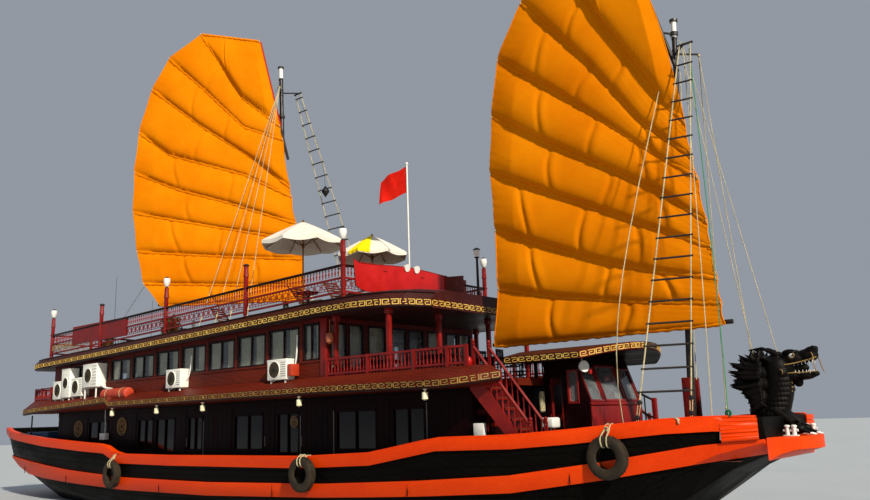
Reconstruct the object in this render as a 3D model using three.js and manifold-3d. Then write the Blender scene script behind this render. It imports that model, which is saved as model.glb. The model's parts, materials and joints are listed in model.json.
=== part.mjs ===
// A two-masted cruise junk afloat: decked wooden hull, two storeys of cabins, sun deck, wheelhouse,
// fan-shaped batten sails, dragon figurehead, rudder and propeller.
// Millimetres. +X to the bow, +Y to port, +Z up. The origin is amidships on the waterline.
import * as THREE from 'three';
import { mergeVertices } from 'three/addons/utils/BufferGeometryUtils.js';
import Module from 'manifold-3d';

const wasm = await Module();
wasm.setup();

// Driving dimensions
const GAP = 0.3;                 // gap kept between two pieces that touch
const ROUND = 32;                // sides of masts, shafts, pins and their bores
const STERN_X = -17600;
const BOW_X = 16200;             // forward end of the planked hull, behind the beak
const BEAK_X = 17050;
const HALF_BEAM = 3900;
const MAIN_DECK_Z = 1000;
const END_DECK_Z = 1600;         // raised stern deck and foredeck
const STERN_STEP_X = -12300;
const FORE_STEP_X = 10650;
const BULWARK_T = 90;
const WALE_T = 70;               // how far the orange wales stand out of the planking
const WALE_H = 290;
const WALL_T = 60;
const DOOR_T = 40;

const LOWER_HALF_W = 2900;       // main deck house, outside of its walls
const LOWER_AFT_X = -11900;
const LOWER_FORE_X = 9630;
const UPPER_SLAB_Z = 3420;       // underside of the upper deck
const UPPER_FLOOR_Z = 3600;
const KERB_Z = 3920;             // top of the flared skirt round the upper deck
const UPPER_HALF_W = 3400;       // upper house, outside of its walls
const UPPER_AFT_X = -11400;
const UPPER_FORE_X = 4950;
const DECK_EDGE_Y = 3950;
const DECK_AFT_X = -13800;
const DECK_FORE_X = 10700;
const ROOF_EDGE_Y = 3900;
const ROOF_AFT_X = -12700;
const ROOF_FORE_X = 8080;
const ROOF_EAVE_AFT_Z = 5150;    // the eave rises towards the bow
const ROOF_EAVE_FORE_Z = 5620;
const ROOF_T = 530;
const SUN_RAIL_Y = 3380;
const SUN_RAIL_H = 880;

const FORE_MAST = { x: 13960, topX: 14510, baseZ: END_DECK_Z, topZ: 12620, baseR: 95, topR: 60, treeZ: 11700 };
const MAIN_MAST = { x: -720, topX: -1350, baseZ: MAIN_DECK_Z, topZ: 16370, baseR: 120, topR: 75, treeZ: 15300 };
const SAIL_OFFSET = 350;         // the sails hang this far to starboard of their masts
const MAIN_SAIL_SWING = 35;      // degrees, leech out over the starboard rail

const COLOURS = {
  blackHull: 0x14110f, orange: 0xe0531a, mahogany: 0x4a1712, redWood: 0x6e1510, sailCloth: 0xe08a1c,
  spar: 0x1c1714, white: 0xe9e7e0, darkWood: 0x1f1512, rubber: 0x1b1a1a, bronze: 0x8a6a34,
  flag: 0xd0141c, cream: 0xe8e2d2, rope: 0xc9b88a, drum: 0xc23a1c,
};

// Shape helpers
function toSolid(geometry) {
  const bare = geometry.clone();
  bare.deleteAttribute('normal');
  bare.deleteAttribute('uv');
  const merged = mergeVertices(bare, 0.01);
  const mesh = new wasm.Mesh({
    numProp: 3,
    vertProperties: Float32Array.from(merged.attributes.position.array),
    triVerts: Uint32Array.from(merged.index.array),
  });
  return new wasm.Manifold(mesh);
}

function toGeometry(solid) {
  const mesh = solid.getMesh();
  const geometry = new THREE.BufferGeometry();
  geometry.setAttribute('position', new THREE.BufferAttribute(Float32Array.from(mesh.vertProperties), 3));
  geometry.setIndex(new THREE.BufferAttribute(Uint32Array.from(mesh.triVerts), 1));
  geometry.computeVertexNormals();
  return geometry;
}

function box(x0, x1, y0, y1, z0, z1) {
  const geometry = new THREE.BoxGeometry(x1 - x0, y1 - y0, z1 - z0);
  geometry.translate((x0 + x1) / 2, (y0 + y1) / 2, (z0 + z1) / 2);
  return toSolid(geometry);
}

function extruded(points, depth) {
  const shape = new THREE.Shape(points.map(([u, v]) => new THREE.Vector2(u, v)));
  return new THREE.ExtrudeGeometry(shape, { depth, bevelEnabled: false, curveSegments: 8 });
}

// Outline in X and Z, thick along Y
function sidePrism(points, y0, y1) {
  const geometry = extruded(points, y1 - y0);
  geometry.rotateX(Math.PI / 2);
  geometry.translate(0, y1, 0);
  return toSolid(geometry);
}

// Outline in X and Y, thick along Z
function planPrism(points, z0, z1) {
  const geometry = extruded(points, z1 - z0);
  geometry.translate(0, 0, z0);
  return toSolid(geometry);
}

// Outline in Y and Z, thick along X
function crossPrism(points, x0, x1) {
  const geometry = extruded(points, x1 - x0);
  const axes = new THREE.Matrix4().makeBasis(
    new THREE.Vector3(0, 1, 0), new THREE.Vector3(0, 0, 1), new THREE.Vector3(1, 0, 0));
  geometry.applyMatrix4(axes);
  geometry.translate(x0, 0, 0);
  return toSolid(geometry);
}

// A closed skin through sections along X, each a ring of [x, y, z]
function loft(sections) {
  const ring = sections[0].length;
  const positions = sections.flat(2);
  const index = [];
  for (let s = 0; s + 1 < sections.length; s += 1) {
    for (let i = 0; i < ring; i += 1) {
      const a = s * ring + i;
      const b = s * ring + (i + 1) % ring;
      index.push(a, b, a + ring, b, b + ring, a + ring);
    }
  }
  const capOf = (section) => THREE.ShapeUtils.triangulateShape(
    section.map(([, y, z]) => new THREE.Vector2(y, z)), []);
  const last = (sections.length - 1) * ring;
  const first = sections[0].map(([, y, z]) => new THREE.Vector2(y, z));
  const turned = THREE.ShapeUtils.area(first) < 0;
  for (const [a, b, c] of capOf(sections[0])) index.push(...(turned ? [a, b, c] : [a, c, b]));
  for (const [a, b, c] of capOf(sections[sections.length - 1])) {
    index.push(...(turned ? [last + a, last + c, last + b] : [last + a, last + b, last + c]));
  }
  if (turned) {
    for (let i = 0; i < index.length; i += 3) [index[i + 1], index[i + 2]] = [index[i + 2], index[i + 1]];
  }
  const geometry = new THREE.BufferGeometry();
  geometry.setAttribute('position', new THREE.BufferAttribute(new Float32Array(positions), 3));
  geometry.setIndex(index);
  return toSolid(geometry);
}

// A bar between two points, round or, with four sides, square with its flats up and down
function bar(from, to, r0, r1 = r0, sides = 10) {
  const a = new THREE.Vector3(...from);
  const b = new THREE.Vector3(...to);
  const geometry = new THREE.CylinderGeometry(r1, r0, a.distanceTo(b), sides);
  if (sides === 4) geometry.rotateY(Math.PI / 4);
  const turn = new THREE.Quaternion().setFromUnitVectors(
    new THREE.Vector3(0, 1, 0), b.clone().sub(a).normalize());
  geometry.applyQuaternion(turn);
  geometry.translate((a.x + b.x) / 2, (a.y + b.y) / 2, (a.z + b.z) / 2);
  return toSolid(geometry);
}

// Radius of a many-sided bore in which a many-sided pin of radius r turns without touching
const boreFor = (r) => (r + GAP) / Math.cos(Math.PI / ROUND);

function union(solids) {
  return solids.reduce((sum, solid) => sum.add(solid));
}

// A piece trimmed so that it stands on its carrier, clear of it all round
const NUDGES = [[0, 0, GAP], [GAP, 0, 0], [-GAP, 0, 0], [0, GAP, 0], [0, -GAP, 0]];
function seated(solid, carrier) {
  return NUDGES.reduce((left, nudge) => left.subtract(carrier.translate(nudge)), solid);
}

function mirrored(solid) {
  return solid.mirror([0, 1, 0]);
}

const SIDES = [['starboard', -1], ['port', 1]];
const onSide = (side, y0, y1) => (side < 0 ? [-y1, -y0] : [y0, y1]);

// Straight lines through [x, value] rows
function interpolate(rows, x) {
  const last = rows.length - 1;
  if (x <= rows[0][0]) return rows[0][1];
  if (x >= rows[last][0]) return rows[last][1];
  const i = rows.findIndex(([rowX]) => rowX > x);
  const [x0, v0] = rows[i - 1];
  const [x1, v1] = rows[i];
  return v0 + (v1 - v0) * (x - x0) / (x1 - x0);
}

const root = new THREE.Group();

function add(name, solid, colour, roughness = 0.6, metalness = 0, parent = root) {
  const material = new THREE.MeshStandardMaterial({ color: colour, roughness, metalness });
  const mesh = new THREE.Mesh(toGeometry(solid), material);
  mesh.name = name;
  parent.add(mesh);
  return mesh;
}

// Hull lines: x, half breadth at the gunwale, gunwale height, height of the bottom on the centre line
const HULL_LINES = [
  [STERN_X, 2500, 2880, 2150],
  [-17000, 2700, 2800, 1500],
  [-16200, 2950, 2720, 800],
  [-15000, 3180, 2620, 300],
  [-13500, 3400, 2520, -150],
  [-11500, 3620, 2380, -700],
  [-8000, 3800, 2200, -1130],
  [-6300, 3850, 2130, -1200],
  [-5300, 3870, 1800, -1200],
  [-2000, HALF_BEAM, 1760, -1200],
  [4400, HALF_BEAM, 1760, -1200],
  [7000, 3850, 1860, -1200],
  [9100, 3720, 2210, -1150],
  [11100, 3450, 2240, -950],
  [12500, 3120, 2330, -450],
  [13500, 2820, 2420, 20],
  [14400, 2500, 2500, 640],
  [15300, 2140, 2530, 1280],
  [BOW_X, 1780, 2500, 1700],
];
const sheer = HULL_LINES.map(([x, , top]) => [x, top]);
const breadth = HULL_LINES.map(([x, half]) => [x, half]);

// The side of a section: bottom, bilge, turn of the side and gunwale, as shares of breadth and depth
const SECTION_SHARES = [[0.62, 0.1], [0.93, 0.42], [0.985, 0.7], [1, 1]];

function hullSection([x, halfBreadth, top, bottom], grow, topZ = top) {
  const depth = top - bottom;
  const side = SECTION_SHARES.map(([b, d]) => {
    const z = d === 1 ? topZ : bottom + d * depth;
    return [x, halfBreadth * b + grow, z - (d === 1 ? 0 : grow * 0.5)];
  });
  const starboard = side.map(([sx, y, z]) => [sx, -y, z]);
  return [[x, 0, bottom - grow], ...side, ...starboard.reverse()];
}

const hullSolid = (grow) => loft(HULL_LINES.map((row) => hullSection(row, grow)));
const planked = hullSolid(0);

const TRANSOM_T = 260;
const wellX = [STERN_X + TRANSOM_T, BOW_X - 200];
const innerRows = HULL_LINES.filter(([x]) => x > wellX[0] && x < wellX[1]);
const rowAt = (x) => [x, ...[1, 2, 3].map((k) => interpolate(HULL_LINES.map((row) => [row[0], row[k]]), x))];
const inner = loft([rowAt(wellX[0]), ...innerRows, rowAt(wellX[1])]
  .map((row) => hullSection(row, -BULWARK_T, row[2] + 500)));

const SKY_Z = 4000;
const deckSpace = (lift) => union([
  box(STERN_X - 500, STERN_STEP_X + 50, -5000, 5000, END_DECK_Z + lift, SKY_Z),
  box(STERN_STEP_X + lift, FORE_STEP_X - lift, -5000, 5000, MAIN_DECK_Z + lift, SKY_Z),
  box(FORE_STEP_X - lift - 10, BEAK_X + 500, -5000, 5000, END_DECK_Z + lift, SKY_Z),
]);

// The rudder stock comes up through a trunk in the hull's bottom
const SHAFT_Z = -1000;
const PROP_X = -13050;
const RUDDER_X = -14300;
const STOCK = { r: 70, topZ: 420 };
const trunk = bar([RUDDER_X, 0, -2000], [RUDDER_X, 0, STOCK.topZ + 10], boreFor(STOCK.r), boreFor(STOCK.r), ROUND);
add('hull', planked.subtract(deckSpace(0)).subtract(trunk), COLOURS.blackHull, 0.45);

const bulwarkRing = planked.intersect(deckSpace(GAP)).subtract(inner);
for (const [sideName, side] of SIDES) {
  const [y0, y1] = onSide(side, GAP / 2, 6000);
  const half = bulwarkRing.intersect(box(-20000, 20000, y0, y1, -4000, 20000));
  add(`bulwark_${sideName}`, half, COLOURS.blackHull, 0.45);
}

// Wales: bands round the planking between two lines, which meet round the stern
const WRAP = STERN_X - 300;
const gunwaleBand = [
  [WRAP, sheer[0][1]],
  ...sheer,
  ...sheer.map(([x, z]) => [x, z - WALE_H]).reverse(),
  [WRAP, sheer[0][1] - WALE_H],
];
const RUBBING_LINE = [   // x, lower edge, upper edge
  [STERN_X, 1330, 1860],
  [-16200, 1120, 1650],
  [-12000, 860, 1400],
  [-9400, 750, 1220],
  [-5000, 620, 1040],
  [0, 600, 1000],
  [5200, 720, 1080],
  [8500, 850, 1220],
  [11000, 980, 1370],
  [13000, 1260, 1640],
  [15000, 1590, 1960],
  [BOW_X, 1760, 2060],
];
const rubbingBand = [
  ...RUBBING_LINE.map(([x, , top]) => [x, top]),
  ...RUBBING_LINE.map(([x, bottom]) => [x, bottom]).reverse(),
];
const sternPlate = crossPrism(hullSection(HULL_LINES[0], WALE_T).map(([, y, z]) => [y, z]),
  STERN_X - WALE_T, STERN_X + 1);
const waleSkin = hullSolid(WALE_T).add(sternPlate).intersect(
  box(WRAP, BOW_X - 20, -6000, 6000, -4000, SKY_Z));
const waleBetween = (band) => waleSkin.intersect(sidePrism(band, -6000, 6000));

// At the bow the gunwale wale opens into a cheek of stacked round planks on each side
const CHEEK = { count: 6, r: 50, aftX: 15430, foreX: 16110, aftZ: 2050, aftPitch: 81, foreZ: 2106, forePitch: 68 };
const CHEEK_OUT = 18;            // the planks' centre lines stand this far out of the planking
const cheekPlanks = [];
for (const [, side] of SIDES) {
  for (let i = 0; i < CHEEK.count; i += 1) {
    cheekPlanks.push(bar(
      [CHEEK.aftX, side * (interpolate(breadth, CHEEK.aftX) + CHEEK_OUT), CHEEK.aftZ + i * CHEEK.aftPitch],
      [CHEEK.foreX, side * (interpolate(breadth, CHEEK.foreX) + CHEEK_OUT), CHEEK.foreZ + i * CHEEK.forePitch],
      CHEEK.r, CHEEK.r, 10));
  }
}
const gunwale = waleBetween(gunwaleBand).intersect(box(WRAP, CHEEK.aftX + 60, -6000, 6000, -4000, SKY_Z));
add('gunwale_wale', seated(union([gunwale, ...cheekPlanks]), hullSolid(GAP)), COLOURS.orange, 0.5);
add('rubbing_wale', seated(waleBetween(rubbingBand), hullSolid(GAP)), COLOURS.orange, 0.5);

// Beak: the platform ahead of the hull that carries the figurehead
const BEAK_TOP = 2080;
const beakPlan = [
  [BOW_X + GAP, -1650], [BEAK_X - 60, -980], [BEAK_X, -900],
  [BEAK_X, 900], [BEAK_X - 60, 980], [BOW_X + GAP, 1650],
];
const beakUnder = sidePrism([
  [BOW_X - 100, 1600], [BOW_X + 300, 1700], [BEAK_X + 50, 1830], [BEAK_X + 50, 2600], [BOW_X - 100, 2600],
], -2500, 2500);
add('bow_beak', planPrism(beakPlan, 1500, BEAK_TOP).intersect(beakUnder), COLOURS.orange, 0.5);

// Dragon figurehead: a carved neck that rises from the beak, a head with open jaws, and swept mane spikes
const DRAGON_SIDE = [
  [15480, 2140], [16700, BEAK_TOP + GAP], [16760, 2500], [16480, 2950], [16500, 3180], [16960, 3260],
  [17000, 3420], [16560, 3470], [16600, 3560], [17010, 3640], [17010, 3900], [16700, 4010], [16150, 3960],
  [15700, 3760], [15080, 3760], [15560, 3560], [14990, 3430], [15560, 3300], [15030, 3100], [15620, 2960],
  [15760, 2700], [15560, 2400],
];
const aheadOfBow = [
  [BOW_X + 10, 0], [18000, 0], [18000, 5000], [14000, 5000], [14000, 2560], [BOW_X + 10, 2560],
];
const DRAGON_HALF_W = 330;
add('dragon_figurehead', sidePrism(DRAGON_SIDE, -DRAGON_HALF_W, DRAGON_HALF_W)
  .intersect(sidePrism(aheadOfBow, -400, 400)), COLOURS.darkWood, 0.35);

// Keel skeg with a shoe that reaches under the propeller to the rudder's heel
const KEEL = { bottomZ: -1750, shoeZ: -1610, halfT: 130, foreX: 8000 };
const SHAFT_R = 60;
const PIN_R = 40;
const keelLine = sidePrism([
  [KEEL.foreX + 1000, -1100], [KEEL.foreX, KEEL.bottomZ], [RUDDER_X - 250, KEEL.bottomZ],
  [RUDDER_X - 250, KEEL.shoeZ], [-12750, KEEL.shoeZ], [-12750, -200], [-12000, 300], [9500, 300],
], -KEEL.halfT, KEEL.halfT);
const shaftHole = bar([-13500, 0, SHAFT_Z], [-11500, 0, SHAFT_Z], boreFor(SHAFT_R), boreFor(SHAFT_R), ROUND);
const heelHole = bar([RUDDER_X, 0, KEEL.bottomZ + 60], [RUDDER_X, 0, -1400], boreFor(PIN_R), boreFor(PIN_R), ROUND);
add('keel_skeg', keelLine.subtract(hullSolid(GAP)).subtract(shaftHole).subtract(heelHole),
  COLOURS.blackHull, 0.5);

// Propeller and its shaft, which turn together
const PROP = { r: 520, hubR: 110, hubAftR: 95, half: 130, blades: 4, bladeW: 300, bladeT: 34, twist: 0.6 };
const propPieces = [
  bar([PROP_X - PROP.half, 0, SHAFT_Z], [PROP_X + PROP.half, 0, SHAFT_Z], PROP.hubAftR, PROP.hubR, 16),
];
for (let i = 0; i < PROP.blades; i += 1) {
  const length = PROP.r - SHAFT_R;
  const blade = new THREE.BoxGeometry(PROP.bladeT, PROP.bladeW, length);
  blade.translate(0, 0, SHAFT_R + length / 2);
  blade.rotateZ(PROP.twist);
  blade.rotateX(i * 2 * Math.PI / PROP.blades);
  blade.translate(PROP_X, 0, SHAFT_Z);
  propPieces.push(toSolid(blade));
}
const hubHole = bar([PROP_X - 400, 0, SHAFT_Z], [PROP_X + 400, 0, SHAFT_Z], boreFor(SHAFT_R), boreFor(SHAFT_R), ROUND);
add('propeller', union(propPieces).subtract(hubHole), COLOURS.bronze, 0.3, 0.9);
add('propeller_shaft', bar([PROP_X - 200, 0, SHAFT_Z], [-11600, 0, SHAFT_Z], SHAFT_R, SHAFT_R, ROUND),
  COLOURS.bronze, 0.3, 0.9);

// Rudder: a blade on its stock, which turns in the hull's trunk and on a pin in the keel shoe
const rudderBlade = sidePrism([
  [RUDDER_X + 260, -1500], [RUDDER_X + 260, -330], [RUDDER_X - 900, -180], [RUDDER_X - 900, -1450],
  [RUDDER_X - 760, -1540],
], -60, 60);
const rudderStock = bar([RUDDER_X, 0, -1520], [RUDDER_X, 0, STOCK.topZ], STOCK.r, STOCK.r, ROUND);
const rudderPin = bar([RUDDER_X, 0, KEEL.bottomZ + 70], [RUDDER_X, 0, -1450], PIN_R, PIN_R, ROUND);
add('rudder', union([rudderBlade, rudderStock, rudderPin]), COLOURS.blackHull, 0.5);

// A door leaf with three barrels on its hinge line, shut: the hinge stands at the origin, the leaf runs
// along +X from it, and the wall's face lies just behind the barrels
const BARREL = { r: 14, half: 60 };
function doorLeaf(width, z0, z1) {
  const faceY = -BARREL.r - GAP;
  const pieces = [box(10, width, faceY - DOOR_T, faceY, z0, z1)];
  for (const share of [0.12, 0.5, 0.88]) {
    const z = z0 + (z1 - z0) * share;
    pieces.push(bar([0, 0, z - BARREL.half], [0, 0, z + BARREL.half], BARREL.r, BARREL.r, 12));
    pieces.push(box(10, 120, faceY - 1, faceY + 12, z - BARREL.half, z + BARREL.half));
  }
  return union(pieces);
}

// Main deck house
const LOWER_TOP_Z = UPPER_SLAB_Z - GAP;
const LOWER_OPENINGS = [   // from x, to x, sill
  [-9350, -7900, 1900],
  [-5740, -4720, 1900],
  [-4560, -3340, 1080],
  [-2560, -1700, 1900],
  [20, 1490, 1900],
  [2160, 3170, 1080],
  [4760, 6350, 1900],
  [6940, 8080, 1900],
];
const LOWER_HEAD_Z = 3000;
for (const [sideName, side] of SIDES) {
  const [y0, y1] = onSide(side, LOWER_HALF_W - WALL_T, LOWER_HALF_W);
  let wall = box(LOWER_AFT_X, LOWER_FORE_X, y0, y1, MAIN_DECK_Z + GAP, LOWER_TOP_Z);
  for (const [x0, x1, sill] of LOWER_OPENINGS) {
    wall = wall.subtract(box(x0, x1, y0 - 50, y1 + 50, sill, LOWER_HEAD_Z));
  }
  add(`lower_house_${sideName}`, wall, COLOURS.redWood, 0.4);
}
const lowerInnerW = LOWER_HALF_W - WALL_T - GAP;
const lowerEnd = (x) => box(x, x + WALL_T, -lowerInnerW, lowerInnerW, MAIN_DECK_Z + GAP, LOWER_TOP_Z);
add('lower_house_aft', lowerEnd(LOWER_AFT_X).subtract(
  box(LOWER_AFT_X - 50, LOWER_AFT_X + 100, -500, 500, 1080, LOWER_HEAD_Z)), COLOURS.redWood, 0.4);
const SALOON = { y0: -2300, width: 940, z0: 1090, z1: 2990 };
add('lower_house_front', lowerEnd(LOWER_FORE_X - WALL_T).subtract(
  box(LOWER_FORE_X - 100, LOWER_FORE_X + 50, SALOON.y0, SALOON.y0 + SALOON.width + 10,
    SALOON.z0 - 10, SALOON.z1 + 10)), COLOURS.redWood, 0.4);
add('saloon_door', doorLeaf(SALOON.width, SALOON.z0, SALOON.z1).rotate([0, 0, 90])
  .translate([LOWER_FORE_X - WALL_T - BARREL.r - GAP, SALOON.y0, 0]), COLOURS.redWood, 0.4);

// Upper deck: a slab with a flared skirt round its edge. Its after part, from the step in the sheer to
// the stern, has its skirt raised
function deckSection([x, edge, lift]) {
  const foot = edge - 430;
  const half = [
    [foot, UPPER_SLAB_Z], [edge - 60, UPPER_SLAB_Z + 8 + lift], [edge, UPPER_SLAB_Z + 30 + lift],
    [edge, UPPER_FLOOR_Z + 30 + lift], [foot + 120, KERB_Z - 70 + lift * 0.4], [foot, KERB_Z],
    [foot - 110, KERB_Z], [foot - 110, UPPER_FLOOR_Z],
  ];
  const starboard = half.map(([y, z]) => [x, -y, z]).reverse();
  return [...half.map(([y, z]) => [x, y, z]), ...starboard];
}
const DECK_LINES = [   // x, half width, lift of the skirt
  [DECK_AFT_X, 3480, -70],
  [DECK_AFT_X + 500, 3760, -60],
  [-12000, DECK_EDGE_Y, -10],
  [-6150, DECK_EDGE_Y + 20, 190],
  [-6080, DECK_EDGE_Y, 30],
  [5200, DECK_EDGE_Y, 30],
  [9400, DECK_EDGE_Y, -20],
  [9900, 3860, 10],
  [10350, 3620, 60],
  [DECK_FORE_X, 3150, 130],
];
const mastXAt = (mast, z) => mast.x + (mast.topX - mast.x) * (z - mast.baseZ) / (mast.topZ - mast.baseZ);
const mastSolid = (mast, grow) => bar(
  [mastXAt(mast, mast.baseZ - 20), 0, mast.baseZ - 20], [mast.topX, 0, mast.topZ],
  mast.baseR + grow, mast.topR + grow, ROUND)
  .intersect(box(mast.x - 2000, mast.x + 2000, -500, 500, mast.baseZ + GAP, mast.topZ + 500));
const STAIR = { topX: 9950, footX: 11450, y0: 2420, y1: 3150 };
let upperDeck = loft(DECK_LINES.map(deckSection)).subtract(mastSolid(MAIN_MAST, GAP));
for (const [, side] of SIDES) {
  const [y0, y1] = onSide(side, STAIR.y0, STAIR.y1);
  upperDeck = upperDeck.subtract(box(STAIR.topX - 200, DECK_FORE_X + 100, y0, y1, UPPER_SLAB_Z - 100, 5000));
}
add('upper_deck', upperDeck, COLOURS.mahogany, 0.35);

// Upper house
const eaveZ = (x) => ROOF_EAVE_AFT_Z
  + (ROOF_EAVE_FORE_Z - ROOF_EAVE_AFT_Z) * Math.min(1, (x - ROOF_AFT_X) / (UPPER_FORE_X - ROOF_AFT_X));
const UPPER_PITCH = 1550;
const UPPER_WINDOW_W = 1360;
const UPPER_SILL_Z = 4430;
const UPPER_WINDOWS = [[3950, 4620]];
for (let i = 0; i < 9; i += 1) {
  const x = 2380 - i * UPPER_PITCH;
  UPPER_WINDOWS.push([x, x + UPPER_WINDOW_W]);
}
for (const [sideName, side] of SIDES) {
  const [y0, y1] = onSide(side, UPPER_HALF_W - WALL_T, UPPER_HALF_W);
  let wall = sidePrism([
    [UPPER_AFT_X, UPPER_FLOOR_Z + GAP], [UPPER_FORE_X, UPPER_FLOOR_Z + GAP],
    [UPPER_FORE_X, eaveZ(UPPER_FORE_X) - GAP], [UPPER_AFT_X, eaveZ(UPPER_AFT_X) - GAP],
  ], y0, y1);
  for (const [x0, x1] of UPPER_WINDOWS) {
    wall = wall.subtract(box(x0, x1, y0 - 50, y1 + 50, UPPER_SILL_Z, eaveZ(x0) - 110));
  }
  add(`upper_house_${sideName}`, wall, COLOURS.redWood, 0.4);
}
const upperInnerW = UPPER_HALF_W - WALL_T - GAP;
const upperEnd = (x) => box(x, x + WALL_T, -upperInnerW, upperInnerW, UPPER_FLOOR_Z + GAP, eaveZ(x) - GAP);
add('upper_house_aft', upperEnd(UPPER_AFT_X).subtract(
  box(UPPER_AFT_X - 50, UPPER_AFT_X + 100, -450, 450, 3680, 5050)), COLOURS.redWood, 0.4);
const FRONT_OPENINGS = [   // from y, to y, sill
  [-3280, -2650, 4150],
  [-2550, -1960, 4150],
  [-1740, -1000, 4150],
  [-800, -60, 3680],
  [60, 800, 3680],
  [1000, 1740, 4150],
  [1960, 2550, 4150],
  [2650, 3280, 4150],
];
let upperFront = upperEnd(UPPER_FORE_X - WALL_T);
for (const [y0, y1, sill] of FRONT_OPENINGS) {
  upperFront = upperFront.subtract(box(UPPER_FORE_X - 100, UPPER_FORE_X + 50, y0, y1, sill, 5460));
}
add('upper_house_front', upperFront, COLOURS.redWood, 0.4);

// Sun deck: the roof of the upper house, with a moulded eave
function roofSection([x, edge]) {
  const eave = eaveZ(x);
  const half = [
    [edge - 80, eave], [edge, eave + 30], [edge, eave + 230], [edge - 180, eave + 400],
    [edge - 480, eave + 500], [edge - 700, eave + ROOF_T],
  ];
  const starboard = half.map(([y, z]) => [x, -y, z]).reverse();
  return [...half.map(([y, z]) => [x, y, z]), ...starboard];
}
const ROOF_LINES = [   // x, half width
  [ROOF_AFT_X, 3550],
  [ROOF_AFT_X + 350, 3820],
  [ROOF_AFT_X + 900, ROOF_EDGE_Y],
  [UPPER_FORE_X, ROOF_EDGE_Y],
  [6500, ROOF_EDGE_Y],
  [7250, 3680],
  [7750, 3280],
  [ROOF_FORE_X, 2500],
];
const sunDeck = loft(ROOF_LINES.map(roofSection)).subtract(mastSolid(MAIN_MAST, GAP));
add('sun_deck', sunDeck, COLOURS.mahogany, 0.35);
const sunDeckZ = (x) => eaveZ(x) + ROOF_T;

// Rails: posts, and square bars between them, along a path of [x, y, foot height]
const RAIL = { postR: 42, barR: 40 };
function railing(path, height, bars) {
  const pieces = path.map(([x, y, z]) => box(
    x - RAIL.postR, x + RAIL.postR, y - RAIL.postR, y + RAIL.postR, z, z + height + 40));
  for (let i = 0; i + 1 < path.length; i += 1) {
    for (const share of bars) {
      const [x0, y0, z0] = path[i];
      const [x1, y1, z1] = path[i + 1];
      pieces.push(bar([x0, y0, z0 + height * share], [x1, y1, z1 + height * share], RAIL.barR, RAIL.barR, 4));
    }
  }
  return union(pieces);
}

const LAMP_POSTS = [-11900, -7900, -3400, 1150, 5600];
const SUN_SINK = 60;             // the posts' feet are cut to the roof's slope
const lampRun = LAMP_POSTS.map((x) => [x, -SUN_RAIL_Y, sunDeckZ(x) - SUN_SINK]);
const foreRun = [-1700, 0, 1700].map((y) => [LAMP_POSTS[4], y, sunDeckZ(LAMP_POSTS[4]) - SUN_SINK]);
const aftRun = [1700, 0, -1700].map((y) => [LAMP_POSTS[0], y, sunDeckZ(LAMP_POSTS[0]) - SUN_SINK]);
const portRun = lampRun.map(([x, y, z]) => [x, -y, z]).reverse();
const sunRail = railing([...lampRun, ...foreRun, ...portRun, ...aftRun, lampRun[0]],
  SUN_RAIL_H + SUN_SINK, [0.2, 0.62, 1]);
const BOARD_T = 30;
const BOARDS = [   // x range, y range, foot above the deck, head above the deck
  [LAMP_POSTS[4] - BOARD_T, LAMP_POSTS[4] + BOARD_T, -2900, 2300, 330, 1060],
  [-10100, -6000, -SUN_RAIL_Y - BOARD_T, -SUN_RAIL_Y + BOARD_T, 260, 960],
  [-10100, -6000, SUN_RAIL_Y - BOARD_T, SUN_RAIL_Y + BOARD_T, 260, 960],
];
const boards = BOARDS.map(([x0, x1, y0, y1, foot, head]) => {
  const deck = sunDeckZ((x0 + x1) / 2);
  return box(x0, x1, y0, y1, deck + foot, deck + head);
});
const lamps = LAMP_POSTS.flatMap((x) => [-SUN_RAIL_Y, SUN_RAIL_Y].flatMap((y) => [
  bar([x, y, sunDeckZ(x) - SUN_SINK], [x, y, sunDeckZ(x) + 1250], 55, 45, 8),
  bar([x, y, sunDeckZ(x) + 1240], [x, y, sunDeckZ(x) + 1600], 90, 60, 8),
]));
add('sun_deck_rail', seated(union([sunRail, ...boards, ...lamps]), sunDeck), COLOURS.redWood, 0.4);

// Rails of the upper deck, on its kerb: the veranda's on each side, and one round the after end
const KERB_RAIL_Z = KERB_Z - 60;
const KERB_RAIL_Y = DECK_EDGE_Y - 485;
const KERB_RAIL_H = 540;
const verandaPath = [UPPER_FORE_X + 60, 6600, 8250, 9350].map((x) => [x, -KERB_RAIL_Y, KERB_RAIL_Z]);
verandaPath.push([9880, -KERB_RAIL_Y + 75, KERB_RAIL_Z]);
const veranda = railing(verandaPath, KERB_RAIL_H, [0.25, 1]);
add('veranda_rail_starboard', seated(veranda, upperDeck), COLOURS.redWood, 0.4);
add('veranda_rail_port', seated(mirrored(veranda), upperDeck), COLOURS.redWood, 0.4);
const aftX = DECK_AFT_X + 100;
const aftSide = [
  [UPPER_AFT_X - 80, -KERB_RAIL_Y, KERB_RAIL_Z], [-12450, -KERB_RAIL_Y + 60, KERB_RAIL_Z],
  [-13250, -3290, KERB_RAIL_Z],
];
const aftEnd = [-2700, -900, 900, 2700].map((y) => [aftX, y, KERB_RAIL_Z]);
const aftPath = [...aftSide, ...aftEnd, ...aftSide.map(([x, y, z]) => [x, -y, z]).reverse()];
const aftFeet = aftEnd.map(([x, y, z]) => box(
  x - RAIL.postR, x + RAIL.postR, y - RAIL.postR, y + RAIL.postR, UPPER_FLOOR_Z - 40, z + 100));
add('aft_rail', seated(union([railing(aftPath, KERB_RAIL_H, [0.25, 1]), ...aftFeet]), upperDeck),
  COLOURS.redWood, 0.4);

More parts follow.
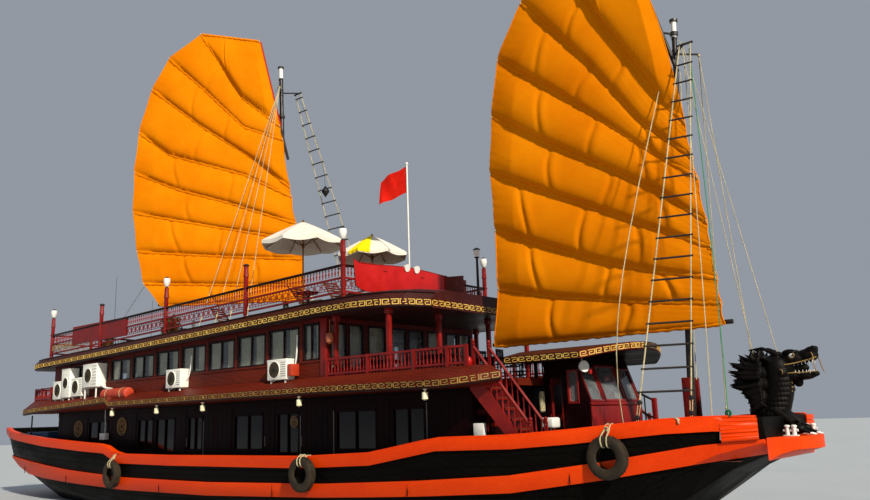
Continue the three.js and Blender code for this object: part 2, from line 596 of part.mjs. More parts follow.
// Masts, each with a crosstree that spreads the shrouds and leans forward, clear of the sail
const CROSSTREE = { halfSpan: 450, lead: 450, r: 28 };
function mastWithCrosstree(mast) {
  const x = mastXAt(mast, mast.treeZ);
  const arms = SIDES.map(([, side]) => bar([x, 0, mast.treeZ],
    [x + CROSSTREE.lead, side * CROSSTREE.halfSpan, mast.treeZ], CROSSTREE.r, CROSSTREE.r, 8));
  const cap = bar([mast.topX, 0, mast.topZ - 30], [mast.topX, 0, mast.topZ + 30],
    mast.topR + 45, mast.topR + 45, 12);
  return union([mastSolid(mast, 0), ...arms, cap]);
}
add('fore_mast', mastWithCrosstree(FORE_MAST), COLOURS.spar, 0.5);
add('main_mast', mastWithCrosstree(MAIN_MAST), COLOURS.spar, 0.5);

// Sails: in each one's own plane, u towards the luff, v up from the boom
const FORE_SAIL = {
  boomZ: 4610, swing: 0, mast: FORE_MAST, planeX: 14000, slingZ: 12250,
  leech: [[-5400, 0], [-5180, 1630], [-5190, 3360], [-5280, 5070], [-5130, 6810], [-4810, 8530], [-3880, 10050],
    [-2600, 11300]],
  luff: [[-560, 10800], [110, 8620], [410, 7190], [710, 5080], [990, 2470], [1090, 1090], [1160, 0]],
};
const MAIN_SAIL = {
  boomZ: 7060, swing: MAIN_SAIL_SWING, mast: MAIN_MAST, planeX: -1200, slingZ: 14300,
  leech: [[-4450, 0], [-5130, 860], [-5440, 2090], [-5670, 3610], [-5680, 5190], [-5560, 6800], [-5130, 8550],
    [-4490, 9810], [-3220, 10740]],
  luff: [[-840, 10260], [-290, 7930], [110, 6200], [550, 3350], [950, 1380], [1000, 0]],
};
const CLOTH_T = 40;
const SPAR = { boomR: 55, yardR: 50, sink: 6 };

// A point on a mast's axis, in the sail's own frame
function onMastAxis(sail, v) {
  const angle = -sail.swing * Math.PI / 180;
  const dx = mastXAt(sail.mast, sail.boomZ + v) - sail.planeX;
  return [dx * Math.cos(angle), dx * Math.sin(angle), v];
}

// A spar between two points [u, v] against the sail, with a collar round the mast at height v
function sparWithCollar(sail, from, to, r, v, armU) {
  const y = -SAIL_OFFSET + r - SPAR.sink;
  const spar = bar([from[0], y, from[1]], [to[0], y, to[1]], r, r, 10);
  const radiusAt = (height) => sail.mast.baseR + (sail.mast.topR - sail.mast.baseR)
    * (sail.boomZ + height - sail.mast.baseZ) / (sail.mast.topZ - sail.mast.baseZ);
  const collarR = radiusAt(v) + 40;
  const collar = bar(onMastAxis(sail, v - 50), onMastAxis(sail, v + 50), collarR, collarR, 16);
  const bore = bar(onMastAxis(sail, v - 200), onMastAxis(sail, v + 200),
    boreFor(radiusAt(v - 200)), boreFor(radiusAt(v + 200)), ROUND);
  const arm = bar(onMastAxis(sail, v), [armU, y, v], 30, 30, 8);
  const clothSide = box(-9000, 9000, -SAIL_OFFSET - 500, -SAIL_OFFSET + GAP, -500, 13000);
  return union([spar, collar, arm]).subtract(bore).subtract(clothSide);
}

function addSail(name, sail) {
  const group = new THREE.Group();
  group.position.set(sail.planeX, 0, sail.boomZ);
  group.rotation.z = sail.swing * Math.PI / 180;
  root.add(group);
  const cloth = sidePrism([...sail.leech, ...sail.luff], -SAIL_OFFSET - CLOTH_T, -SAIL_OFFSET);
  const clew = [sail.leech[0][0] - 100, SPAR.boomR];
  const tack = [sail.luff[sail.luff.length - 1][0] + 150, SPAR.boomR];
  const [head] = sail.luff;
  const throat = sail.luff[2];
  const slingV = sail.slingZ - sail.boomZ;
  const along = (share) => [head[0] + (throat[0] - head[0]) * share, head[1] + (throat[1] - head[1]) * share];
  const [slingU] = along((slingV - head[1]) / (throat[1] - head[1]));
  add(`${name}_cloth`, cloth, COLOURS.sailCloth, 0.8, 0, group);
  add(`${name}_boom`, sparWithCollar(sail, clew, tack, SPAR.boomR, SPAR.boomR, 0), COLOURS.spar, 0.5, 0, group);
  add(`${name}_yard`, sparWithCollar(sail, head, along(1.2), SPAR.yardR, slingV, slingU),
    COLOURS.spar, 0.5, 0, group);
}
addSail('fore_sail', FORE_SAIL);
addSail('main_sail', MAIN_SAIL);

// Main stays: each pair is one rope doubled over its masthead
const STAY_R = 18;
const KNOT_R = STAY_R * 1.6;
function ropePair(footA, head, footB) {
  const knot = toSolid(new THREE.SphereGeometry(KNOT_R, 8, 6).translate(...head));
  return bar(footA, head, STAY_R, STAY_R, 6).add(bar(head, footB, STAY_R, STAY_R, 6)).add(knot);
}
const treeLength = Math.hypot(CROSSTREE.lead, CROSSTREE.halfSpan);
const treeReach = 1 + (KNOT_R + GAP) / treeLength;
const treeEnd = (mast, side) => [mastXAt(mast, mast.treeZ) + CROSSTREE.lead * treeReach,
  side * CROSSTREE.halfSpan * treeReach, mast.treeZ];
const SHROUDS = [   // name, mast, carrier, feet as x, half breadth, height
  ['fore_shrouds', FORE_MAST, bulwarkRing, [[13850, 2650, 2421], [14900, 2255, 2487]]],
  ['main_shrouds', MAIN_MAST, sunDeck, [[-900, 3510, 5900], [300, 3510, 5930]]],
];
for (const [name, mast, carrier, feet] of SHROUDS) {
  for (const [sideName, side] of SIDES) {
    const [a, b] = feet.map(([x, y, z]) => [x, side * y, z]);
    add(`${name}_${sideName}`, seated(ropePair(a, treeEnd(mast, side), b), carrier), COLOURS.rope, 0.9);
  }
}

// Wheelhouse on the foredeck, its front glass raked back, under a cambered roof with a bowed front
const WHEEL = { aft: 10800, front: 12050, halfW: 1400, sill: 2960, rake: 330, top: 4400 };
const WHEEL_ROOF = { aft: 10060, front: 12250, bow: 800, halfW: 2100, underZ: 3965, camber: 250, t: 190 };
const rakedAt = (z) => WHEEL.front - WHEEL.rake * (z - WHEEL.sill) / 950;
const wheelProfile = (t, z0, z1) => [
  [WHEEL.aft + t, z0], [WHEEL.front - t, z0], [WHEEL.front - t, WHEEL.sill], [rakedAt(z1) - t, z1],
  [WHEEL.aft + t, z1],
];
const wheelOuter = sidePrism(wheelProfile(0, END_DECK_Z + GAP, WHEEL.top), -WHEEL.halfW, WHEEL.halfW);
const wheelInner = sidePrism(wheelProfile(WALL_T, 0, WHEEL.top + 1), -WHEEL.halfW + WALL_T, WHEEL.halfW - WALL_T);
function wheelRoofBetween(under, over) {
  const section = (y) => {
    const rise = 1 - (y / WHEEL_ROOF.halfW) ** 2;
    const z = WHEEL_ROOF.underZ + WHEEL_ROOF.camber * rise;
    const front = WHEEL_ROOF.front + WHEEL_ROOF.bow * rise;
    return [[WHEEL_ROOF.aft, y, z + under], [front, y, z + under], [front, y, z + over], [WHEEL_ROOF.aft, y, z + over]];
  };
  const rows = [-1, -2 / 3, -1 / 3, 0, 1 / 3, 2 / 3, 1].map((share) => section(share * WHEEL_ROOF.halfW));
  return loft(rows.map((ring) => ring.map(([x, y, z]) => [y, -x, z]))).rotate([0, 0, 90]);
}
const WHEEL_DOOR = { x0: 10900, width: 490, z0: END_DECK_Z + 70, z1: 3590 };
const WHEEL_OPENINGS = [   // x range, y range, z range
  [WHEEL_DOOR.x0, WHEEL_DOOR.x0 + WHEEL_DOOR.width + 10, -2000, 0, WHEEL_DOOR.z0 - 10, WHEEL_DOOR.z1 + 10],
  [11480, 11760, -2000, 0, WHEEL.sill, 3740],
  [11000, 11600, 0, 2000, WHEEL.sill, 3740],
  [WHEEL.front - 500, WHEEL.front + 100, -1290, -640, WHEEL.sill + 40, 3800],
  [WHEEL.front - 500, WHEEL.front + 100, -520, 520, WHEEL.sill + 40, 3860],
  [WHEEL.front - 500, WHEEL.front + 100, 640, 1290, WHEEL.sill + 40, 3800],
];
const wheelWalls = WHEEL_OPENINGS.reduce((walls, span) => walls.subtract(box(...span)),
  wheelOuter.subtract(wheelInner).subtract(wheelRoofBetween(-GAP, 600)));
add('wheelhouse', wheelWalls, COLOURS.redWood, 0.4);
add('wheelhouse_roof', wheelRoofBetween(0, WHEEL_ROOF.t), COLOURS.mahogany, 0.35);

// The wheelhouse door stands open into the room
const DOOR_OPEN = 88;            // degrees from shut
add('wheelhouse_door', doorLeaf(WHEEL_DOOR.width, WHEEL_DOOR.z0, WHEEL_DOOR.z1).rotate([0, 0, DOOR_OPEN])
  .translate([WHEEL_DOOR.x0, -WHEEL.halfW + WALL_T + BARREL.r + GAP, 0]), COLOURS.redWood, 0.4);

// Stairs from the upper deck down to the foredeck, one on each side
function stair() {
  const rise = UPPER_FLOOR_Z - END_DECK_Z;
  const run = STAIR.footX - STAIR.topX;
  const head = [STAIR.topX - 190, UPPER_FLOOR_Z];
  const pieces = [];
  for (const y of [-STAIR.y1 + 20, -STAIR.y0 - 60]) {
    pieces.push(sidePrism([
      head, [STAIR.topX + 120, UPPER_FLOOR_Z], [STAIR.footX + 120, END_DECK_Z + 100],
      [STAIR.footX + 120, END_DECK_Z + GAP], [STAIR.footX - 120, END_DECK_Z + GAP], [head[0], UPPER_FLOOR_Z - 260],
    ], y, y + 40));
    pieces.push(bar([STAIR.topX - 60, y + 20, UPPER_FLOOR_Z + 800], [STAIR.footX, y + 20, END_DECK_Z + 850],
      36, 36, 4));
    pieces.push(box(STAIR.topX - 100, STAIR.topX - 20, y, y + 40, UPPER_FLOOR_Z - 50, UPPER_FLOOR_Z + 850));
    pieces.push(box(STAIR.footX - 50, STAIR.footX + 40, y, y + 40, END_DECK_Z + 50, END_DECK_Z + 920));
  }
  const steps = 8;
  for (let i = 1; i < steps; i += 1) {
    const x = STAIR.topX + run * i / steps;
    const z = UPPER_FLOOR_Z - rise * i / steps;
    pieces.push(box(x - 130, x + 130, -STAIR.y1 + 40, -STAIR.y0 - 40, z - 20, z + 20));
  }
  return union(pieces);
}
add('foredeck_stair_starboard', stair(), COLOURS.redWood, 0.4);
add('foredeck_stair_port', mirrored(stair()), COLOURS.redWood, 0.4);

// Air conditioning units along the starboard wall of the upper house
const AIR_UNITS = [   // name, x, width, foot, height, depth
  ['air_unit_middle', -2690, 870, 3960, 610, 330],
  ['air_unit_fore', 2700, 870, 3930, 590, 330],
];
for (const [name, x, width, z, height, depth] of AIR_UNITS) {
  add(name, box(x, x + width, -UPPER_HALF_W - GAP - depth, -UPPER_HALF_W - GAP, z, z + height),
    COLOURS.white, 0.5);
}
const wallY = -UPPER_HALF_W - GAP;
const tower = union([
  box(-8310, -7240, wallY - 400, wallY, 4250, 5120),
  ...[[-8200, -390], [-7400, -390], [-8200, -60], [-7400, -60]].map(([x, y]) => box(
    x, x + 45, wallY + y, wallY + y + 45, KERB_Z - 200, 4300)),
]);
add('air_unit_tower', seated(tower, upperDeck), COLOURS.white, 0.5);
const airPair = union([
  box(-10820, -10050, wallY - 330, wallY, 3900, 4600),
  box(-10060, -9340, wallY - 380, wallY, 3940, 5060),
  box(-9350, -8480, wallY - 330, wallY, 3960, 4660),
]);
add('air_unit_pair', seated(airPair, upperDeck), COLOURS.white, 0.5);

// A drum lies in the corner between the raised skirt and the wall
const DRUM = { x0: -6850, x1: -5150, y: -3640, z: 3930, r: 215 };
add('deck_drum', seated(bar([DRUM.x0, DRUM.y, DRUM.z], [DRUM.x1, DRUM.y, DRUM.z], DRUM.r, DRUM.r, 16), upperDeck)
  .intersect(box(DRUM.x0, DRUM.x1, -5000, -UPPER_HALF_W - GAP, 3000, 5000)), COLOURS.drum, 0.5);

// Sunshades: a pole on a round foot, and an eight-sided canopy, closed
const SHADE = { rim: 8300, apex: 8980, skin: 45, poleR: 24, footR: 230, footH: 130 };
function sunshade(x, y, rimR) {
  const foot = sunDeckZ(x) - 40;
  const canopy = new THREE.LatheGeometry([
    [0, SHADE.apex - SHADE.skin], [rimR * 0.5, SHADE.apex - 320], [rimR - 20, SHADE.rim - 30],
    [rimR, SHADE.rim], [rimR * 0.5, SHADE.apex - 280], [0, SHADE.apex],
  ].map(([r, z]) => new THREE.Vector2(r, z)), 8);
  canopy.rotateX(Math.PI / 2);
  canopy.translate(x, y, 0);
  const pole = bar([x, y, foot], [x, y, SHADE.apex - 30], SHADE.poleR, SHADE.poleR, 8);
  const base = bar([x, y, foot], [x, y, foot + SHADE.footH], SHADE.footR, SHADE.footR - 30, 12);
  return seated(union([toSolid(canopy), pole, base]), sunDeck);
}
add('sunshade_starboard', sunshade(2700, -2350, 1340), COLOURS.cream, 0.8);
add('sunshade_middle', sunshade(2800, 700, 1260), COLOURS.cream, 0.8);

// Flag pole behind the forward rail, and its flag, whose fly droops
const POLE = { x: 5300, y: -200, top: 10800, r: 26 };
add('flag_pole', seated(
  bar([POLE.x, POLE.y, sunDeckZ(POLE.x) - 40], [POLE.x, POLE.y, POLE.top], POLE.r, POLE.r, 8), sunDeck),
COLOURS.white, 0.5);
const FLAG = { hoist: 880, fly: 1200, droop: 270, halfT: 12 };
const hoistX = POLE.x - POLE.r - GAP;
const flagTop = POLE.top - 60;
add('flag', sidePrism([
  [hoistX, flagTop - FLAG.hoist], [hoistX, flagTop], [hoistX - FLAG.fly, flagTop - FLAG.droop],
  [hoistX - FLAG.fly, flagTop - FLAG.droop - FLAG.hoist],
], POLE.y - FLAG.halfT, POLE.y + FLAG.halfT), COLOURS.flag, 0.8);

// Tyre fenders hung over the gunwale, pressed flat where they lie on the wales
const TYRE = { outer: 465, tube: 120 };
const TYRES = [[-5400, 1140, 36], [4650, 1320, 14], [13300, 1750, 14]];   // x, height of the centre, press
const berth = hullSolid(WALE_T + GAP);
TYRES.forEach(([x, z, press], i) => {
  for (const [sideName, side] of SIDES) {
    const ring = new THREE.TorusGeometry(TYRE.outer - TYRE.tube, TYRE.tube, 8, 20);
    ring.rotateX(Math.PI / 2);
    ring.translate(x, side * (interpolate(breadth, x) + WALE_T + TYRE.tube - press), z);
    add(`tyre_${sideName}_${i + 1}`, toSolid(ring).subtract(berth), COLOURS.rubber, 0.9);
  }
});

export default root;
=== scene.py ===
"""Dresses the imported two-masted cruise junk: planking, cabins, rails, sails, rigging and figurehead.

Metres, +X to the bow, +Y to port, +Z up, with the origin amidships on the waterline. The CAD frame
holds the places and the joints. Everything here rides on one of its bodies.
"""
from __future__ import annotations

import json
import logging
import math
import random
import sys
from collections.abc import Callable, Iterable, Sequence
from dataclasses import dataclass
from enum import Enum

import bmesh
import bpy
import numpy as np
from mathutils import Matrix, Vector
from mathutils.bvhtree import BVHTree

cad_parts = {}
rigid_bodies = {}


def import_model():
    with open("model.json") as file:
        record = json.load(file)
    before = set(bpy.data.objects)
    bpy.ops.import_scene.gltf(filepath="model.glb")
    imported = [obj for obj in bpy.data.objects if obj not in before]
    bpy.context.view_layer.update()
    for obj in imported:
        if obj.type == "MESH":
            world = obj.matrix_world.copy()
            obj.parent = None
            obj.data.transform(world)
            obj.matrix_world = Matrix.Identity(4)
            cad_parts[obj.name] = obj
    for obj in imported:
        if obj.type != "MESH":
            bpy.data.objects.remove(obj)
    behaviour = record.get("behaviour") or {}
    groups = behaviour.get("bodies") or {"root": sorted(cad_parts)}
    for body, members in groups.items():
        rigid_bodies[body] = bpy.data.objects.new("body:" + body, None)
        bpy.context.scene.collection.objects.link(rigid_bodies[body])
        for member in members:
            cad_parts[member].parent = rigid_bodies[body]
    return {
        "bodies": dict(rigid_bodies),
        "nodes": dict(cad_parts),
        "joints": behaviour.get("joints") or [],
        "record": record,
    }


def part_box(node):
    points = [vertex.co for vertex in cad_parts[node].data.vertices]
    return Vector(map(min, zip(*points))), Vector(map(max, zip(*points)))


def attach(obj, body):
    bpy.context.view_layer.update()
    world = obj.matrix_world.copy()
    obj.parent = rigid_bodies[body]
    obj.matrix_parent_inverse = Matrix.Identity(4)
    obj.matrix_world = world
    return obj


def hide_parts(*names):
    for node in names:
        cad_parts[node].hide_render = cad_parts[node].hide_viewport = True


LOG = logging.getLogger("junk")
Point = tuple[float, float, float]
Flat = tuple[float, float]
Colour = tuple[float, float, float]
Piece = bpy.types.Object

SHIP = "ship"
STARBOARD, PORT = -1, 1
SIDES = {"starboard": STARBOARD, "port": PORT}
SMOOTH_ANGLE = math.radians(34)
SALOON_FULLNESS = 2.0
CABIN_FULLNESS = 1.7


class Grain(Enum):
    """The kind of surface pattern that a finish carries."""

    WOOD = "wood"
    PAINT = "paint"
    CLOTH = "cloth"
    METAL = "metal"
    ROPE = "rope"
    LEAF = "leaf"
    GLASS = "glass"


class Plane(Enum):
    """The plane that an outline is drawn in, named by its two axes."""

    XZ = "xz"
    YZ = "yz"


@dataclass(frozen=True)
class Finish:
    """One finish of the junk, made once as a procedural material.

    Colours are linear. scale is in patterns a metre, stretch squeezes the pattern along each axis.
    """

    name: str
    slot: str
    colour: Colour
    second: Colour
    grain: Grain = Grain.PAINT
    roughness: float = 0.5
    spread: float = 0.14
    scale: float = 2.0
    stretch: Point = (1.0, 1.0, 1.0)
    bump: float = 0.25
    metallic: float = 0.0
    sheen: float = 0.0
    specular: float = 0.5
    wear: Colour | None = None
    wear_amount: float = 0.34

    def material(self) -> bpy.types.Material:
        """Returns this finish's material, built at its first use."""
        return bpy.data.materials.get(f"finish_{self.name}") or self._build()

    def _build(self) -> bpy.types.Material:
        """Builds the node tree: pattern, colour, wear, roughness and bump."""
        made = bpy.data.materials.new(f"finish_{self.name}")
        made.use_nodes = True
        tree = NodeTree(made.node_tree)
        shader = tree.shader
        shader.inputs["Metallic"].default_value = self.metallic
        shader.inputs["Sheen Weight"].default_value = self.sheen
        shader.inputs["Specular IOR Level"].default_value = self.specular
        if self.grain is Grain.GLASS:
            shader.inputs["Transmission Weight"].default_value = 0.93
            shader.inputs["IOR"].default_value = 1.3
        place = tree.place(self.stretch)
        broad = tree.noise(place, self.scale, detail=5.0)
        fine = tree.fine_pattern(self.grain, place, self.scale)
        blend = tree.mix_values(broad, fine, 0.35)
        colour = tree.ramp(blend, self.colour, self.second)
        if self.wear:
            worn = tree.wear_mask(self.scale, self.wear_amount)
            colour = tree.mix_colour(worn, colour, self.wear)
        tree.link(colour, shader.inputs["Base Color"])
        tree.link(tree.spread(broad, self.roughness, self.spread), shader.inputs["Roughness"])
        tree.link(tree.bump(fine, self.bump), shader.inputs["Normal"])
        return made


class NodeTree:
    """Small helper that adds and links the nodes of one material."""

    def __init__(self, tree: bpy.types.NodeTree) -> None:
        """Keeps the tree and finds its shader."""
        self.tree = tree
        self.shader = tree.nodes["Principled BSDF"]
        self.coordinates = self.add("ShaderNodeTexCoord")

    def add(self, kind: str, **values: object) -> bpy.types.Node:
        """Adds a node and sets the named properties on it."""
        node = self.tree.nodes.new(kind)
        for key, value in values.items():
            setattr(node, key, value)
        return node

    def link(self, out: bpy.types.NodeSocket, into: bpy.types.NodeSocket) -> None:
        """Links one socket to another."""
        self.tree.links.new(out, into)

    def place(self, stretch: Point) -> bpy.types.NodeSocket:
        """Returns object coordinates, squeezed by stretch."""
        mapping = self.add("ShaderNodeMapping")
        mapping.inputs["Scale"].default_value = stretch
        self.link(self.coordinates.outputs["Object"], mapping.inputs["Vector"])
        return mapping.outputs["Vector"]

    def noise(self, place: bpy.types.NodeSocket, scale: float, detail: float = 3.0) -> bpy.types.NodeSocket:
        """Returns a noise value over the surface."""
        noise = self.add("ShaderNodeTexNoise")
        noise.inputs["Scale"].default_value = scale
        noise.inputs["Detail"].default_value = detail
        noise.inputs["Roughness"].default_value = 0.62
        self.link(place, noise.inputs["Vector"])
        return noise.outputs["Fac"]

    def waves(self, place: bpy.types.NodeSocket, scale: float, axis: str, distortion: float = 2.0,
              ) -> bpy.types.NodeSocket:
        """Returns parallel bands across one axis, bent by distortion."""
        wave = self.add("ShaderNodeTexWave", bands_direction=axis)
        wave.inputs["Scale"].default_value = scale
        wave.inputs["Distortion"].default_value = distortion
        wave.inputs["Detail"].default_value = 3.0
        self.link(place, wave.inputs["Vector"])
        return wave.outputs["Fac"]

    def fine_pattern(self, grain: Grain, place: bpy.types.NodeSocket, scale: float) -> bpy.types.NodeSocket:
        """Returns the fine pattern that belongs to a kind of surface.

        Args:
            grain: The kind of surface.
            place: The coordinates to read.
            scale: Patterns a metre of the broad pattern.

        Returns:
            The pattern's value socket.
        """
        if grain is Grain.WOOD:
            return self.mix_values(self.noise(place, scale * 14, 6.0),
                                   self.waves(place, scale * 3, "DIAGONAL", 5.0), 0.3)
        if grain is Grain.CLOTH:
            across = self.waves(place, scale * 60, "X", 0.4)
            along = self.waves(place, scale * 60, "Z", 0.4)
            return self.mix_values(self.mix_values(across, along, 0.5), self.noise(place, scale * 3, 6.0),
                                   0.6)
        if grain is Grain.ROPE:
            return self.waves(place, scale * 30, "DIAGONAL", 0.6)
        if grain is Grain.LEAF:
            return self.noise(place, scale * 10, 4.0)
        if grain is Grain.METAL:
            return self.noise(place, scale * 45, 3.0)
        return self.noise(place, scale * 22, 5.0)

    def mix_values(self, first: bpy.types.NodeSocket, second: bpy.types.NodeSocket,
                   share: float) -> bpy.types.NodeSocket:
        """Returns first and second blended by share."""
        mix = self.add("ShaderNodeMix", data_type="FLOAT")
        mix.inputs[0].default_value = share
        self.link(first, mix.inputs[2])
        self.link(second, mix.inputs[3])
        return mix.outputs[0]

    def ramp(self, value: bpy.types.NodeSocket, low: Colour, high: Colour) -> bpy.types.NodeSocket:
        """Returns a colour between low and high, following value."""
        ramp = self.add("ShaderNodeValToRGB")
        ramp.color_ramp.elements[0].position = 0.32
        ramp.color_ramp.elements[0].color = (*low, 1)
        ramp.color_ramp.elements[1].position = 0.72
        ramp.color_ramp.elements[1].color = (*high, 1)
        self.link(value, ramp.inputs["Fac"])
        return ramp.outputs["Color"]

    def wear_mask(self, scale: float, amount: float) -> bpy.types.NodeSocket:
        """Returns a patchy mask of worn spots; amount is their share."""
        spots = self.noise(self.coordinates.outputs["Object"], scale * 4.3, 9.0)
        edge = self.add("ShaderNodeMapRange")
        edge.inputs["From Min"].default_value = 0.74 - amount * 0.4
        edge.inputs["From Max"].default_value = 0.84 - amount * 0.3
        self.link(spots, edge.inputs["Value"])
        return edge.outputs["Result"]

    def mix_colour(self, mask: bpy.types.NodeSocket, base: bpy.types.NodeSocket,
                   over: Colour) -> bpy.types.NodeSocket:
        """Returns base covered by the colour over, where mask is 1."""
        mix = self.add("ShaderNodeMix", data_type="RGBA")
        self.link(mask, mix.inputs[0])
        self.link(base, mix.inputs[6])
        mix.inputs[7].default_value = (*over, 1)
        return mix.outputs[2]

    def spread(self, value: bpy.types.NodeSocket, middle: float, reach: float) -> bpy.types.NodeSocket:
        """Returns value moved to wander about middle by reach."""
        span = self.add("ShaderNodeMapRange")
        span.inputs["From Min"].default_value = 0.3
        span.inputs["From Max"].default_value = 0.7
        span.inputs["To Min"].default_value = max(0.02, middle - reach)
        span.inputs["To Max"].default_value = min(1.0, middle + reach)
        self.link(value, span.inputs["Value"])
        return span.outputs["Result"]

    def bump(self, height: bpy.types.NodeSocket, strength: float) -> bpy.types.NodeSocket:
        """Returns a normal that height disturbs."""
        bump = self.add("ShaderNodeBump")
        bump.inputs["Strength"].default_value = strength
        bump.inputs["Distance"].default_value = 0.01
        self.link(height, bump.inputs["Height"])
        return bump.outputs["Normal"]


def srgb(code: int) -> Colour:
    """Returns the linear colour of a hexadecimal screen colour."""
    parts = [(code >> shift & 255) / 255 for shift in (16, 8, 0)]
    return tuple(c / 12.92 if c <= 0.04045 else ((c + 0.055) / 1.055) ** 2.4 for c in parts)


HULL_BLACK = Finish("hull_black", "black_hull", srgb(0x040302), srgb(0x0D0A07), Grain.WOOD, 0.5, 0.14, 1.3,
                    (0.35, 1, 1), 0.4, specular=0.04, wear=srgb(0x16110B), wear_amount=0.14)
WALE_ORANGE = Finish("wale_orange", "orange_paint", srgb(0xD03000), srgb(0xE44602), Grain.PAINT, 0.42, 0.12,
                     0.9, (0.4, 1, 1), 0.2, specular=0.12, wear=srgb(0x862004), wear_amount=0.14)
MAHOGANY = Finish("mahogany", "mahogany", srgb(0x440E06), srgb(0x6E2410), Grain.WOOD, 0.5, 0.12, 1.4,
                  (0.22, 1, 1), 0.25, specular=0.12)
EAVE = Finish("eave_varnish", "mahogany", srgb(0x260C0B), srgb(0x481C18), Grain.WOOD, 0.46, 0.12, 1.2,
              (0.2, 1, 1), 0.2, specular=0.14)
RED_WOOD = Finish("red_wood", "red_wood", srgb(0x420706), srgb(0x70140C), Grain.WOOD, 0.46, 0.12, 2.2,
                  (1, 1, 0.3), 0.25, specular=0.14)
SALOON_WOOD = Finish("saloon_wood", "red_wood", srgb(0x0A0102), srgb(0x1E0405), Grain.WOOD, 0.42, 0.1, 2.2,
                     (1, 1, 0.3), 0.25, specular=0.05)
RED_RAIL = Finish("red_rail", "red_wood", srgb(0x5C0A08), srgb(0x92160F), Grain.WOOD, 0.38, 0.12, 3.0,
                  (1, 1, 0.4), 0.2, specular=0.3)
DARK_WOOD = Finish("dark_wood", "mahogany", srgb(0x0E0504), srgb(0x220C08), Grain.WOOD, 0.4, 0.14, 2.5,
                   (0.3, 1, 1), 0.3, specular=0.15)
RED_BOARD = Finish("red_board", "red_paint", srgb(0x9A0D0E), srgb(0xBE1A16), Grain.PAINT, 0.42, 0.1, 2.0,
                   (0.6, 1, 1), 0.2, specular=0.25, wear=srgb(0x5E0C0A), wear_amount=0.12)
DECK_WOOD = Finish("deck_wood", "mahogany", srgb(0x4A2614), srgb(0x704222), Grain.WOOD, 0.55, 0.12, 2.0,
                   (0.2, 1, 1), 0.35)
GOLD = Finish("gold_paint", "gold_paint", srgb(0xB8862C), srgb(0xEAC868), Grain.METAL, 0.42, 0.12, 2.4,
              bump=0.15, wear=srgb(0x6A4618), wear_amount=0.2)
OLD_GOLD = Finish("old_gold_paint", "gold_paint", srgb(0x6A5024), srgb(0xA88448), Grain.METAL, 0.45, 0.12,
                  2.4, bump=0.15, wear=srgb(0x3E2A14), wear_amount=0.3)
# A darker copy of GOLD for the skirt's side key bands: painted shade for the shadow along the ship's sides.
SHADED_GOLD = Finish("shaded_gold_paint", "gold_paint", srgb(0x6E5220), srgb(0xAC8840), Grain.METAL, 0.45, 0.12,
                  2.4, bump=0.15, wear=srgb(0x3E2A14), wear_amount=0.25)
SAIL = Finish("sail_cloth", "sail_cloth", srgb(0xCE6C04), srgb(0xE28408), Grain.CLOTH, 0.78, 0.08, 0.55,
              (1, 1, 1), 0.22, specular=0.0, wear=srgb(0xBE5E06), wear_amount=0.18)
FLAG_CLOTH = Finish("flag_cloth", "flag_cloth", srgb(0xD81408), srgb(0xF02A14), Grain.CLOTH, 0.7, 0.08, 3.0,
                    specular=0.1)
CANOPY = Finish("canopy_cloth", "shade_cloth", srgb(0xD4CCBC), srgb(0xE8E0D2), Grain.CLOTH, 0.8, 0.06, 1.6,
                sheen=0.1)
YELLOW_CLOTH = Finish("yellow_cloth", "shade_cloth", srgb(0xE6C400), srgb(0xF6E010), Grain.CLOTH, 0.8, 0.06,
                      2.0, specular=0.1)
CURTAIN = Finish("curtain_cloth", "curtain_cloth", srgb(0xC2B48C), srgb(0xECE0C0), Grain.CLOTH, 0.85, 0.05,
                 2.0, sheen=0.1)
SPAR = Finish("spar_wood", "spar_wood", srgb(0x0C0907), srgb(0x241C16), Grain.WOOD, 0.45, 0.14, 2.0,
              (1, 1, 0.2), 0.3)
MAST_WHITE = Finish("mast_white", "white_paint", srgb(0xD8D6CE), srgb(0xF2F0EA), Grain.PAINT, 0.4, 0.1, 3.0)
DRAGON = Finish("dragon_wood", "dragon_wood", srgb(0x030201), srgb(0x0E0806), Grain.WOOD, 0.5, 0.12, 5.0,
                bump=0.4, specular=0.1, wear=srgb(0x22140A), wear_amount=0.14)
ENAMEL = Finish("white_enamel", "white_enamel", srgb(0xE4E0D2), srgb(0xFAF7EC), Grain.PAINT, 0.42, 0.1, 3.0,
                bump=0.1)
RUBBER = Finish("tyre_rubber", "tyre_rubber", srgb(0x17120B), srgb(0x3C301F), Grain.PAINT, 0.78, 0.12, 5.0,
                bump=0.5, specular=0.3, wear=srgb(0x54482F), wear_amount=0.3)
ROPE = Finish("rope", "rope", srgb(0x9A8A60), srgb(0xE2D4A8), Grain.ROPE, 0.85, 0.08, 2.0, bump=0.6)
GREEN_ROPE = Finish("green_rope", "green_rope", srgb(0x1E6E46), srgb(0x49A070), Grain.ROPE, 0.8, 0.08, 2.0,
                    bump=0.6)
DARK_METAL = Finish("dark_fittings", "dark_fittings", srgb(0x0A0A0B), srgb(0x1E1E1C), Grain.METAL, 0.5, 0.16,
                    4.0, metallic=0.3, wear=srgb(0x4A3A2C), wear_amount=0.2)
BRONZE = Finish("bronze", "bronze", srgb(0x6E4A1E), srgb(0xA87A3A), Grain.METAL, 0.36, 0.14, 4.0,
                metallic=0.9, wear=srgb(0x3E5A48), wear_amount=0.25)
GLASS = Finish("window_glass", "window_glass", srgb(0xD4DCDE), srgb(0xE8EEEE), Grain.GLASS, 0.05, 0.03, 1.0,
               bump=0.02)
# Opaque near-black panes for the saloon windows: painted shade, standing in for the dark interior under the
# upper deck's overhang.
PAINTED_SHADE_GLASS = Finish("saloon_glass", "window_glass", srgb(0x080504), srgb(0x16100C), Grain.PAINT, 0.1, 0.05,
                    1.0, bump=0.02, specular=0.25)
LEAVES = Finish("leaves", "leaves", srgb(0x24521A), srgb(0x5E9A34), Grain.LEAF, 0.55, 0.1, 6.0, sheen=0.1)
TARPAULIN = Finish("tarpaulin", "tarpaulin", srgb(0x96220A), srgb(0xC8441C), Grain.CLOTH, 0.5, 0.1, 2.5,
                   bump=0.4)
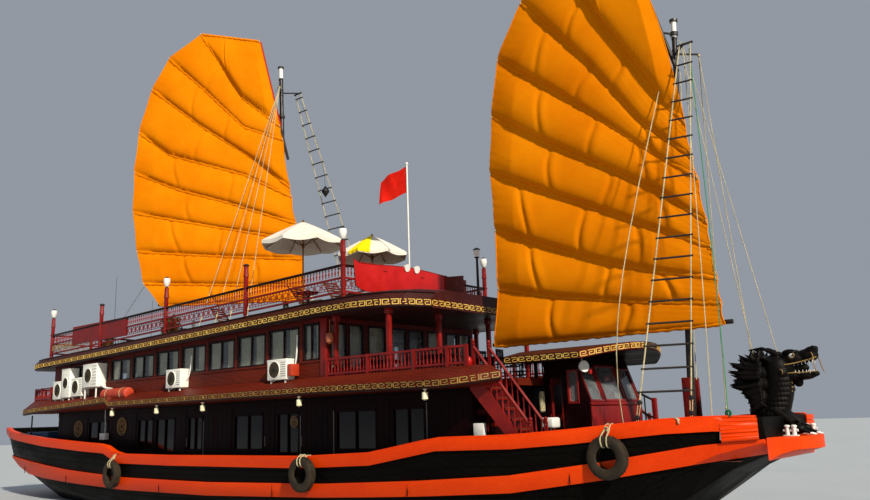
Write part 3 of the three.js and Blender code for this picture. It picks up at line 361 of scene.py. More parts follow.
BLUE_TARP = Finish("blue_tarp", "tarpaulin", srgb(0x10304E), srgb(0x2A5A86), Grain.CLOTH, 0.5, 0.1, 2.5,
                   bump=0.4)
FAN_BROWN = Finish("fan_brown", "dark_fittings", srgb(0x40341C), srgb(0x5C4C2C), Grain.METAL, 0.6, 0.1, 4.0)
COVER_GREY = Finish("cover_grey", "white_paint", srgb(0x4A4642), srgb(0x6A655E), Grain.PAINT, 0.5, 0.1, 4.0)
WHITE_PAINT = Finish("white_paint", "white_paint", srgb(0xD4D2CA), srgb(0xF0EEE8), Grain.PAINT, 0.45, 0.1,
                     4.0)


def only(obj: Piece) -> Piece:
    """Selects obj alone and makes it active."""
    bpy.ops.object.select_all(action="DESELECT")
    obj.select_set(True)
    bpy.context.view_layer.objects.active = obj
    return obj


def applied(obj: Piece) -> Piece:
    """Applies an object's place, turn and size to its mesh."""
    only(obj)
    bpy.ops.object.transform_apply(location=True, rotation=True, scale=True)
    return obj


def seal(obj: Piece, doubles: float = 1e-5) -> Piece:
    """Merges doubled points and turns every face outwards."""
    only(obj)
    bpy.ops.object.mode_set(mode="EDIT")
    bpy.ops.mesh.select_all(action="SELECT")
    if doubles:
        bpy.ops.mesh.remove_doubles(threshold=doubles)
    bpy.ops.mesh.normals_make_consistent(inside=False)
    bpy.ops.object.mode_set(mode="OBJECT")
    return obj


def modified(obj: Piece, kind: str, **values: object) -> Piece:
    """Adds a modifier with the given settings and applies it."""
    only(obj)
    modifier = obj.modifiers.new(kind.lower(), kind)
    for key, value in values.items():
        setattr(modifier, key, value)
    bpy.ops.object.modifier_apply(modifier=modifier.name)
    return obj


def bevelled(obj: Piece, width: float, segments: int = 2) -> Piece:
    """Rounds an object's sharp edges."""
    return modified(obj, "BEVEL", width=width, segments=segments, limit_method="ANGLE", harden_normals=False)


def block(low: Point, high: Point, bevel: float = 0.0, segments: int = 2) -> Piece:
    """Adds a squared timber between two corners, with rounded edges.

    Args:
        low: The lowest corner.
        high: The highest corner.
        bevel: The radius of its edges.
        segments: Faces round an edge.

    Returns:
        The new object.
    """
    bpy.ops.object.select_all(action="DESELECT")
    centre = [(a + b) / 2 for a, b in zip(low, high)]
    bpy.ops.mesh.primitive_cube_add(size=1, location=centre)
    obj = bpy.context.active_object
    obj.scale = [abs(b - a) for a, b in zip(low, high)]
    applied(obj)
    return bevelled(obj, bevel, segments) if bevel else obj


def rod(start: Point, end: Point, radius: float, end_radius: float | None = None, sides: int = 12) -> Piece:
    """Adds a round bar between two points, tapered if end_radius is given."""
    bpy.ops.object.select_all(action="DESELECT")
    a, b = Vector(start), Vector(end)
    turn = (b - a).to_track_quat("Z", "Y").to_euler()
    bpy.ops.mesh.primitive_cone_add(
        vertices=sides, radius1=radius, radius2=radius if end_radius is None else end_radius,
        depth=(b - a).length, location=(a + b) / 2, rotation=turn)
    return applied(bpy.context.active_object)


def place_points(obj: Piece, points: Iterable[Sequence[float]]) -> None:
    """Moves each of a mesh's points to its given place."""
    obj.data.vertices.foreach_set("co", np.array(list(points), np.float32).ravel())
    obj.data.update()


def prism(outline: Sequence[Flat], low: float, high: float, plane: Plane = Plane.XZ) -> Piece:
    """Adds a flat outline and extrudes it square to its plane.

    Args:
        outline: The corners, in the plane's two axes.
        low: Where the extrusion starts, along the third axis.
        high: Where it ends.
        plane: The plane of the outline.

    Returns:
        The new object.
    """
    seat: Callable[[Flat], Point] = {
        Plane.XZ: lambda p: (p[0], low, p[1]),
        Plane.YZ: lambda p: (low, p[0], p[1]),
    }[plane]
    depth = high - low
    push = {Plane.XZ: (0, depth, 0), Plane.YZ: (depth, 0, 0)}[plane]
    bpy.ops.object.select_all(action="DESELECT")
    bpy.ops.mesh.primitive_circle_add(vertices=len(outline), fill_type="NGON")
    obj = bpy.context.active_object
    place_points(obj, [seat(p) for p in outline])
    bpy.ops.object.mode_set(mode="EDIT")
    bpy.ops.mesh.select_all(action="SELECT")
    bpy.ops.mesh.extrude_region_move(TRANSFORM_OT_translate={"value": push})
    bpy.ops.mesh.select_all(action="SELECT")
    bpy.ops.mesh.normals_make_consistent(inside=False)
    bpy.ops.object.mode_set(mode="OBJECT")
    return obj


def turned(profile: Sequence[Flat], at: Point = (0, 0, 0), sides: int = 12,
           along: Point = (0, 0, 1)) -> Piece:
    """Adds a piece turned on a lathe: rows of (radius, height), swept round its axis by extruding a disc.

    Args:
        profile: Radius and height of each row, from one end to the other.
        at: Where height 0 lies.
        sides: Faces round the axis.
        along: The direction of the axis.

    Returns:
        The new object.
    """
    bpy.ops.object.select_all(action="DESELECT")
    (radius, height), *rows = profile
    bpy.ops.mesh.primitive_circle_add(vertices=sides, radius=radius, fill_type="NGON",
                                      location=(0, 0, height))
    obj = applied(bpy.context.active_object)
    bpy.ops.object.mode_set(mode="EDIT")
    bpy.ops.mesh.select_all(action="SELECT")
    for next_radius, next_height in rows:
        bpy.ops.mesh.extrude_region_move(TRANSFORM_OT_translate={"value": (0, 0, next_height - height)})
        bpy.ops.transform.resize(value=(next_radius / radius, next_radius / radius, 1),
                                 center_override=(0, 0, next_height))
        radius, height = next_radius, next_height
    bpy.ops.mesh.select_all(action="SELECT")
    bpy.ops.mesh.normals_make_consistent(inside=False)
    bpy.ops.object.mode_set(mode="OBJECT")
    turn = Vector((0, 0, 1)).rotation_difference(Vector(along)).to_matrix().to_4x4()
    obj.data.transform(Matrix.Translation(at) @ turn)
    return obj


def ring(centre: Point, radius: float, tube: float, along: Point = (0, 0, 1), sides: int = 24,
         round_: int = 8) -> Piece:
    """Adds a round ring about an axis."""
    bpy.ops.object.select_all(action="DESELECT")
    turn = Vector(along).to_track_quat("Z", "Y").to_euler()
    bpy.ops.mesh.primitive_torus_add(location=centre, rotation=turn, major_radius=radius, minor_radius=tube,
                                     major_segments=sides, minor_segments=round_)
    return applied(bpy.context.active_object)


def rope(points: Sequence[Point], radius: float, sides: int = 3, smooth: bool = True) -> Piece:
    """Adds a rope or tube along a line of points, with round ends.

    Args:
        points: The line it follows.
        radius: Its radius.
        sides: Bevel steps of the curve; 3 gives a ten-sided tube.
        smooth: Whether it curves between the points.

    Returns:
        The tube as a mesh.
    """
    bpy.ops.object.select_all(action="DESELECT")
    bpy.ops.curve.primitive_nurbs_path_add()
    obj = bpy.context.active_object
    curve = obj.data
    curve.splines.clear()
    spline = curve.splines.new("NURBS" if smooth else "POLY")
    spline.points.add(len(points) - 1)
    for point, place in zip(spline.points, points):
        point.co = (*place, 1)
    if smooth:
        spline.order_u = min(4, len(points))
        spline.use_endpoint_u = True
        spline.resolution_u = 4
    curve.dimensions = "3D"
    curve.bevel_depth = radius
    curve.bevel_resolution = sides
    curve.use_fill_caps = True
    bpy.ops.object.convert(target="MESH")
    obj = bpy.context.active_object
    obj.data.transform(obj.matrix_world)
    obj.matrix_world = Matrix.Identity(4)
    return seal(obj)


def sheet_grid(columns: int, rows: int, at: Callable[[float, float], Point]) -> Piece:
    """Adds a grid and lays each of its points by its two shares, from 0 to 1."""
    bpy.ops.object.select_all(action="DESELECT")
    bpy.ops.mesh.primitive_grid_add(x_subdivisions=columns, y_subdivisions=rows, size=2)
    obj = bpy.context.active_object
    co = np.empty(len(obj.data.vertices) * 3, np.float32)
    obj.data.vertices.foreach_get("co", co)
    shares = (co.reshape(-1, 3)[:, :2] + 1) / 2
    place_points(obj, [at(float(s), float(t)) for s, t in shares])
    return obj


def joined(pieces: Sequence[Piece]) -> Piece:
    """Joins several objects into one."""
    first = pieces[0]
    bpy.ops.object.select_all(action="DESELECT")
    for obj in pieces:
        obj.select_set(True)
    bpy.context.view_layer.objects.active = first
    if len(pieces) > 1:
        bpy.ops.object.join()
    return first


def bent(obj: Piece, at: Callable[[np.ndarray], np.ndarray]) -> Piece:
    """Moves every point of a mesh by a function of all its places."""
    co = np.empty(len(obj.data.vertices) * 3, np.float32)
    obj.data.vertices.foreach_get("co", co)
    moved = at(co.reshape(-1, 3).astype(float))
    obj.data.vertices.foreach_set("co", moved.astype(np.float32).ravel())
    obj.data.update()
    return obj


def copies(template: Piece, places: Sequence[Matrix]) -> Piece:
    """Replaces a template by copies of it, gathered in one mesh.

    Args:
        template: The object to copy; it is removed.
        places: One matrix for each copy.

    Returns:
        The gathered mesh.
    """
    source = template.data
    gathered = bmesh.new()
    for place in places:
        before = len(gathered.verts)
        gathered.from_mesh(source)
        gathered.verts.ensure_lookup_table()
        bmesh.ops.transform(gathered, matrix=place, verts=gathered.verts[before:])
    made = bpy.data.meshes.new(template.name)
    gathered.to_mesh(made)
    gathered.free()
    obj = bpy.data.objects.new(template.name, made)
    bpy.context.scene.collection.objects.link(obj)
    bpy.data.objects.remove(template)
    if any(place.determinant() < 0 for place in places):
        seal(obj, 0)
    return obj


def turn_z(angle: float) -> Matrix:
    """Returns a turn about the upright axis, in radians."""
    return Matrix.Rotation(angle, 4, "Z")


def move(x: float, y: float, z: float) -> Matrix:
    """Returns a shift."""
    return Matrix.Translation((x, y, z))


def upright(start: Point, height: float) -> Matrix:
    """Returns the matrix that stands a unit-high template at start."""
    return Matrix.Translation(start) @ Matrix.Diagonal((1, 1, height, 1))


def piece(obj: Piece, name: str, finish: Finish, body: str = SHIP, replaces: Sequence[str] = (),
          angle: float = SMOOTH_ANGLE) -> Piece:
    """Names a finished piece, gives it its finish and sets it riding on its body.

    Args:
        obj: The finished mesh.
        name: The piece's name.
        finish: Its finish.
        body: The CAD body that it moves with.
        replaces: CAD nodes that it stands for.
        angle: Edges sharper than this stay sharp.

    Returns:
        The piece.
    """
    obj.name = name
    obj.data.name = name
    obj.data.materials.clear()
    obj.data.materials.append(finish.material())
    only(obj)
    bpy.ops.object.shade_smooth_by_angle(angle=angle)
    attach(obj, body)
    if replaces:
        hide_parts(*replaces)
    LOG.info("%s: %d faces on %s", name, len(obj.data.polygons), body)
    return obj


class Track:
    """A line of points in plan, measured along its length, that a band or a rail follows."""

    def __init__(self, points: Sequence[Point]) -> None:
        """Keeps the points and their distances from the start."""
        self.points = np.array(points, float)
        steps = np.linalg.norm(np.diff(self.points[:, :2], axis=0), axis=1)
        self.marks = np.concatenate([[0.0], np.cumsum(steps)])
        self.length = float(self.marks[-1])

    def at(self, distance: np.ndarray | float) -> np.ndarray:
        """Returns the places at the given distances."""
        return np.stack([np.interp(distance, self.marks, self.points[:, k]) for k in range(3)], axis=-1)

    def outward(self, distance: np.ndarray | float) -> np.ndarray:
        """Returns the level direction to the right of the track, which is outboard."""
        reach = 0.12
        step = self.at(np.minimum(np.asarray(distance) + reach, self.length)) \
            - self.at(np.maximum(np.asarray(distance) - reach, 0.0))
        size = np.maximum(np.hypot(step[..., 0], step[..., 1]), 1e-9)
        return np.stack([step[..., 1] / size, -step[..., 0] / size, np.zeros_like(size)], axis=-1)

    def wrapped(self, obj: Piece) -> Piece:
        """Bends a flat piece on to the track: its X runs along, Y stands outboard, Z stays up."""
        def lay(co: np.ndarray) -> np.ndarray:
            """Lays the points along the track."""
            return (self.at(co[:, 0]) + self.outward(co[:, 0]) * co[:, 1:2]
                    + co[:, 2:3] * np.array([0, 0, 1.0]))
        return bent(obj, lay)


class Frame:
    """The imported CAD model: its nodes, and rays on to their surfaces."""

    def __init__(self, loaded: dict) -> None:
        self.nodes: dict[str, Piece] = loaded["nodes"]
        self.trees: dict[str, BVHTree] = {}

    def tree(self, node: str) -> BVHTree:
        """Returns a node's ray tree, made at its first use."""
        if node not in self.trees:
            mesh = self.nodes[node].data
            self.trees[node] = BVHTree.FromPolygons([v.co for v in mesh.vertices],
                                                    [p.vertices for p in mesh.polygons])
        return self.trees[node]

    def hit(self, node: str, start: Point, direction: Point) -> Vector | None:
        """Returns where a ray from start first meets a node."""
        return self.tree(node).ray_cast(Vector(start), Vector(direction).normalized())[0]

    def side(self, node: str, x: float, z: float, side: int) -> float:
        """Returns a node's outermost Y at x and z, on one side."""
        found = self.hit(node, (x, side * 8.0, z), (0, -side, 0))
        return found.y if found else 0.0

    def top(self, node: str, x: float, y: float, default: float = 0.0) -> float:
        """Returns a node's highest Z at x and y."""
        found = self.hit(node, (x, y, 25.0), (0, 0, -1))
        return found.z if found else default

    def copy(self, node: str) -> Piece:
        """Returns a merged copy of a node's mesh, ready to be reshaped."""
        obj = bpy.data.objects.new(f"{node}_copy", self.nodes[node].data.copy())
        bpy.context.scene.collection.objects.link(obj)
        for key in list(obj.keys()):
            del obj[key]
        only(obj)
        bpy.ops.object.mode_set(mode="EDIT")
        bpy.ops.mesh.select_all(action="SELECT")
        bpy.ops.mesh.remove_doubles(threshold=2e-5)
        bpy.ops.mesh.dissolve_limited(angle_limit=math.radians(0.5))
        bpy.ops.object.mode_set(mode="OBJECT")
        return obj

    def softened(self, node: str, name: str, finish: Finish, body: str = SHIP, width: float = 0.008,
                 segments: int = 2) -> Piece:
        """Replaces a node by a copy with rounded edges.

        Args:
            node: The CAD node.
            name: The new piece's name.
            finish: Its finish.
            body: The body it rides on.
            width: The radius of its edges.
            segments: Faces round an edge.

        Returns:
            The piece.
        """
        obj = bevelled(self.copy(node), width, segments)
        return piece(obj, name, finish, body, [node])

    def dress(self, node: str, finish: Finish) -> None:
        """Gives a CAD node that stays a better material."""
        obj = self.nodes[node]
        for slot in obj.material_slots:
            slot.material = finish.material()
        if not obj.material_slots:
            obj.data.materials.append(finish.material())


@dataclass(frozen=True)
class Stage:
    """The pale floor at the waterline, soft studio light, and the camera at the photograph's viewpoint."""

    floor_half: float = 160.0
    eye: Point = (21.8, -18.9, 2.7)
    heading: float = math.radians(50.48)
    pitch: float = math.radians(11.85)
    roll: float = math.radians(1.89)
    lens: float = 33.1
    to_sun: Point = (0.77, -0.30, 0.55)
    sun_energy: float = 5.0
    sky: Colour = (0.80, 0.88, 1.0)
    sky_strength: float = 0.36

    def build(self) -> None:
        """Adds the floor, the lights and the camera."""
        bpy.context.scene.view_settings.view_transform = "Standard"
        bpy.ops.object.select_all(action="DESELECT")
        bpy.ops.mesh.primitive_grid_add(x_subdivisions=8, y_subdivisions=8, size=2 * self.floor_half)
        floor = bpy.context.active_object
        floor.name = "studio_floor"
        pale = Finish("studio_floor", "white_paint", srgb(0xAAB0B4), srgb(0xB2B7BA), Grain.PAINT, 0.6, 0.05,
                      0.3, bump=0.02)
        floor.data.materials.append(pale.material())
        self._light()
        self._camera()

    def _light(self) -> None:
        """Adds one broad key light and a bright, even surround."""
        bpy.ops.object.light_add(type="SUN", location=(20, -20, 30))
        key = bpy.context.active_object
        key.name = "key_light"
        key.rotation_euler = Vector(self.to_sun).to_track_quat("Z", "Y").to_euler()
        key.data.energy = self.sun_energy
        key.data.angle = math.radians(3)
        key.data.color = (1.0, 0.93, 0.80)
        world = bpy.data.worlds.new("studio")
        bpy.context.scene.world = world
        world.use_nodes = True
        background = world.node_tree.nodes["Background"]
        background.inputs["Color"].default_value = (*self.sky, 1)
        background.inputs["Strength"].default_value = self.sky_strength

    def _camera(self) -> None:
        """Adds the camera, level with the rail of a boat off the starboard bow."""
        ch, sh = math.cos(self.heading), math.sin(self.heading)
        cp, sp = math.cos(self.pitch), math.sin(self.pitch)
        cr, sr = math.cos(self.roll), math.sin(self.roll)
        ahead = Vector((-ch, sh, 0))
        right = Vector((sh, ch, 0))
        forward = cp * ahead + sp * Vector((0, 0, 1))
        above = -sp * ahead + cp * Vector((0, 0, 1))
        turn = Matrix((cr * right - sr * above, sr * right + cr * above, -forward)).transposed().to_4x4()
        bpy.ops.object.camera_add()
        camera = bpy.context.active_object
        camera.name = "photo_camera"
        camera.matrix_world = Matrix.Translation(self.eye) @ turn
        camera.data.lens = self.lens
        camera.data.sensor_width = 36.0
        camera.data.clip_end = 600.0
        bpy.context.scene.camera = camera


@dataclass(frozen=True)
class Hull:
    """The planked hull: strakes, cap rail, wales, beak, keel and deck planks."""

    frame: Frame
    stern: float = -17.58
    bow: float = 16.18
    strakes: int = 11
    strake_base: float = -0.25
    skin: float = 0.012
    wale_bevel: float = 0.016

    def build(self) -> None:
        """Adds the hull's pieces."""
        self._planks()
        self._cap_rail()
        for node, name in (("gunwale_wale", "gunwale_wale_painted"),
                           ("rubbing_wale", "rubbing_wale_painted")):
            self.frame.softened(node, name, WALE_ORANGE, width=self.wale_bevel, segments=3)
        self._beak()
        for node in ("hull", "bulwark_starboard", "bulwark_port", "keel_skeg"):
            self.frame.dress(node, HULL_BLACK)
        self.frame.dress("propeller_shaft", BRONZE)
        self._deck_planks()
        self._wale_joints()

    def _top(self, x: float, side: int) -> float:
        """Returns the bulwark's top at x."""
        node = "bulwark_starboard" if side < 0 else "bulwark_port"
        low, high = 1.0, 4.0
        for _ in range(18):
            middle = (low + high) / 2
            if self.frame.hit(node, (x, side * 8.0, middle), (0, -side, 0)):
                low = middle
            else:
                high = middle
        return low

    def _skin_point(self, x: float, share: float, side: int) -> Point:
        """Returns a place on the planking, share of the way from its foot to the gunwale."""
        node = "bulwark_starboard" if side < 0 else "bulwark_port"
        top = self._top(x, side) - 0.01
        z = self.strake_base + (top - self.strake_base) * share
        found = self.frame.hit(node, (x, side * 8.0, z), (0, -side, 0)) \
            or self.frame.hit("hull", (x, side * 8.0, z), (0, -side, 0))
        if not found:
            found = self.frame.tree("hull").find_nearest(Vector((x, side * 3.0, z)))[0]
        return (found.x, found.y, found.z)

    def _planks(self) -> None:
        """Lays planks over the CAD hull, each with a small gap to the next."""
        stations = np.linspace(self.stern + 0.02, self.bow - 0.02, 74)
        for name, side in SIDES.items():
            rails = [[Vector(self._skin_point(float(x), k / self.strakes, side)) for x in stations]
                     for k in range(self.strakes + 1)]
            runs = []
            for k in range(self.strakes):
                runs.append(self._strake(rails[k], rails[k + 1], side))
            piece(joined(runs), f"hull_planks_{name}", HULL_BLACK, angle=math.radians(50))

    def _strake(self, low: list[Vector], high: list[Vector], side: int) -> Piece:
        """Adds one plank between two lines on the hull."""
        out = Vector((0, side * self.skin, 0))

        def at(s: float, t: float) -> Point:
            """Returns a place on the plank, crowned a little between its edges."""
            k = min(s * (len(low) - 1), len(low) - 1.0)
            i = min(int(k), len(low) - 2)
            a = low[i].lerp(low[i + 1], k - i)
            b = high[i].lerp(high[i + 1], k - i)
            share = 0.03 + 0.94 * t
            crown = min(1.0, 6 * min(t, 1 - t))
            return tuple(a.lerp(b, share) + out * (0.15 + 0.85 * crown))
        obj = sheet_grid(len(low) - 1, 6, at)
        seal(obj, 0)
        return modified(obj, "SOLIDIFY", thickness=0.01, offset=0)

    def _cap_rail(self) -> None:
        """Runs a flat rail along the top of each bulwark."""
        for name, side in SIDES.items():
            stations = np.linspace(self.stern + 0.05, self.bow - 0.12, 60)
            line = []
            for x in stations:
                top = self._top(float(x), side)
                outer = self._skin_point(float(x), 1.0, side)
                line.append(Vector((float(x), outer[1], top)))

            def at(s: float, t: float, points: list[Vector] = line, out: int = side) -> Point:
                """Returns a place on the rail's top."""
                k = s * (len(points) - 1)
                i = min(int(k), len(points) - 2)
                p = points[i].lerp(points[i + 1], k - i)
                return (p.x, p.y + out * (0.05 - 0.2 * t), p.z + 0.012)
            obj = sheet_grid(118, 2, at)
            seal(obj, 0)
            modified(obj, "SOLIDIFY", thickness=0.05, offset=0)
            piece(bevelled(obj, 0.012), f"cap_rail_{name}", WALE_ORANGE)

    def _beak(self) -> None:
        """Draws the beak's front to a blunt point and lays the port cheek's planks on the wall behind."""
        root, cad_front = 16.2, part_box("bow_beak")[1].x
        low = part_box("bow_beak")[0].x

        def drawn(co: np.ndarray) -> np.ndarray:
            """Moves the points ahead of the wall back to the blunt plan."""
            out = co.copy()
            front = np.interp(np.abs(co[:, 1]), (0.0, 0.25, 0.8, 1.65), (16.84, 16.82, 16.66, 16.24))
            share = np.clip((co[:, 0] - root) / (cad_front - root), 0, 1)
            out[:, 0] = np.where(co[:, 0] > root, root + share * (front - root), co[:, 0])
            lift = (0.10 + 0.15 * (co[:, 1] / 1.65) ** 2) * np.clip((co[:, 0] - low) / (root - low), 0, 1)
            out[:, 2] += np.where(co[:, 2] < 2.0, lift, 0)
            return out
        beak = modified(self.frame.copy("bow_beak"), "SUBSURF", subdivision_type="SIMPLE", levels=3,
                        render_levels=3)
        piece(bevelled(bent(beak, drawn), self.wale_bevel, 2), "bow_beak_painted", WALE_ORANGE,
              replaces=["bow_beak"])
        planks = [block((16.2, 1.25, 2.12 + k * 0.13), (16.235, 1.8, 2.24 + k * 0.13),
                        0.012) for k in range(3)]
        piece(joined(planks), "bow_wall_planks", WALE_ORANGE)

    def _wale_joints(self) -> None:
        """Adds the butt joints of the wales as narrow dark straps let into their faces."""
        joints = []
        for x, z0, z1 in ((-14.0, 0.98, 1.52), (-9.4, 0.76, 1.21), (-2.6, 0.62, 1.01), (3.2, 0.68, 1.03),
                          (8.2, 0.85, 1.20), (12.4, 1.18, 1.54)):
            for side in (STARBOARD, PORT):
                y = self.frame.side("rubbing_wale", x, (z0 + z1) / 2, side)
                joints.append(block((x - 0.006, y - 0.012, z0), (x + 0.006, y + 0.012, z1), 0.003, 1))
        piece(joined(joints), "wale_butt_joints", HULL_BLACK)

    def _deck_planks(self) -> None:
        """Lays the planked decks inside the bulwarks."""
        planks = []
        for x0, x1, z, half in ((-17.2, -12.4, 1.6, 2.15), (10.75, 15.6, 1.6, 1.7), (-11.8, 9.5, 1.0, 2.78)):
            count = int(2 * half / 0.19)
            template = block((x0, -0.088, z + 0.0005), (x1, 0.088, z + 0.016), 0.004, 1)
            places = [move(0, -half + (i + 0.5) * 2 * half / count, 0) for i in range(count)]
            planks.append(copies(template, [p for p in places if not self._mast_in_way(p, x0, x1)]))
        for side in (STARBOARD, PORT):
            template = block((-12.2, -0.085, 1.0005), (10.6, 0.085, 1.016), 0.004, 1)
            planks.append(copies(template, [move(0, side * y, 0) for y in (3.02, 3.2, 3.38)]))
        piece(joined(planks), "deck_planks", DECK_WOOD)

    def _mast_in_way(self, place: Matrix, x0: float, x1: float) -> bool:
        """Tells whether a plank's run would meet a mast's foot."""
        return abs(place.translation.y) < 0.2 and (x0 < -0.72 < x1 or x0 < 13.96 < x1)


@dataclass(frozen=True)
class SternGear:
    """The rudder with its straps and the twisted screw."""

    frame: Frame
    shaft: Point = (-13.05, 0.0, -1.0)
    blade_reach: float = 0.51

    def build(self) -> None:
        """Adds the rudder and the screw."""
        self.frame.softened("rudder", "rudder_planks", DARK_WOOD, "rudder", 0.01)
        low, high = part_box("rudder")
        straps = [block((low.x - 0.003, -0.075, z), (high.x - 0.25, 0.075, z + 0.07), 0.006)
                  for z in (-1.25, -0.75)]
        piece(joined(straps), "rudder_straps", DARK_METAL, "rudder")
        x, y, z = self.shaft
        hub = turned([(0.03, -0.17), (0.09, -0.14), (0.125, -0.05), (0.125, 0.1), (0.09, 0.15)],
                     self.shaft, 20, (1, 0, 0))

        def blade(s: float, t: float) -> Point:
            """Returns a place on one twisted blade: s from root to tip, t across it."""
            radius = 0.09 + (self.blade_reach - 0.09) * s
            width = 0.2 * math.sin(math.pi * min(1.0, 0.22 + 0.78 * s) ** 1.1) + 0.02
            pitch = math.radians(62 - 40 * s)
            across = (t - 0.5) * width
            return (across * math.cos(pitch), across * math.sin(pitch) * 0.8, radius)
        template = sheet_grid(10, 8, blade)
        seal(template, 0)
        modified(template, "SOLIDIFY", thickness=0.018, offset=0)
        modified(template, "SUBSURF", levels=1, render_levels=1)
        places = [Matrix.Translation(self.shaft) @ Matrix.Rotation(math.radians(90 * i), 4, "X")
                  for i in range(4)]
        screw = joined([hub, copies(template, places)])
        piece(screw, "screw_blades", BRONZE, "screw", ["propeller"])


@dataclass(frozen=True)
class Sail:
    """One fan sail: panels that belly between batten sleeves, in the sail's own plane.

    Seams run from the foot to the head. Each is a row of (u, v) points from the leech to the luff.
    """

    name: str
    plane_x: float
    boom_z: float
    swing: float
    seams: tuple[tuple[Flat, ...], ...]
    creases: tuple[tuple[float, ...], ...]
    cloth_y: float = -0.372
    belly: float = 0.17
    luff_bow: float = 0.0
    red_head: bool = False
    columns: int = 150
    panel_rows: int = 14
    seed: int = 7

    @property
    def body(self) -> str:
        """The CAD body that the sail swings with."""
        return self.name

    def placed(self) -> Matrix:
        """Returns the matrix from the sail's plane to the ship."""
        return move(self.plane_x, 0, self.boom_z) @ turn_z(math.radians(self.swing))

    def seam_at(self, seam: int, share: float) -> tuple[float, float]:
        """Returns a place on a seam, rounded through its points."""
        points = np.array(self.seams[seam], float)
        steps = np.linalg.norm(np.diff(points, axis=0), axis=1)
        marks = np.concatenate([[0], np.cumsum(steps)]) / steps.sum()
        return float(np.interp(share, marks, points[:, 0])), float(np.interp(share, marks, points[:, 1]))

    def depth(self, panel: int, s: float, t: float) -> float:
        """Returns how far the cloth bellies out at a place in a panel.

        Args:
            panel: The panel, from the foot.
            s: Share from the leech to the luff.
            t: Share from the lower seam to the upper one.

        Returns:
            Metres out of the sail's plane, to starboard.
        """
        low, high = self.seam_at(panel, s), self.seam_at(panel + 1, s)
        height = math.dist(low, high)
        shape = (t ** 0.42) * ((1 - t) ** 0.95) / 0.56
        ends = min(1.0, 5.0 * s + 0.35) * min(1.0, 6.0 * (1 - s) + 0.35)
        fullness = self.belly * min(height, 1.9) * shape * ends
        depth = 0.050 if panel < 3 else 0.034
        for crease in self.creases[panel]:
            lean = crease + 0.02 * math.sin(3.1 * t + 9 * crease)
            fullness -= depth * math.exp(-((s - lean) / 0.012) ** 2) * math.sin(math.pi * t) ** 0.5
            fullness += 0.022 * math.exp(-((s - lean - 0.03) / 0.022) ** 2) * math.sin(math.pi * t)
        phase = self.seed + 1.7 * panel
        gather = math.exp(-s / 0.07) + 0.6 * math.exp(-(1 - s) / 0.06)
        fullness += 0.016 * gather * math.sin(38 * t - 30 * s + 3 * math.sin(9 * s + phase))
        fan = math.exp(-(1 - s) / 0.35) * math.exp(-(1 - t) / 0.5)
        fullness += 0.014 * fan * math.sin(30 * t + 24 * s + phase)
        seam_pucker = math.exp(-t / 0.10) + 0.7 * math.exp(-(1 - t) / 0.12)
        fullness += 0.007 * seam_pucker * math.sin(210 * s + 60 * t + phase + 2 * math.sin(31 * s))
        fullness += 0.010 * math.sin(7.3 * s + 4 * t + phase) * math.sin(5.1 * s - 3 * t + 2.2 * phase)
        return fullness

    def cloth_point(self, s: float, share: float) -> Point:
        """Returns a place on the cloth; share runs over all the panels, from the foot up."""
        panels = len(self.seams) - 1
        k = min(share * panels, panels - 1e-6)
        panel = int(k)
        t = k - panel
        low, high = self.seam_at(panel, s), self.seam_at(panel + 1, s)
        u = low[0] + (high[0] - low[0]) * t
        v = low[1] + (high[1] - low[1]) * t
        hollow = 0.05 * math.sin(math.pi * t)
        u += hollow * (math.exp(-s / 0.05) - math.exp(-(1 - s) / 0.05))
        if panel == panels - 1:
            u += self.luff_bow * s ** 3 * math.sin(math.pi * t)
        return (u, self.cloth_y - self.depth(panel, s, t), v)

    def build(self) -> None:
        """Adds the cloth, its batten sleeves, bolt rope and lacing."""
        panels = len(self.seams) - 1
        cloth = sheet_grid(self.columns, panels * self.panel_rows, self.cloth_point)
        seal(cloth, 0)
        area = self._flat_area()
        modified(cloth, "SOLIDIFY", thickness=0.008, offset=0)
        cloth.data.transform(self.placed())
        piece(cloth, f"{self.name}_canvas", SAIL, self.body, [f"{self.name}_cloth"], angle=math.radians(60))
        sleeves = self._sleeves()
        bolt = self._bolt_rope()
        ties = self._ties()
        extra = [self._head_rope()] if self.red_head else []
        width = (max(u for seam in self.seams for u, _ in seam)
                 - min(u for seam in self.seams for u, _ in seam))
        height = max(v for seam in self.seams for _, v in seam)

    def _flat_area(self) -> float:
        """Returns the cut's flat area, by the outline of its seams' ends."""
        leech = [seam[0] for seam in self.seams]
        luff = [seam[-1] for seam in reversed(self.seams)]
        outline = leech + luff
        return abs(sum(a[0] * b[1] - b[0] * a[1] for a, b in zip(outline, outline[1:] + outline[:1]))) / 2

    def _sleeves(self) -> Piece:
        """Adds the padded batten sleeves along the seams, with twisted wrinkles."""
        tubes = []
        for seam in range(len(self.seams)):
            thick = 0.075 if 0 < seam < len(self.seams) - 1 else 0.05

            def at(s: float, t: float, k: int = seam, half: float = thick) -> Point:
                """Returns a place on a sleeve: s along it, t round it."""
                angle = 2 * math.pi * t
                u, v = self.seam_at(k, s)
                u2, v2 = self.seam_at(k, min(1.0, s + 0.01))
                u1, v1 = self.seam_at(k, max(0.0, s - 0.01))
                slope = math.atan2(v2 - v1, u2 - u1)
                taper = min(1.0, 20 * s + 0.3) * min(1.0, 20 * (1 - s) + 0.3)
                twist = 0.010 * math.sin(130 * s + 2 * angle + k) + 0.006 * math.sin(71 * s - angle + 2 * k)
                across = (half + twist) * taper * math.cos(angle)
                out = (0.042 + 0.6 * twist) * taper * math.sin(angle)
                return (u - across * math.sin(slope), self.cloth_y - 0.012 - out,
                        v + across * math.cos(slope))
            tube = sheet_grid(self.columns, 10, at)
            seal(tube, 1e-4)
            tubes.append(closed(tube))
        obj = joined(tubes)
        obj.data.transform(self.placed())
        return piece(obj, f"{self.name}_batten_sleeves", SAIL, self.body, angle=math.radians(70))

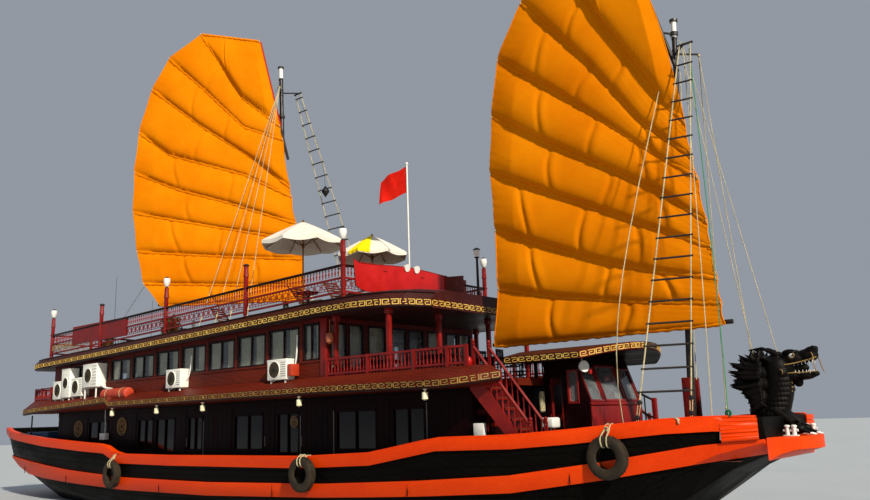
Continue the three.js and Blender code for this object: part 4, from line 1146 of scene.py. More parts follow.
    def _bolt_rope(self) -> Piece:
        """Adds the rope sewn round the leech and the luff."""
        edges = []
        panels = len(self.seams) - 1
        for s in (0.0, 1.0):
            line = [self.cloth_point(s, k / (panels * 6)) for k in range(panels * 6 + 1)]
            edges.append(rope(line, 0.016, 1))
        obj = joined(edges)
        obj.data.transform(self.placed())
        return piece(obj, f"{self.name}_bolt_rope", SAIL, self.body)

    def _head_rope(self) -> Piece:
        """Adds the red rope along the luff of the topmost panel."""
        panels = len(self.seams) - 1
        line = [self.cloth_point(1.0, 1 - k / (6 * panels)) for k in range(7)]
        obj = rope([(u + 0.03, v, w) for u, v, w in line], 0.028, 1)
        obj.data.transform(self.placed())
        return piece(obj, f"{self.name}_head_rope", RED_BOARD, self.body)

    def _ties(self) -> Piece:
        """Adds white lashings at the ends of the battens."""
        knots = []
        for seam in range(1, len(self.seams)):
            for s in (0.004, 0.996):
                u, v = self.seam_at(seam, s)
                knots.append(ring((u, self.cloth_y, v), 0.05, 0.012, (1, 0, 0.3), 10, 5))
        obj = joined(knots)
        obj.data.transform(self.placed())
        return piece(obj, f"{self.name}_lashings", ROPE, self.body)


def closed(obj: Piece) -> Piece:
    """Fills the open ends of a tube."""
    only(obj)
    bpy.ops.object.mode_set(mode="EDIT")
    bpy.ops.mesh.select_all(action="DESELECT")
    bpy.ops.mesh.select_mode(type="EDGE")
    bpy.ops.mesh.select_non_manifold(extend=False, use_boundary=True, use_wire=False, use_multi_face=False,
                                     use_non_contiguous=False, use_verts=False)
    bpy.ops.mesh.edge_face_add()
    bpy.ops.mesh.select_mode(type="VERT")
    bpy.ops.mesh.select_all(action="SELECT")
    bpy.ops.mesh.normals_make_consistent(inside=False)
    bpy.ops.object.mode_set(mode="OBJECT")
    return obj


FORE_SAIL = Sail(
    "fore_sail", 14.0, 4.61, 0.0,
    seams=(
        ((-5.40, 0.0), (1.16, 0.0)),
        ((-5.18, 1.63), (-3.2, 1.15), (-0.64, 0.72), (1.13, 0.50)),
        ((-5.19, 3.36), (-3.4, 2.56), (-1.9, 1.94), (-0.5, 1.50), (1.09, 1.09)),
        ((-5.28, 5.07), (-3.6, 4.22), (-1.8, 3.30), (-0.2, 2.48), (1.035, 1.85)),
        ((-5.13, 6.81), (-3.2, 5.46), (-1.7, 4.50), (-0.1, 3.45), (0.99, 2.47)),
        ((-4.81, 8.53), (-2.8, 6.85), (-1.6, 5.80), (-0.5, 4.76), (0.88, 3.58)),
        ((-3.88, 10.05), (-1.8, 7.45), (-0.45, 5.42), (0.80, 4.15)),
        ((-2.60, 11.30), (-1.36, 8.57), (0.11, 5.82), (0.70, 5.05)),
        ((-2.60, 11.30), (-0.56, 10.80)),
    ),
    creases=((0.3, 0.62), (0.21, 0.55, 0.8), (0.18, 0.47, 0.7), (0.33, 0.58, 0.81), (0.27, 0.52, 0.74),
             (0.2, 0.45, 0.78), (0.3, 0.6), (0.45,)),
    luff_bow=0.26,
)
MAIN_SAIL = Sail(
    "main_sail", -1.2, 7.06, 35.0,
    seams=(
        ((-4.45, 0.0), (1.0, 0.0)),
        ((-5.13, 0.86), (-1.07, 0.63), (0.98, 0.52)),
        ((-5.44, 2.09), (-2.0, 1.74), (0.925, 1.50)),
        ((-5.67, 3.61), (-2.45, 2.89), (0.78, 2.22)),
        ((-5.68, 5.19), (-3.84, 4.40), (-1.89, 3.78), (0.64, 2.85)),
        ((-5.56, 6.80), (-4.29, 5.82), (-1.33, 4.85), (0.47, 3.88)),
        ((-5.13, 8.55), (-3.14, 6.96), (-0.95, 5.42), (0.41, 4.25)),
        ((-4.49, 9.81), (-2.98, 8.38), (-1.4, 6.75), (0.12, 6.15)),
        ((-3.22, 10.74), (-2.41, 9.51), (-1.46, 7.95), (0.0, 6.70)),
        ((-3.22, 10.74), (-0.84, 10.26)),
    ),
    creases=((0.4,), (0.3, 0.7), (0.25, 0.52, 0.8), (0.35, 0.66), (0.28, 0.6), (0.4, 0.72), (0.3, 0.55),
             (0.35,), (0.4,)),
    seed=19,
    luff_bow=0.06,
    red_head=True,
)


CURTAIN_LAMP = Finish("lamp_glass", "white_enamel", srgb(0xD8CCA4), srgb(0xF4ECCC), Grain.PAINT, 0.3, 0.05,
                      3.0, bump=0.05)
LANTERN = Finish("lantern_silk", "gold_paint", srgb(0x8A3A1C), srgb(0xC87848), Grain.CLOTH, 0.5, 0.1, 4.0)


@dataclass(frozen=True)
class KeyBand:
    """A gold meander band of paired square hooks, wrapped along a track."""

    name: str
    height: float = 0.17
    pitch: float = 0.50
    relief: float = 0.011
    stroke: float = 0.15
    finish: Finish = GOLD

    def hook(self) -> list[tuple[float, float, float, float]]:
        """Returns one pair of hooks as boxes: low and high along, then low and high up, in shares."""
        w = self.stroke
        left = [(0.02, 0.48, 0.0, w), (0.02, 0.02 + w / 2.6, 0.0, 1.0), (0.02, 0.42, 1 - w, 1.0),
                (0.42 - w / 2.6, 0.42, 0.36, 1.0), (0.18, 0.42, 0.36, 0.36 + w)]
        right = [(1 - b, 1 - a, 1 - d, 1 - c) for a, b, c, d in left]
        return left + right

    def unit(self) -> Piece:
        """Adds one pair of hooks, lying flat: X along, Z up, Y outboard."""
        bars = []
        for a, b, c, d in self.hook():
            bars.append(block((a * self.pitch, 0.0, c * self.height),
                              (b * self.pitch, self.relief, d * self.height)))
        return joined(bars)

    def build(self, track: Track, drop: float = 0.0) -> Piece:
        """Adds the band along a track.

        Args:
            track: The line along the band's foot.
            drop: How far the foot lies above the track.

        Returns:
            The band.
        """
        count = max(1, int(track.length / self.pitch))
        pitch = track.length / count
        stretch = Matrix.Diagonal((pitch / self.pitch, 1, 1, 1))
        hooks = copies(self.unit(), [move(i * pitch, 0.0, drop) @ stretch for i in range(count)])
        return piece(track.wrapped(hooks), self.name, self.finish)


def eave_height(x: float) -> float:
    """Returns the height of the sun deck's eave, which rises towards the bow."""
    return 5.15 + 0.47 * min(1.0, (x + 12.7) / 17.65)


@dataclass(frozen=True)
class DeckEdges:
    """The two flared deck edges with their gold key bands and mouldings."""

    frame: Frame
    skirt: tuple[Point, ...] = (
        (-13.8, 3.48, -0.07), (-13.3, 3.76, -0.06), (-12.0, 3.95, -0.01), (-6.15, 3.97, 0.19),
        (-6.08, 3.95, 0.03),
        (5.2, 3.95, 0.03), (9.4, 3.95, -0.02), (9.9, 3.86, 0.01), (10.35, 3.62, 0.06), (10.7, 3.16, 0.13))
    roof: tuple[Flat, ...] = ((-12.7, 3.55), (-12.35, 3.82), (-11.8, 3.9), (4.95, 3.9), (6.5, 3.9),
                              (7.25, 3.68), (7.75, 3.28), (8.08, 2.5))
    stand: float = 0.004

    def build(self) -> None:
        """Adds the bands round both edges and dresses the deck solids."""
        self.frame.dress("sun_deck", EAVE)
        self.frame.dress("upper_deck", MAHOGANY)
        for name, side in SIDES.items():
            skirt = [(x, side * (e + self.stand), 3.452 + lift) for x, e, lift in self.skirt]
            roof = [(x, side * (e + self.stand), eave_height(x) + 0.035) for x, e in self.roof]
            if side > 0:
                skirt.reverse()
                roof.reverse()
            # The skirt's side bands take the darker gold, which is painted shade; the eave bands and the end
            # bands keep plain GOLD.
            KeyBand(f"skirt_key_band_{name}", height=0.138, finish=SHADED_GOLD).build(Track(skirt), 0.02)
            KeyBand(f"eave_key_band_{name}", height=0.15, pitch=0.46).build(Track(roof), 0.022)
        ends = (
            ("skirt_key_band_aft", -13.8, 3.46, 3.382, -1, 0.138),
            ("eave_key_band_fore", 8.08, 2.48, eave_height(8.08) + 0.035, 1, 0.15),
            ("eave_key_band_aft", -12.7, 3.53, eave_height(-12.7) + 0.035, -1, 0.15))
        for name, x, half, z, facing, height in ends:
            edge = Track([(x + facing * self.stand, -facing * half, z),
                          (x + facing * self.stand, facing * half, z)])
            KeyBand(name, height=height).build(edge, 0.02)
        self._mouldings()
        self._floors()

    def _mouldings(self) -> None:
        """Runs a half-round moulding along the lower lip of both edges."""
        lips = []
        for side in (STARBOARD, PORT):
            lips.append(rope([(x, side * (e - 0.02), 3.44 + lift) for x, e, lift in self.skirt], 0.028, 1,
                             False))
            lips.append(rope([(x, side * (e - 0.03), eave_height(x) + 0.012) for x, e in self.roof], 0.03, 1,
                             False))
            lips.append(rope([(x, side * (e - 0.16), eave_height(x) + 0.405) for x, e in self.roof], 0.022,
                             1, False))
        piece(joined(lips), "edge_mouldings", DARK_WOOD)

    def _floors(self) -> None:
        """Lays the planks of the balcony, the veranda and the sun deck."""
        planks = []
        for x0, x1, z, half in ((-13.7, -11.5, 3.6, 3.2), (5.05, 9.6, 3.6, 3.3)):
            count = int(2 * half / 0.16)
            template = block((x0, -0.074, z + 0.0005), (x1, 0.074, z + 0.013), 0.003, 1)
            planks.append(copies(template, [move(0, -half + (i + 0.5) * 2 * half / count,
                                                 0) for i in range(count)]))
        piece(joined(planks), "balcony_planks", DECK_WOOD)
        count = 38
        boards = []
        for i in range(count):
            y = -3.1 + (i + 0.5) * 6.2 / count
            for x0, x1 in ((-12.3, -1.25), (-0.75, 5.0)) if abs(y) < 0.2 else ((-12.3, 5.0),):
                boards.append((y, x0, x1))
        strips = []
        for y, x0, x1 in boards:
            z0, z1 = eave_height(x0) + 0.5305, eave_height(x1) + 0.5305
            strips.append(prism([(x0, z0), (x1, z1), (x1, z1 + 0.012), (x0, z0 + 0.012)], y - 0.076,
                                y + 0.076))
        level = eave_height(6.0) + 0.5305
        template = block((5.0, -0.076, level), (7.15, 0.076, level + 0.012))
        strips.append(copies(template, [move(0, -2.9 + i * 0.163, 0) for i in range(36)]))
        piece(joined(strips), "sun_deck_planks", DECK_WOOD)


@dataclass(frozen=True)
class Opening:
    """One opening in a side wall: its ends along X, its sill and its head."""

    x0: float
    x1: float
    sill: float
    head: float

    @property
    def middle(self) -> float:
        """The middle of the opening along X."""
        return (self.x0 + self.x1) / 2


def window_frame(opening: Opening, y: float, side: int, bars: int, depth: float = 0.09,
                 width: float = 0.055) -> Piece:
    """Adds the joinery of one window: a rebated frame, a transom and upright bars.

    Args:
        opening: The opening that it fills.
        y: The wall's outer face, without its sign.
        side: -1 to starboard, 1 to port.
        bars: Upright bars between the panes.
        depth: How deep the frame is.
        width: How wide its members are.

    Returns:
        The frame.
    """
    out, inn = side * (y + 0.014), side * (y - depth)
    y0, y1 = min(out, inn), max(out, inn)
    x0, x1, z0, z1 = opening.x0, opening.x1, opening.sill, opening.head
    parts = [
        block((x0 - 0.02, y0, z0 - 0.03), (x1 + 0.02, y1, z0 + width - 0.01), 0.006, 1),
        block((x0 - 0.02, y0, z1 - width), (x1 + 0.02, y1, z1 + 0.02), 0.006, 1),
        block((x0 - 0.02, y0, z0), (x0 + width - 0.01, y1, z1), 0.006, 1),
        block((x1 - width + 0.01, y0, z0), (x1 + 0.02, y1, z1), 0.006, 1),
    ]
    for i in range(bars):
        x = x0 + (x1 - x0) * (i + 1) / (bars + 1)
        parts.append(block((x - 0.018, y0 + 0.012 * (side > 0), z0),
                           (x + 0.018, y1 - 0.012 * (side < 0), z1), 0.004, 1))
    return joined(parts)


@dataclass(frozen=True)
class LowerHouse:
    """The dark main deck house: glossy panels between windows, sliding doors, medallions and lamps."""

    frame: Frame
    wall: float = 2.9
    windows: tuple[Opening, ...] = (
        Opening(-9.35, -7.9, 1.9, 3.0), Opening(-5.74, -4.72, 1.9, 3.0), Opening(-2.56, -1.7, 1.9, 3.0),
        Opening(0.02, 1.49, 1.9, 3.0), Opening(4.76, 6.35, 1.9, 3.0), Opening(6.94, 8.08, 1.9, 3.0))
    doors: tuple[Opening, ...] = (Opening(-4.56, -3.34, 1.08, 3.0), Opening(2.16, 3.17, 1.08, 3.0))
    medallions: tuple[Point, ...] = ((-10.14, 2.73, 0.33), (-6.83, 2.77, 0.33), (2.97, 2.72, 0.17))
    lamps: tuple[float, ...] = (-5.9, -3.0, -0.35, 4.26, 8.91)
    lamp_y: float = 3.84
    panel_edges: tuple[float, ...] = (-11.85, -9.42, -7.8, -5.82, -4.64, -3.26, -2.64, -1.62, -0.06, 1.57,
                                      2.08, 3.25, 4.68, 6.43, 6.86, 8.16, 9.6)

    def build(self) -> None:
        """Adds the house's pieces on both sides."""
        for node in ("lower_house_starboard", "lower_house_port", "lower_house_aft", "lower_house_front"):
            self.frame.dress(node, SALOON_WOOD)
        for name, side in SIDES.items():
            frames = [window_frame(w, self.wall, side, 1) for w in self.windows]
            frames += [window_frame(d, self.wall, side, 1) for d in self.doors]
            piece(joined(frames), f"saloon_window_frames_{name}", SALOON_WOOD)
            panes = [self._pane(o, side) for o in (*self.windows, *self.doors)]
            # The saloon panes are opaque and near black: painted shade for the shaded interior.
            piece(joined(panes), f"saloon_panes_{name}", PAINTED_SHADE_GLASS)
            self._panels(name, side)
            self._curtains(name, side)
            self._trim(name, side)
        self._door()

    def _pane(self, opening: Opening, side: int) -> Piece:
        """Adds a pane of glass set in the middle of the wall."""
        y = side * (self.wall - 0.045)
        return block((opening.x0, y - 0.004, opening.sill), (opening.x1, y + 0.004, opening.head), 0.001, 1)

    def _panels(self, name: str, side: int) -> None:
        """Adds raised gloss panels between the windows and below their sills."""
        parts = []
        face = side * self.wall
        spans = [(a + 0.03, b - 0.03) for a, b in zip(self.panel_edges, self.panel_edges[1:])]
        for x0, x1 in spans:
            middle = (x0 + x1) / 2
            window = next((w for w in self.windows if w.x0 < middle < w.x1), None)
            if any(d.x0 < middle < d.x1 for d in self.doors):
                continue
            top = window.sill - 0.06 if window else 3.3
            boards = max(1, round((x1 - x0) / 0.24))
            step = (x1 - x0) / boards
            for i in range(boards):
                a, b = x0 + i * step + 0.004, x0 + (i + 1) * step - 0.004
                parts.append(block((a, face, 1.06), (b, face + side * 0.014, top),
                                   0.005, 1))
        for z0, z1 in ((1.0, 1.1), (3.22, 3.36)):
            parts.append(block((-11.88, face, z0), (9.6, face + side * 0.03, z1),
                               0.008, 1))
        piece(joined(parts), f"saloon_wall_boards_{name}", SALOON_WOOD)

    def _curtains(self, name: str, side: int) -> None:
        """Hangs gathered curtains just inside the saloon's windows."""
        y = side * (self.wall - 0.17)
        parts, width = [], 0.0
        for window in self.windows:
            for low, high in ((window.x0, window.x0 + 0.34), (window.x1 - 0.34, window.x1)):
                parts.append(curtain(low, high, y, 1.72, 3.05, folds=5, depth=0.035))
                width += 0.34 * SALOON_FULLNESS
        obj = piece(joined(parts), f"saloon_curtains_{name}", CURTAIN)

    def _trim(self, name: str, side: int) -> None:
        """Adds the gold medallions, pale cover strips, door pulls and the lamps under the deck."""
        face = side * (self.wall + 0.014)
        along = (0, side, 0)
        discs = []
        for x, z, r in self.medallions:
            discs.append(ring((x, face + side * 0.012, z), r * 0.94, r * 0.06, along, 32, 6))
            for share in (0.74, 0.42):
                discs.append(ring((x, face + side * 0.010, z), r * share, r * 0.045, along, 24, 5))
            for k in range(12):
                c, s = math.cos(math.pi * k / 6), math.sin(math.pi * k / 6)
                discs.append(rod((x + 0.2 * r * c, face + side * 0.010, z + 0.2 * r * s),
                                 (x + 0.8 * r * c, face + side * 0.010, z + 0.8 * r * s), r * 0.03, sides=6))
        piece(joined(discs), f"saloon_medallions_{name}", OLD_GOLD)
        strips = [block((x - 0.018, face, z0), (x + 0.018, face + side * 0.012, z1),
                        0.004, 1)
                  for x, z0, z1 in ((-1.62, 1.75, 2.85), (3.25, 1.7, 2.9), (4.68, 1.75, 3.0),
                                    (8.16, 1.7, 3.1))]
        strips += [rod((x, face, 2.02), (x, face, 2.3), 0.016, sides=8) for x in (-2.6, 1.6, 3.3)]
        piece(joined(strips), f"saloon_cover_strips_{name}", COVER_GREY)
        lamps = []
        for x in self.lamps:
            at = (x, side * self.lamp_y, 3.42)
            lamps.append(turned([(0.05, 0.0), (0.05, -0.03), (0.02, -0.04), (0.02, -0.08), (0.075, -0.10),
                                 (0.08, -0.26), (0.03, -0.29)], at, 12))
        piece(joined(lamps), f"deck_lamps_{name}", CURTAIN_LAMP)
        if side < 0:
            box = [block((-8.18, face - 0.16, 2.29), (-7.76, face, 2.54), 0.015),
                   block((9.73, face - 0.12, 2.15), (10.04, face, 2.54), 0.015),
                   rope([(-7.95, face - 0.06, 2.54), (-8.0, face - 0.05, 3.1), (-8.03, face - 0.05, 3.42)],
                        0.012, 2)]
            piece(joined(box), "saloon_wall_boxes", WHITE_PAINT)

    def _door(self) -> None:
        """Finishes the saloon door in the fore wall with its panels and handle, on its own body."""
        self.frame.softened("saloon_door", "saloon_door_leaf", RED_WOOD, "saloon_door", 0.006)
        low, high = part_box("saloon_door")
        x1 = high.x
        parts = []
        for z0, z1 in ((low.z + 0.15, low.z + 0.75), (low.z + 0.9, low.z + 1.35),
                       (low.z + 1.45, high.z - 0.12)):
            parts.append(block((x1 - 0.002, -2.2, z0), (x1 + 0.012, -1.46, z1), 0.006))
        parts.append(rod((x1 + 0.03, -1.44, low.z + 0.95), (x1 + 0.03, -1.44, low.z + 1.15), 0.012, sides=8))
        piece(joined(parts), "saloon_door_panels", DARK_WOOD, "saloon_door")


def curtain(x0: float, x1: float, y: float, z0: float, z1: float, folds: int, depth: float) -> Piece:
    """Adds one gathered curtain that hangs along X.

    Args:
        x0: Its lower end along X.
        x1: Its higher end along X.
        y: Where it hangs.
        z0: Its hem.
        z1: Its heading.
        folds: Full folds across it.
        depth: How deep the folds are.

    Returns:
        The curtain, as thin closed cloth.
    """
    def at(s: float, t: float) -> Point:
        """Returns a place in the folded cloth."""
        wave = (math.sin(2 * math.pi * folds * s)
                + 0.35 * math.sin(2 * math.pi * (folds * 0.5 + 0.7) * s + 2 * t))
        spread = 0.55 + 0.45 * (1 - t) + 0.08 * math.sin(3 * t + x0)
        return (x0 + (x1 - x0) * s + 0.01 * math.sin(4 * t + 9 * s), y + depth * wave * spread * 0.6,
                z0 + (z1 - z0) * t)
    obj = sheet_grid(folds * 8, 6, at)
    seal(obj, 0)
    return modified(obj, "SOLIDIFY", thickness=0.003, offset=0)


@dataclass(frozen=True)
class UpperHouse:
    """The upper cabins: dark window frames over boarded wood, cream curtains, the veranda front."""

    frame: Frame
    wall: float = 3.4
    pitch: float = 1.55
    count: int = 9
    post_x: Flat = (4.70, 4.95)

    def windows(self) -> list[Opening]:
        """Returns the side windows, from the bow aft."""
        rows = [Opening(3.95, 4.62, 4.43, eave_height(3.95) - 0.11)]
        for i in range(self.count):
            x0 = 2.38 - self.pitch * i
            rows.append(Opening(x0, x0 + 1.36, 4.43, eave_height(x0) - 0.11))
        return rows

    def build(self) -> None:
        """Adds the cabins' pieces."""
        for node in ("upper_house_starboard", "upper_house_port", "upper_house_aft", "upper_house_front"):
            self.frame.dress(node, RED_WOOD)
        for name, side in SIDES.items():
            windows = self.windows()
            piece(joined([window_frame(w, self.wall, side, 1) for w in windows]),
                  f"cabin_window_frames_{name}", DARK_WOOD)
            panes = [block((w.x0, side * 3.355 - 0.004, w.sill), (w.x1, side * 3.355 + 0.004, w.head), 0.001,
                           1)
                     for w in windows]
            glass = piece(joined(panes), f"cabin_panes_{name}", GLASS)
            glass.visible_shadow = False
            self._curtains(name, side, windows)
            self._boards(name, side)
        self._front()
        self._aft()

    def _curtains(self, name: str, side: int, windows: list[Opening]) -> None:
        """Hangs the cream curtains inside the cabin windows, drawn unevenly."""
        rng = random.Random(31 + side)
        parts, width = [], 0.0
        for w in windows:
            gap = rng.uniform(0.12, 0.34) * (w.x1 - w.x0)
            for low, high in ((w.x0, w.middle - gap / 2), (w.middle + gap / 2, w.x1)):
                folds = max(3, round((high - low) / 0.075))
                parts.append(curtain(low, high, side * 3.27, w.sill - 0.12, w.head + 0.02, folds, 0.03))
                width += (high - low) * CABIN_FULLNESS
        obj = piece(joined(parts), f"cabin_curtains_{name}", CURTAIN)

    def _boards(self, name: str, side: int) -> None:
        """Adds upright boards and rails below the windows, and the red corner post."""
        face = side * self.wall
        parts = []
        boards = 92
        step = (4.68 + 11.36) / boards
        for i in range(boards):
            x = -11.36 + i * step
            parts.append(block((x + 0.004, face, 3.9),
                               (x + step - 0.004, face + side * 0.012, 4.36), 0.004, 1))
        for x0, x1, z0, z1 in ((-11.38, 4.7, 4.36, 4.42), (-11.38, 4.7, 3.86, 3.93)):
            parts.append(block((x0, face, z0), (x1, face + side * 0.034, z1),
                               0.008, 1))
        for i in range(self.count + 1):
            x = 2.38 - self.pitch * i + 1.36 + 0.095
            head = eave_height(x) - 0.02
            parts.append(block((x - 0.06, face, 4.42), (x + 0.06, face + side * 0.02,
                               head), 0.006, 1))
        piece(joined(parts), f"cabin_wall_boards_{name}", MAHOGANY)
        x0, x1 = self.post_x
        post = block((x0, face - side * 0.02, 3.88),
                     (x1, face + side * 0.05, 5.6), 0.02)
        piece(post, f"corner_post_{name}", RED_RAIL)

    def _front(self) -> None:
        """Adds the veranda front: framed doors and windows, curtains, and the boards below them."""
        x = 4.95
        parts, panes, cloths, width = [], [], [], 0.0
        openings = [(s * a, s * b, 4.15) for s in (-1, 1)
                    for a, b in ((2.65, 3.28), (1.96, 2.55), (1.0, 1.74))]
        openings += [(-0.8, -0.06, 3.68), (0.06, 0.8, 3.68)]
        for ya, yb, sill in openings:
            y0, y1 = min(ya, yb), max(ya, yb)
            for a, b in (((x - 0.07, y0 - 0.02, sill - 0.03), (x + 0.015, y1 + 0.02, sill + 0.04)),
                         ((x - 0.07, y0 - 0.02, 5.42), (x + 0.015, y1 + 0.02, 5.48)),
                         ((x - 0.07, y0 - 0.02, sill), (x + 0.015, y0 + 0.04, 5.46)),
                         ((x - 0.07, y1 - 0.04, sill), (x + 0.015, y1 + 0.02, 5.46))):
                parts.append(block(a, b, 0.006, 1))
            panes.append(block((x - 0.034, y0, sill), (x - 0.026, y1, 5.46), 0.001, 1))
            if sill > 4:
                turn = curtain(y0, y1, 0.0, sill - 0.05, 5.5, 8, 0.03)
                turn.data.transform(Matrix.Translation((x - 0.16, 0, 0)) @ turn_z(math.pi / 2))
                cloths.append(seal(turn, 0))
                width += (y1 - y0) * CABIN_FULLNESS
        piece(joined(parts), "veranda_front_frames", DARK_WOOD)
        glass = piece(joined(panes), "veranda_front_panes", GLASS)
        glass.visible_shadow = False
        obj = piece(joined(cloths), "veranda_curtains", CURTAIN)
        boards = []
        for i in range(34):
            y = -3.32 + i * 0.195
            if abs(y + 0.09) < 0.9:
                continue
            boards.append(block((x, y + 0.004, 3.62), (x + 0.012, y + 0.187, 4.08), 0.004, 1))
        piece(joined(boards), "veranda_front_boards", RED_WOOD)

    def _aft(self) -> None:
        """Adds upright boards on the after walls of both houses."""
        boards = []
        for x, half, z0, z1, door in ((-11.4, 3.3, 3.64, 5.12, 0.5), (-11.9, 2.8, 1.05, 3.36, 0.55)):
            count = int(2 * half / 0.2)
            for i in range(count):
                y = -half + i * 2 * half / count
                if -door < y + 0.1 < door:
                    continue
                boards.append(block((x - 0.014, y + 0.004, z0), (x, y + 2 * half / count - 0.004, z1), 0.004,
                                    1))
        piece(joined(boards), "after_wall_boards", MAHOGANY)


@dataclass(frozen=True)
class Veranda:
    """The open fore end of the upper deck: turned balusters, posts, tables and chairs."""

    frame: Frame
    rail_y: float = 3.465
    foot_z: float = 3.88
    top_z: float = 4.36
    seed: int = 5

    def build(self) -> None:
        """Adds the veranda's pieces."""
        for node in ("veranda_rail_starboard", "veranda_rail_port", "aft_rail"):
            self.frame.dress(node, RED_RAIL)
        places = []
        for side in (STARBOARD, PORT):
            track = Track([(5.01, side * self.rail_y, 0), (9.35, side * self.rail_y, 0),
                           (9.88, side * 3.39, 0)])
            places += self._rows(track, 0.125, self.foot_z)
            aft = Track([(-11.48, side * 3.465, 0), (-12.45, side * 3.405, 0), (-13.25, side * 3.29, 0),
                         (-13.7, side * 2.7, 0)])
            places += self._rows(aft, 0.13, self.foot_z)
        end = Track([(-13.7, -2.7, 0), (-13.7, 2.7, 0)])
        places += self._rows(end, 0.13, self.foot_z - 0.02)
        piece(copies(baluster(), places), "balcony_balusters", RED_RAIL)
        self._posts()
        self._furniture()

    def _rows(self, track: Track, pitch: float, foot: float) -> list[Matrix]:
        """Returns the places of the balusters along a rail."""
        count = int(track.length / pitch)
        marks = (np.arange(count) + 0.5) * track.length / count
        return [upright((float(x), float(y), foot), self.top_z - foot) for x, y, _ in track.at(marks)]

    def _posts(self) -> None:
        """Stands the red posts that carry the sun deck's fore end."""
        posts = []
        for x, y in ((7.25, 3.3), (7.25, 1.2), (5.2, 3.3)):
            for side in (STARBOARD, PORT):
                top = eave_height(x) + 0.02
                posts.append(block((x - 0.06, side * y - 0.06, 3.6), (x + 0.06, side * y + 0.06, top),
                                   0.012))
                posts.append(block((x - 0.085, side * y - 0.085, top - 0.16),
                                   (x + 0.085, side * y + 0.085, top), 0.012))
                posts.append(block((x - 0.085, side * y - 0.085, 3.6), (x + 0.085, side * y + 0.085, 3.78),
                                   0.012))
        piece(joined(posts), "veranda_posts", RED_RAIL)
        lantern = joined([
            turned([(0.02, 0.30), (0.10, 0.24), (0.12, 0.12), (0.10, 0.0), (0.03, -0.05)],
                   (5.1, -3.44, 4.88), 10),
            rod((5.1, -3.44, 5.18), (5.1, -3.44, 5.52), 0.01, sides=6)])
        piece(lantern, "veranda_lantern", LANTERN)

    def _furniture(self) -> None:
        """Sets out tables and chairs under the sun deck."""
        rng = random.Random(self.seed)
        tables, chairs = [], []
        for x in (6.0, 8.2):
            for y in (-2.3, 0.0, 2.3):
                tables.append(move(x, y, 3.613))
                for dx in (-0.62, 0.62):
                    chairs.append(move(x + dx, y + rng.uniform(-0.06, 0.06), 3.613)
                                  @ turn_z(math.pi / 2 * (1 if dx < 0 else -1) + rng.uniform(-0.2, 0.2)))
        piece(copies(table(), tables), "veranda_tables", DARK_WOOD)
        piece(copies(chair(), chairs), "veranda_chairs", DARK_WOOD)


def baluster() -> Piece:
    """Adds one turned baluster, a metre high before it is set in its place."""
    return turned([(0.020, 0.0), (0.020, 0.10), (0.012, 0.16), (0.024, 0.34), (0.026, 0.44), (0.014, 0.60),
                   (0.012, 0.74), (0.020, 0.84), (0.020, 1.0)], sides=8)


def table() -> Piece:
    """Adds one square table on crossed feet."""
    parts = [block((-0.38, -0.38, 0.70), (0.38, 0.38, 0.74), 0.01),
             block((-0.30, -0.30, 0.64), (0.30, 0.30, 0.70), 0.006),
             block((-0.05, -0.05, 0.03), (0.05, 0.05, 0.66), 0.01),
             block((-0.30, -0.04, 0.0), (0.30, 0.04, 0.05), 0.01),
             block((-0.04, -0.30, 0.0), (0.04, 0.30, 0.05), 0.01)]
    return joined(parts)


def chair() -> Piece:
    """Adds one slatted chair that faces +Y."""
    parts = [block((-0.23, -0.22, 0.42), (0.23, 0.24, 0.45), 0.008)]
    for x in (-0.21, 0.21):
        parts.append(rod((x, 0.22, 0.0), (x, 0.22, 0.43), 0.02, sides=8))
        parts.append(rod((x, -0.24, 0.0), (x, -0.30, 0.94), 0.02, sides=8))
        parts.append(block((x - 0.02, -0.26, 0.62), (x + 0.02, 0.22, 0.65), 0.006, 1))
    for i in range(5):
        x = -0.15 + 0.075 * i
        parts.append(block((x - 0.018, -0.30, 0.5), (x + 0.018, -0.28, 0.88), 0.004, 1))
    parts.append(block((-0.23, -0.315, 0.86), (0.23, -0.275, 0.95), 0.01))
    return joined(parts)


def deck_level(x: float) -> float:
    """Returns the height of the sun deck."""
    return eave_height(x) + 0.53


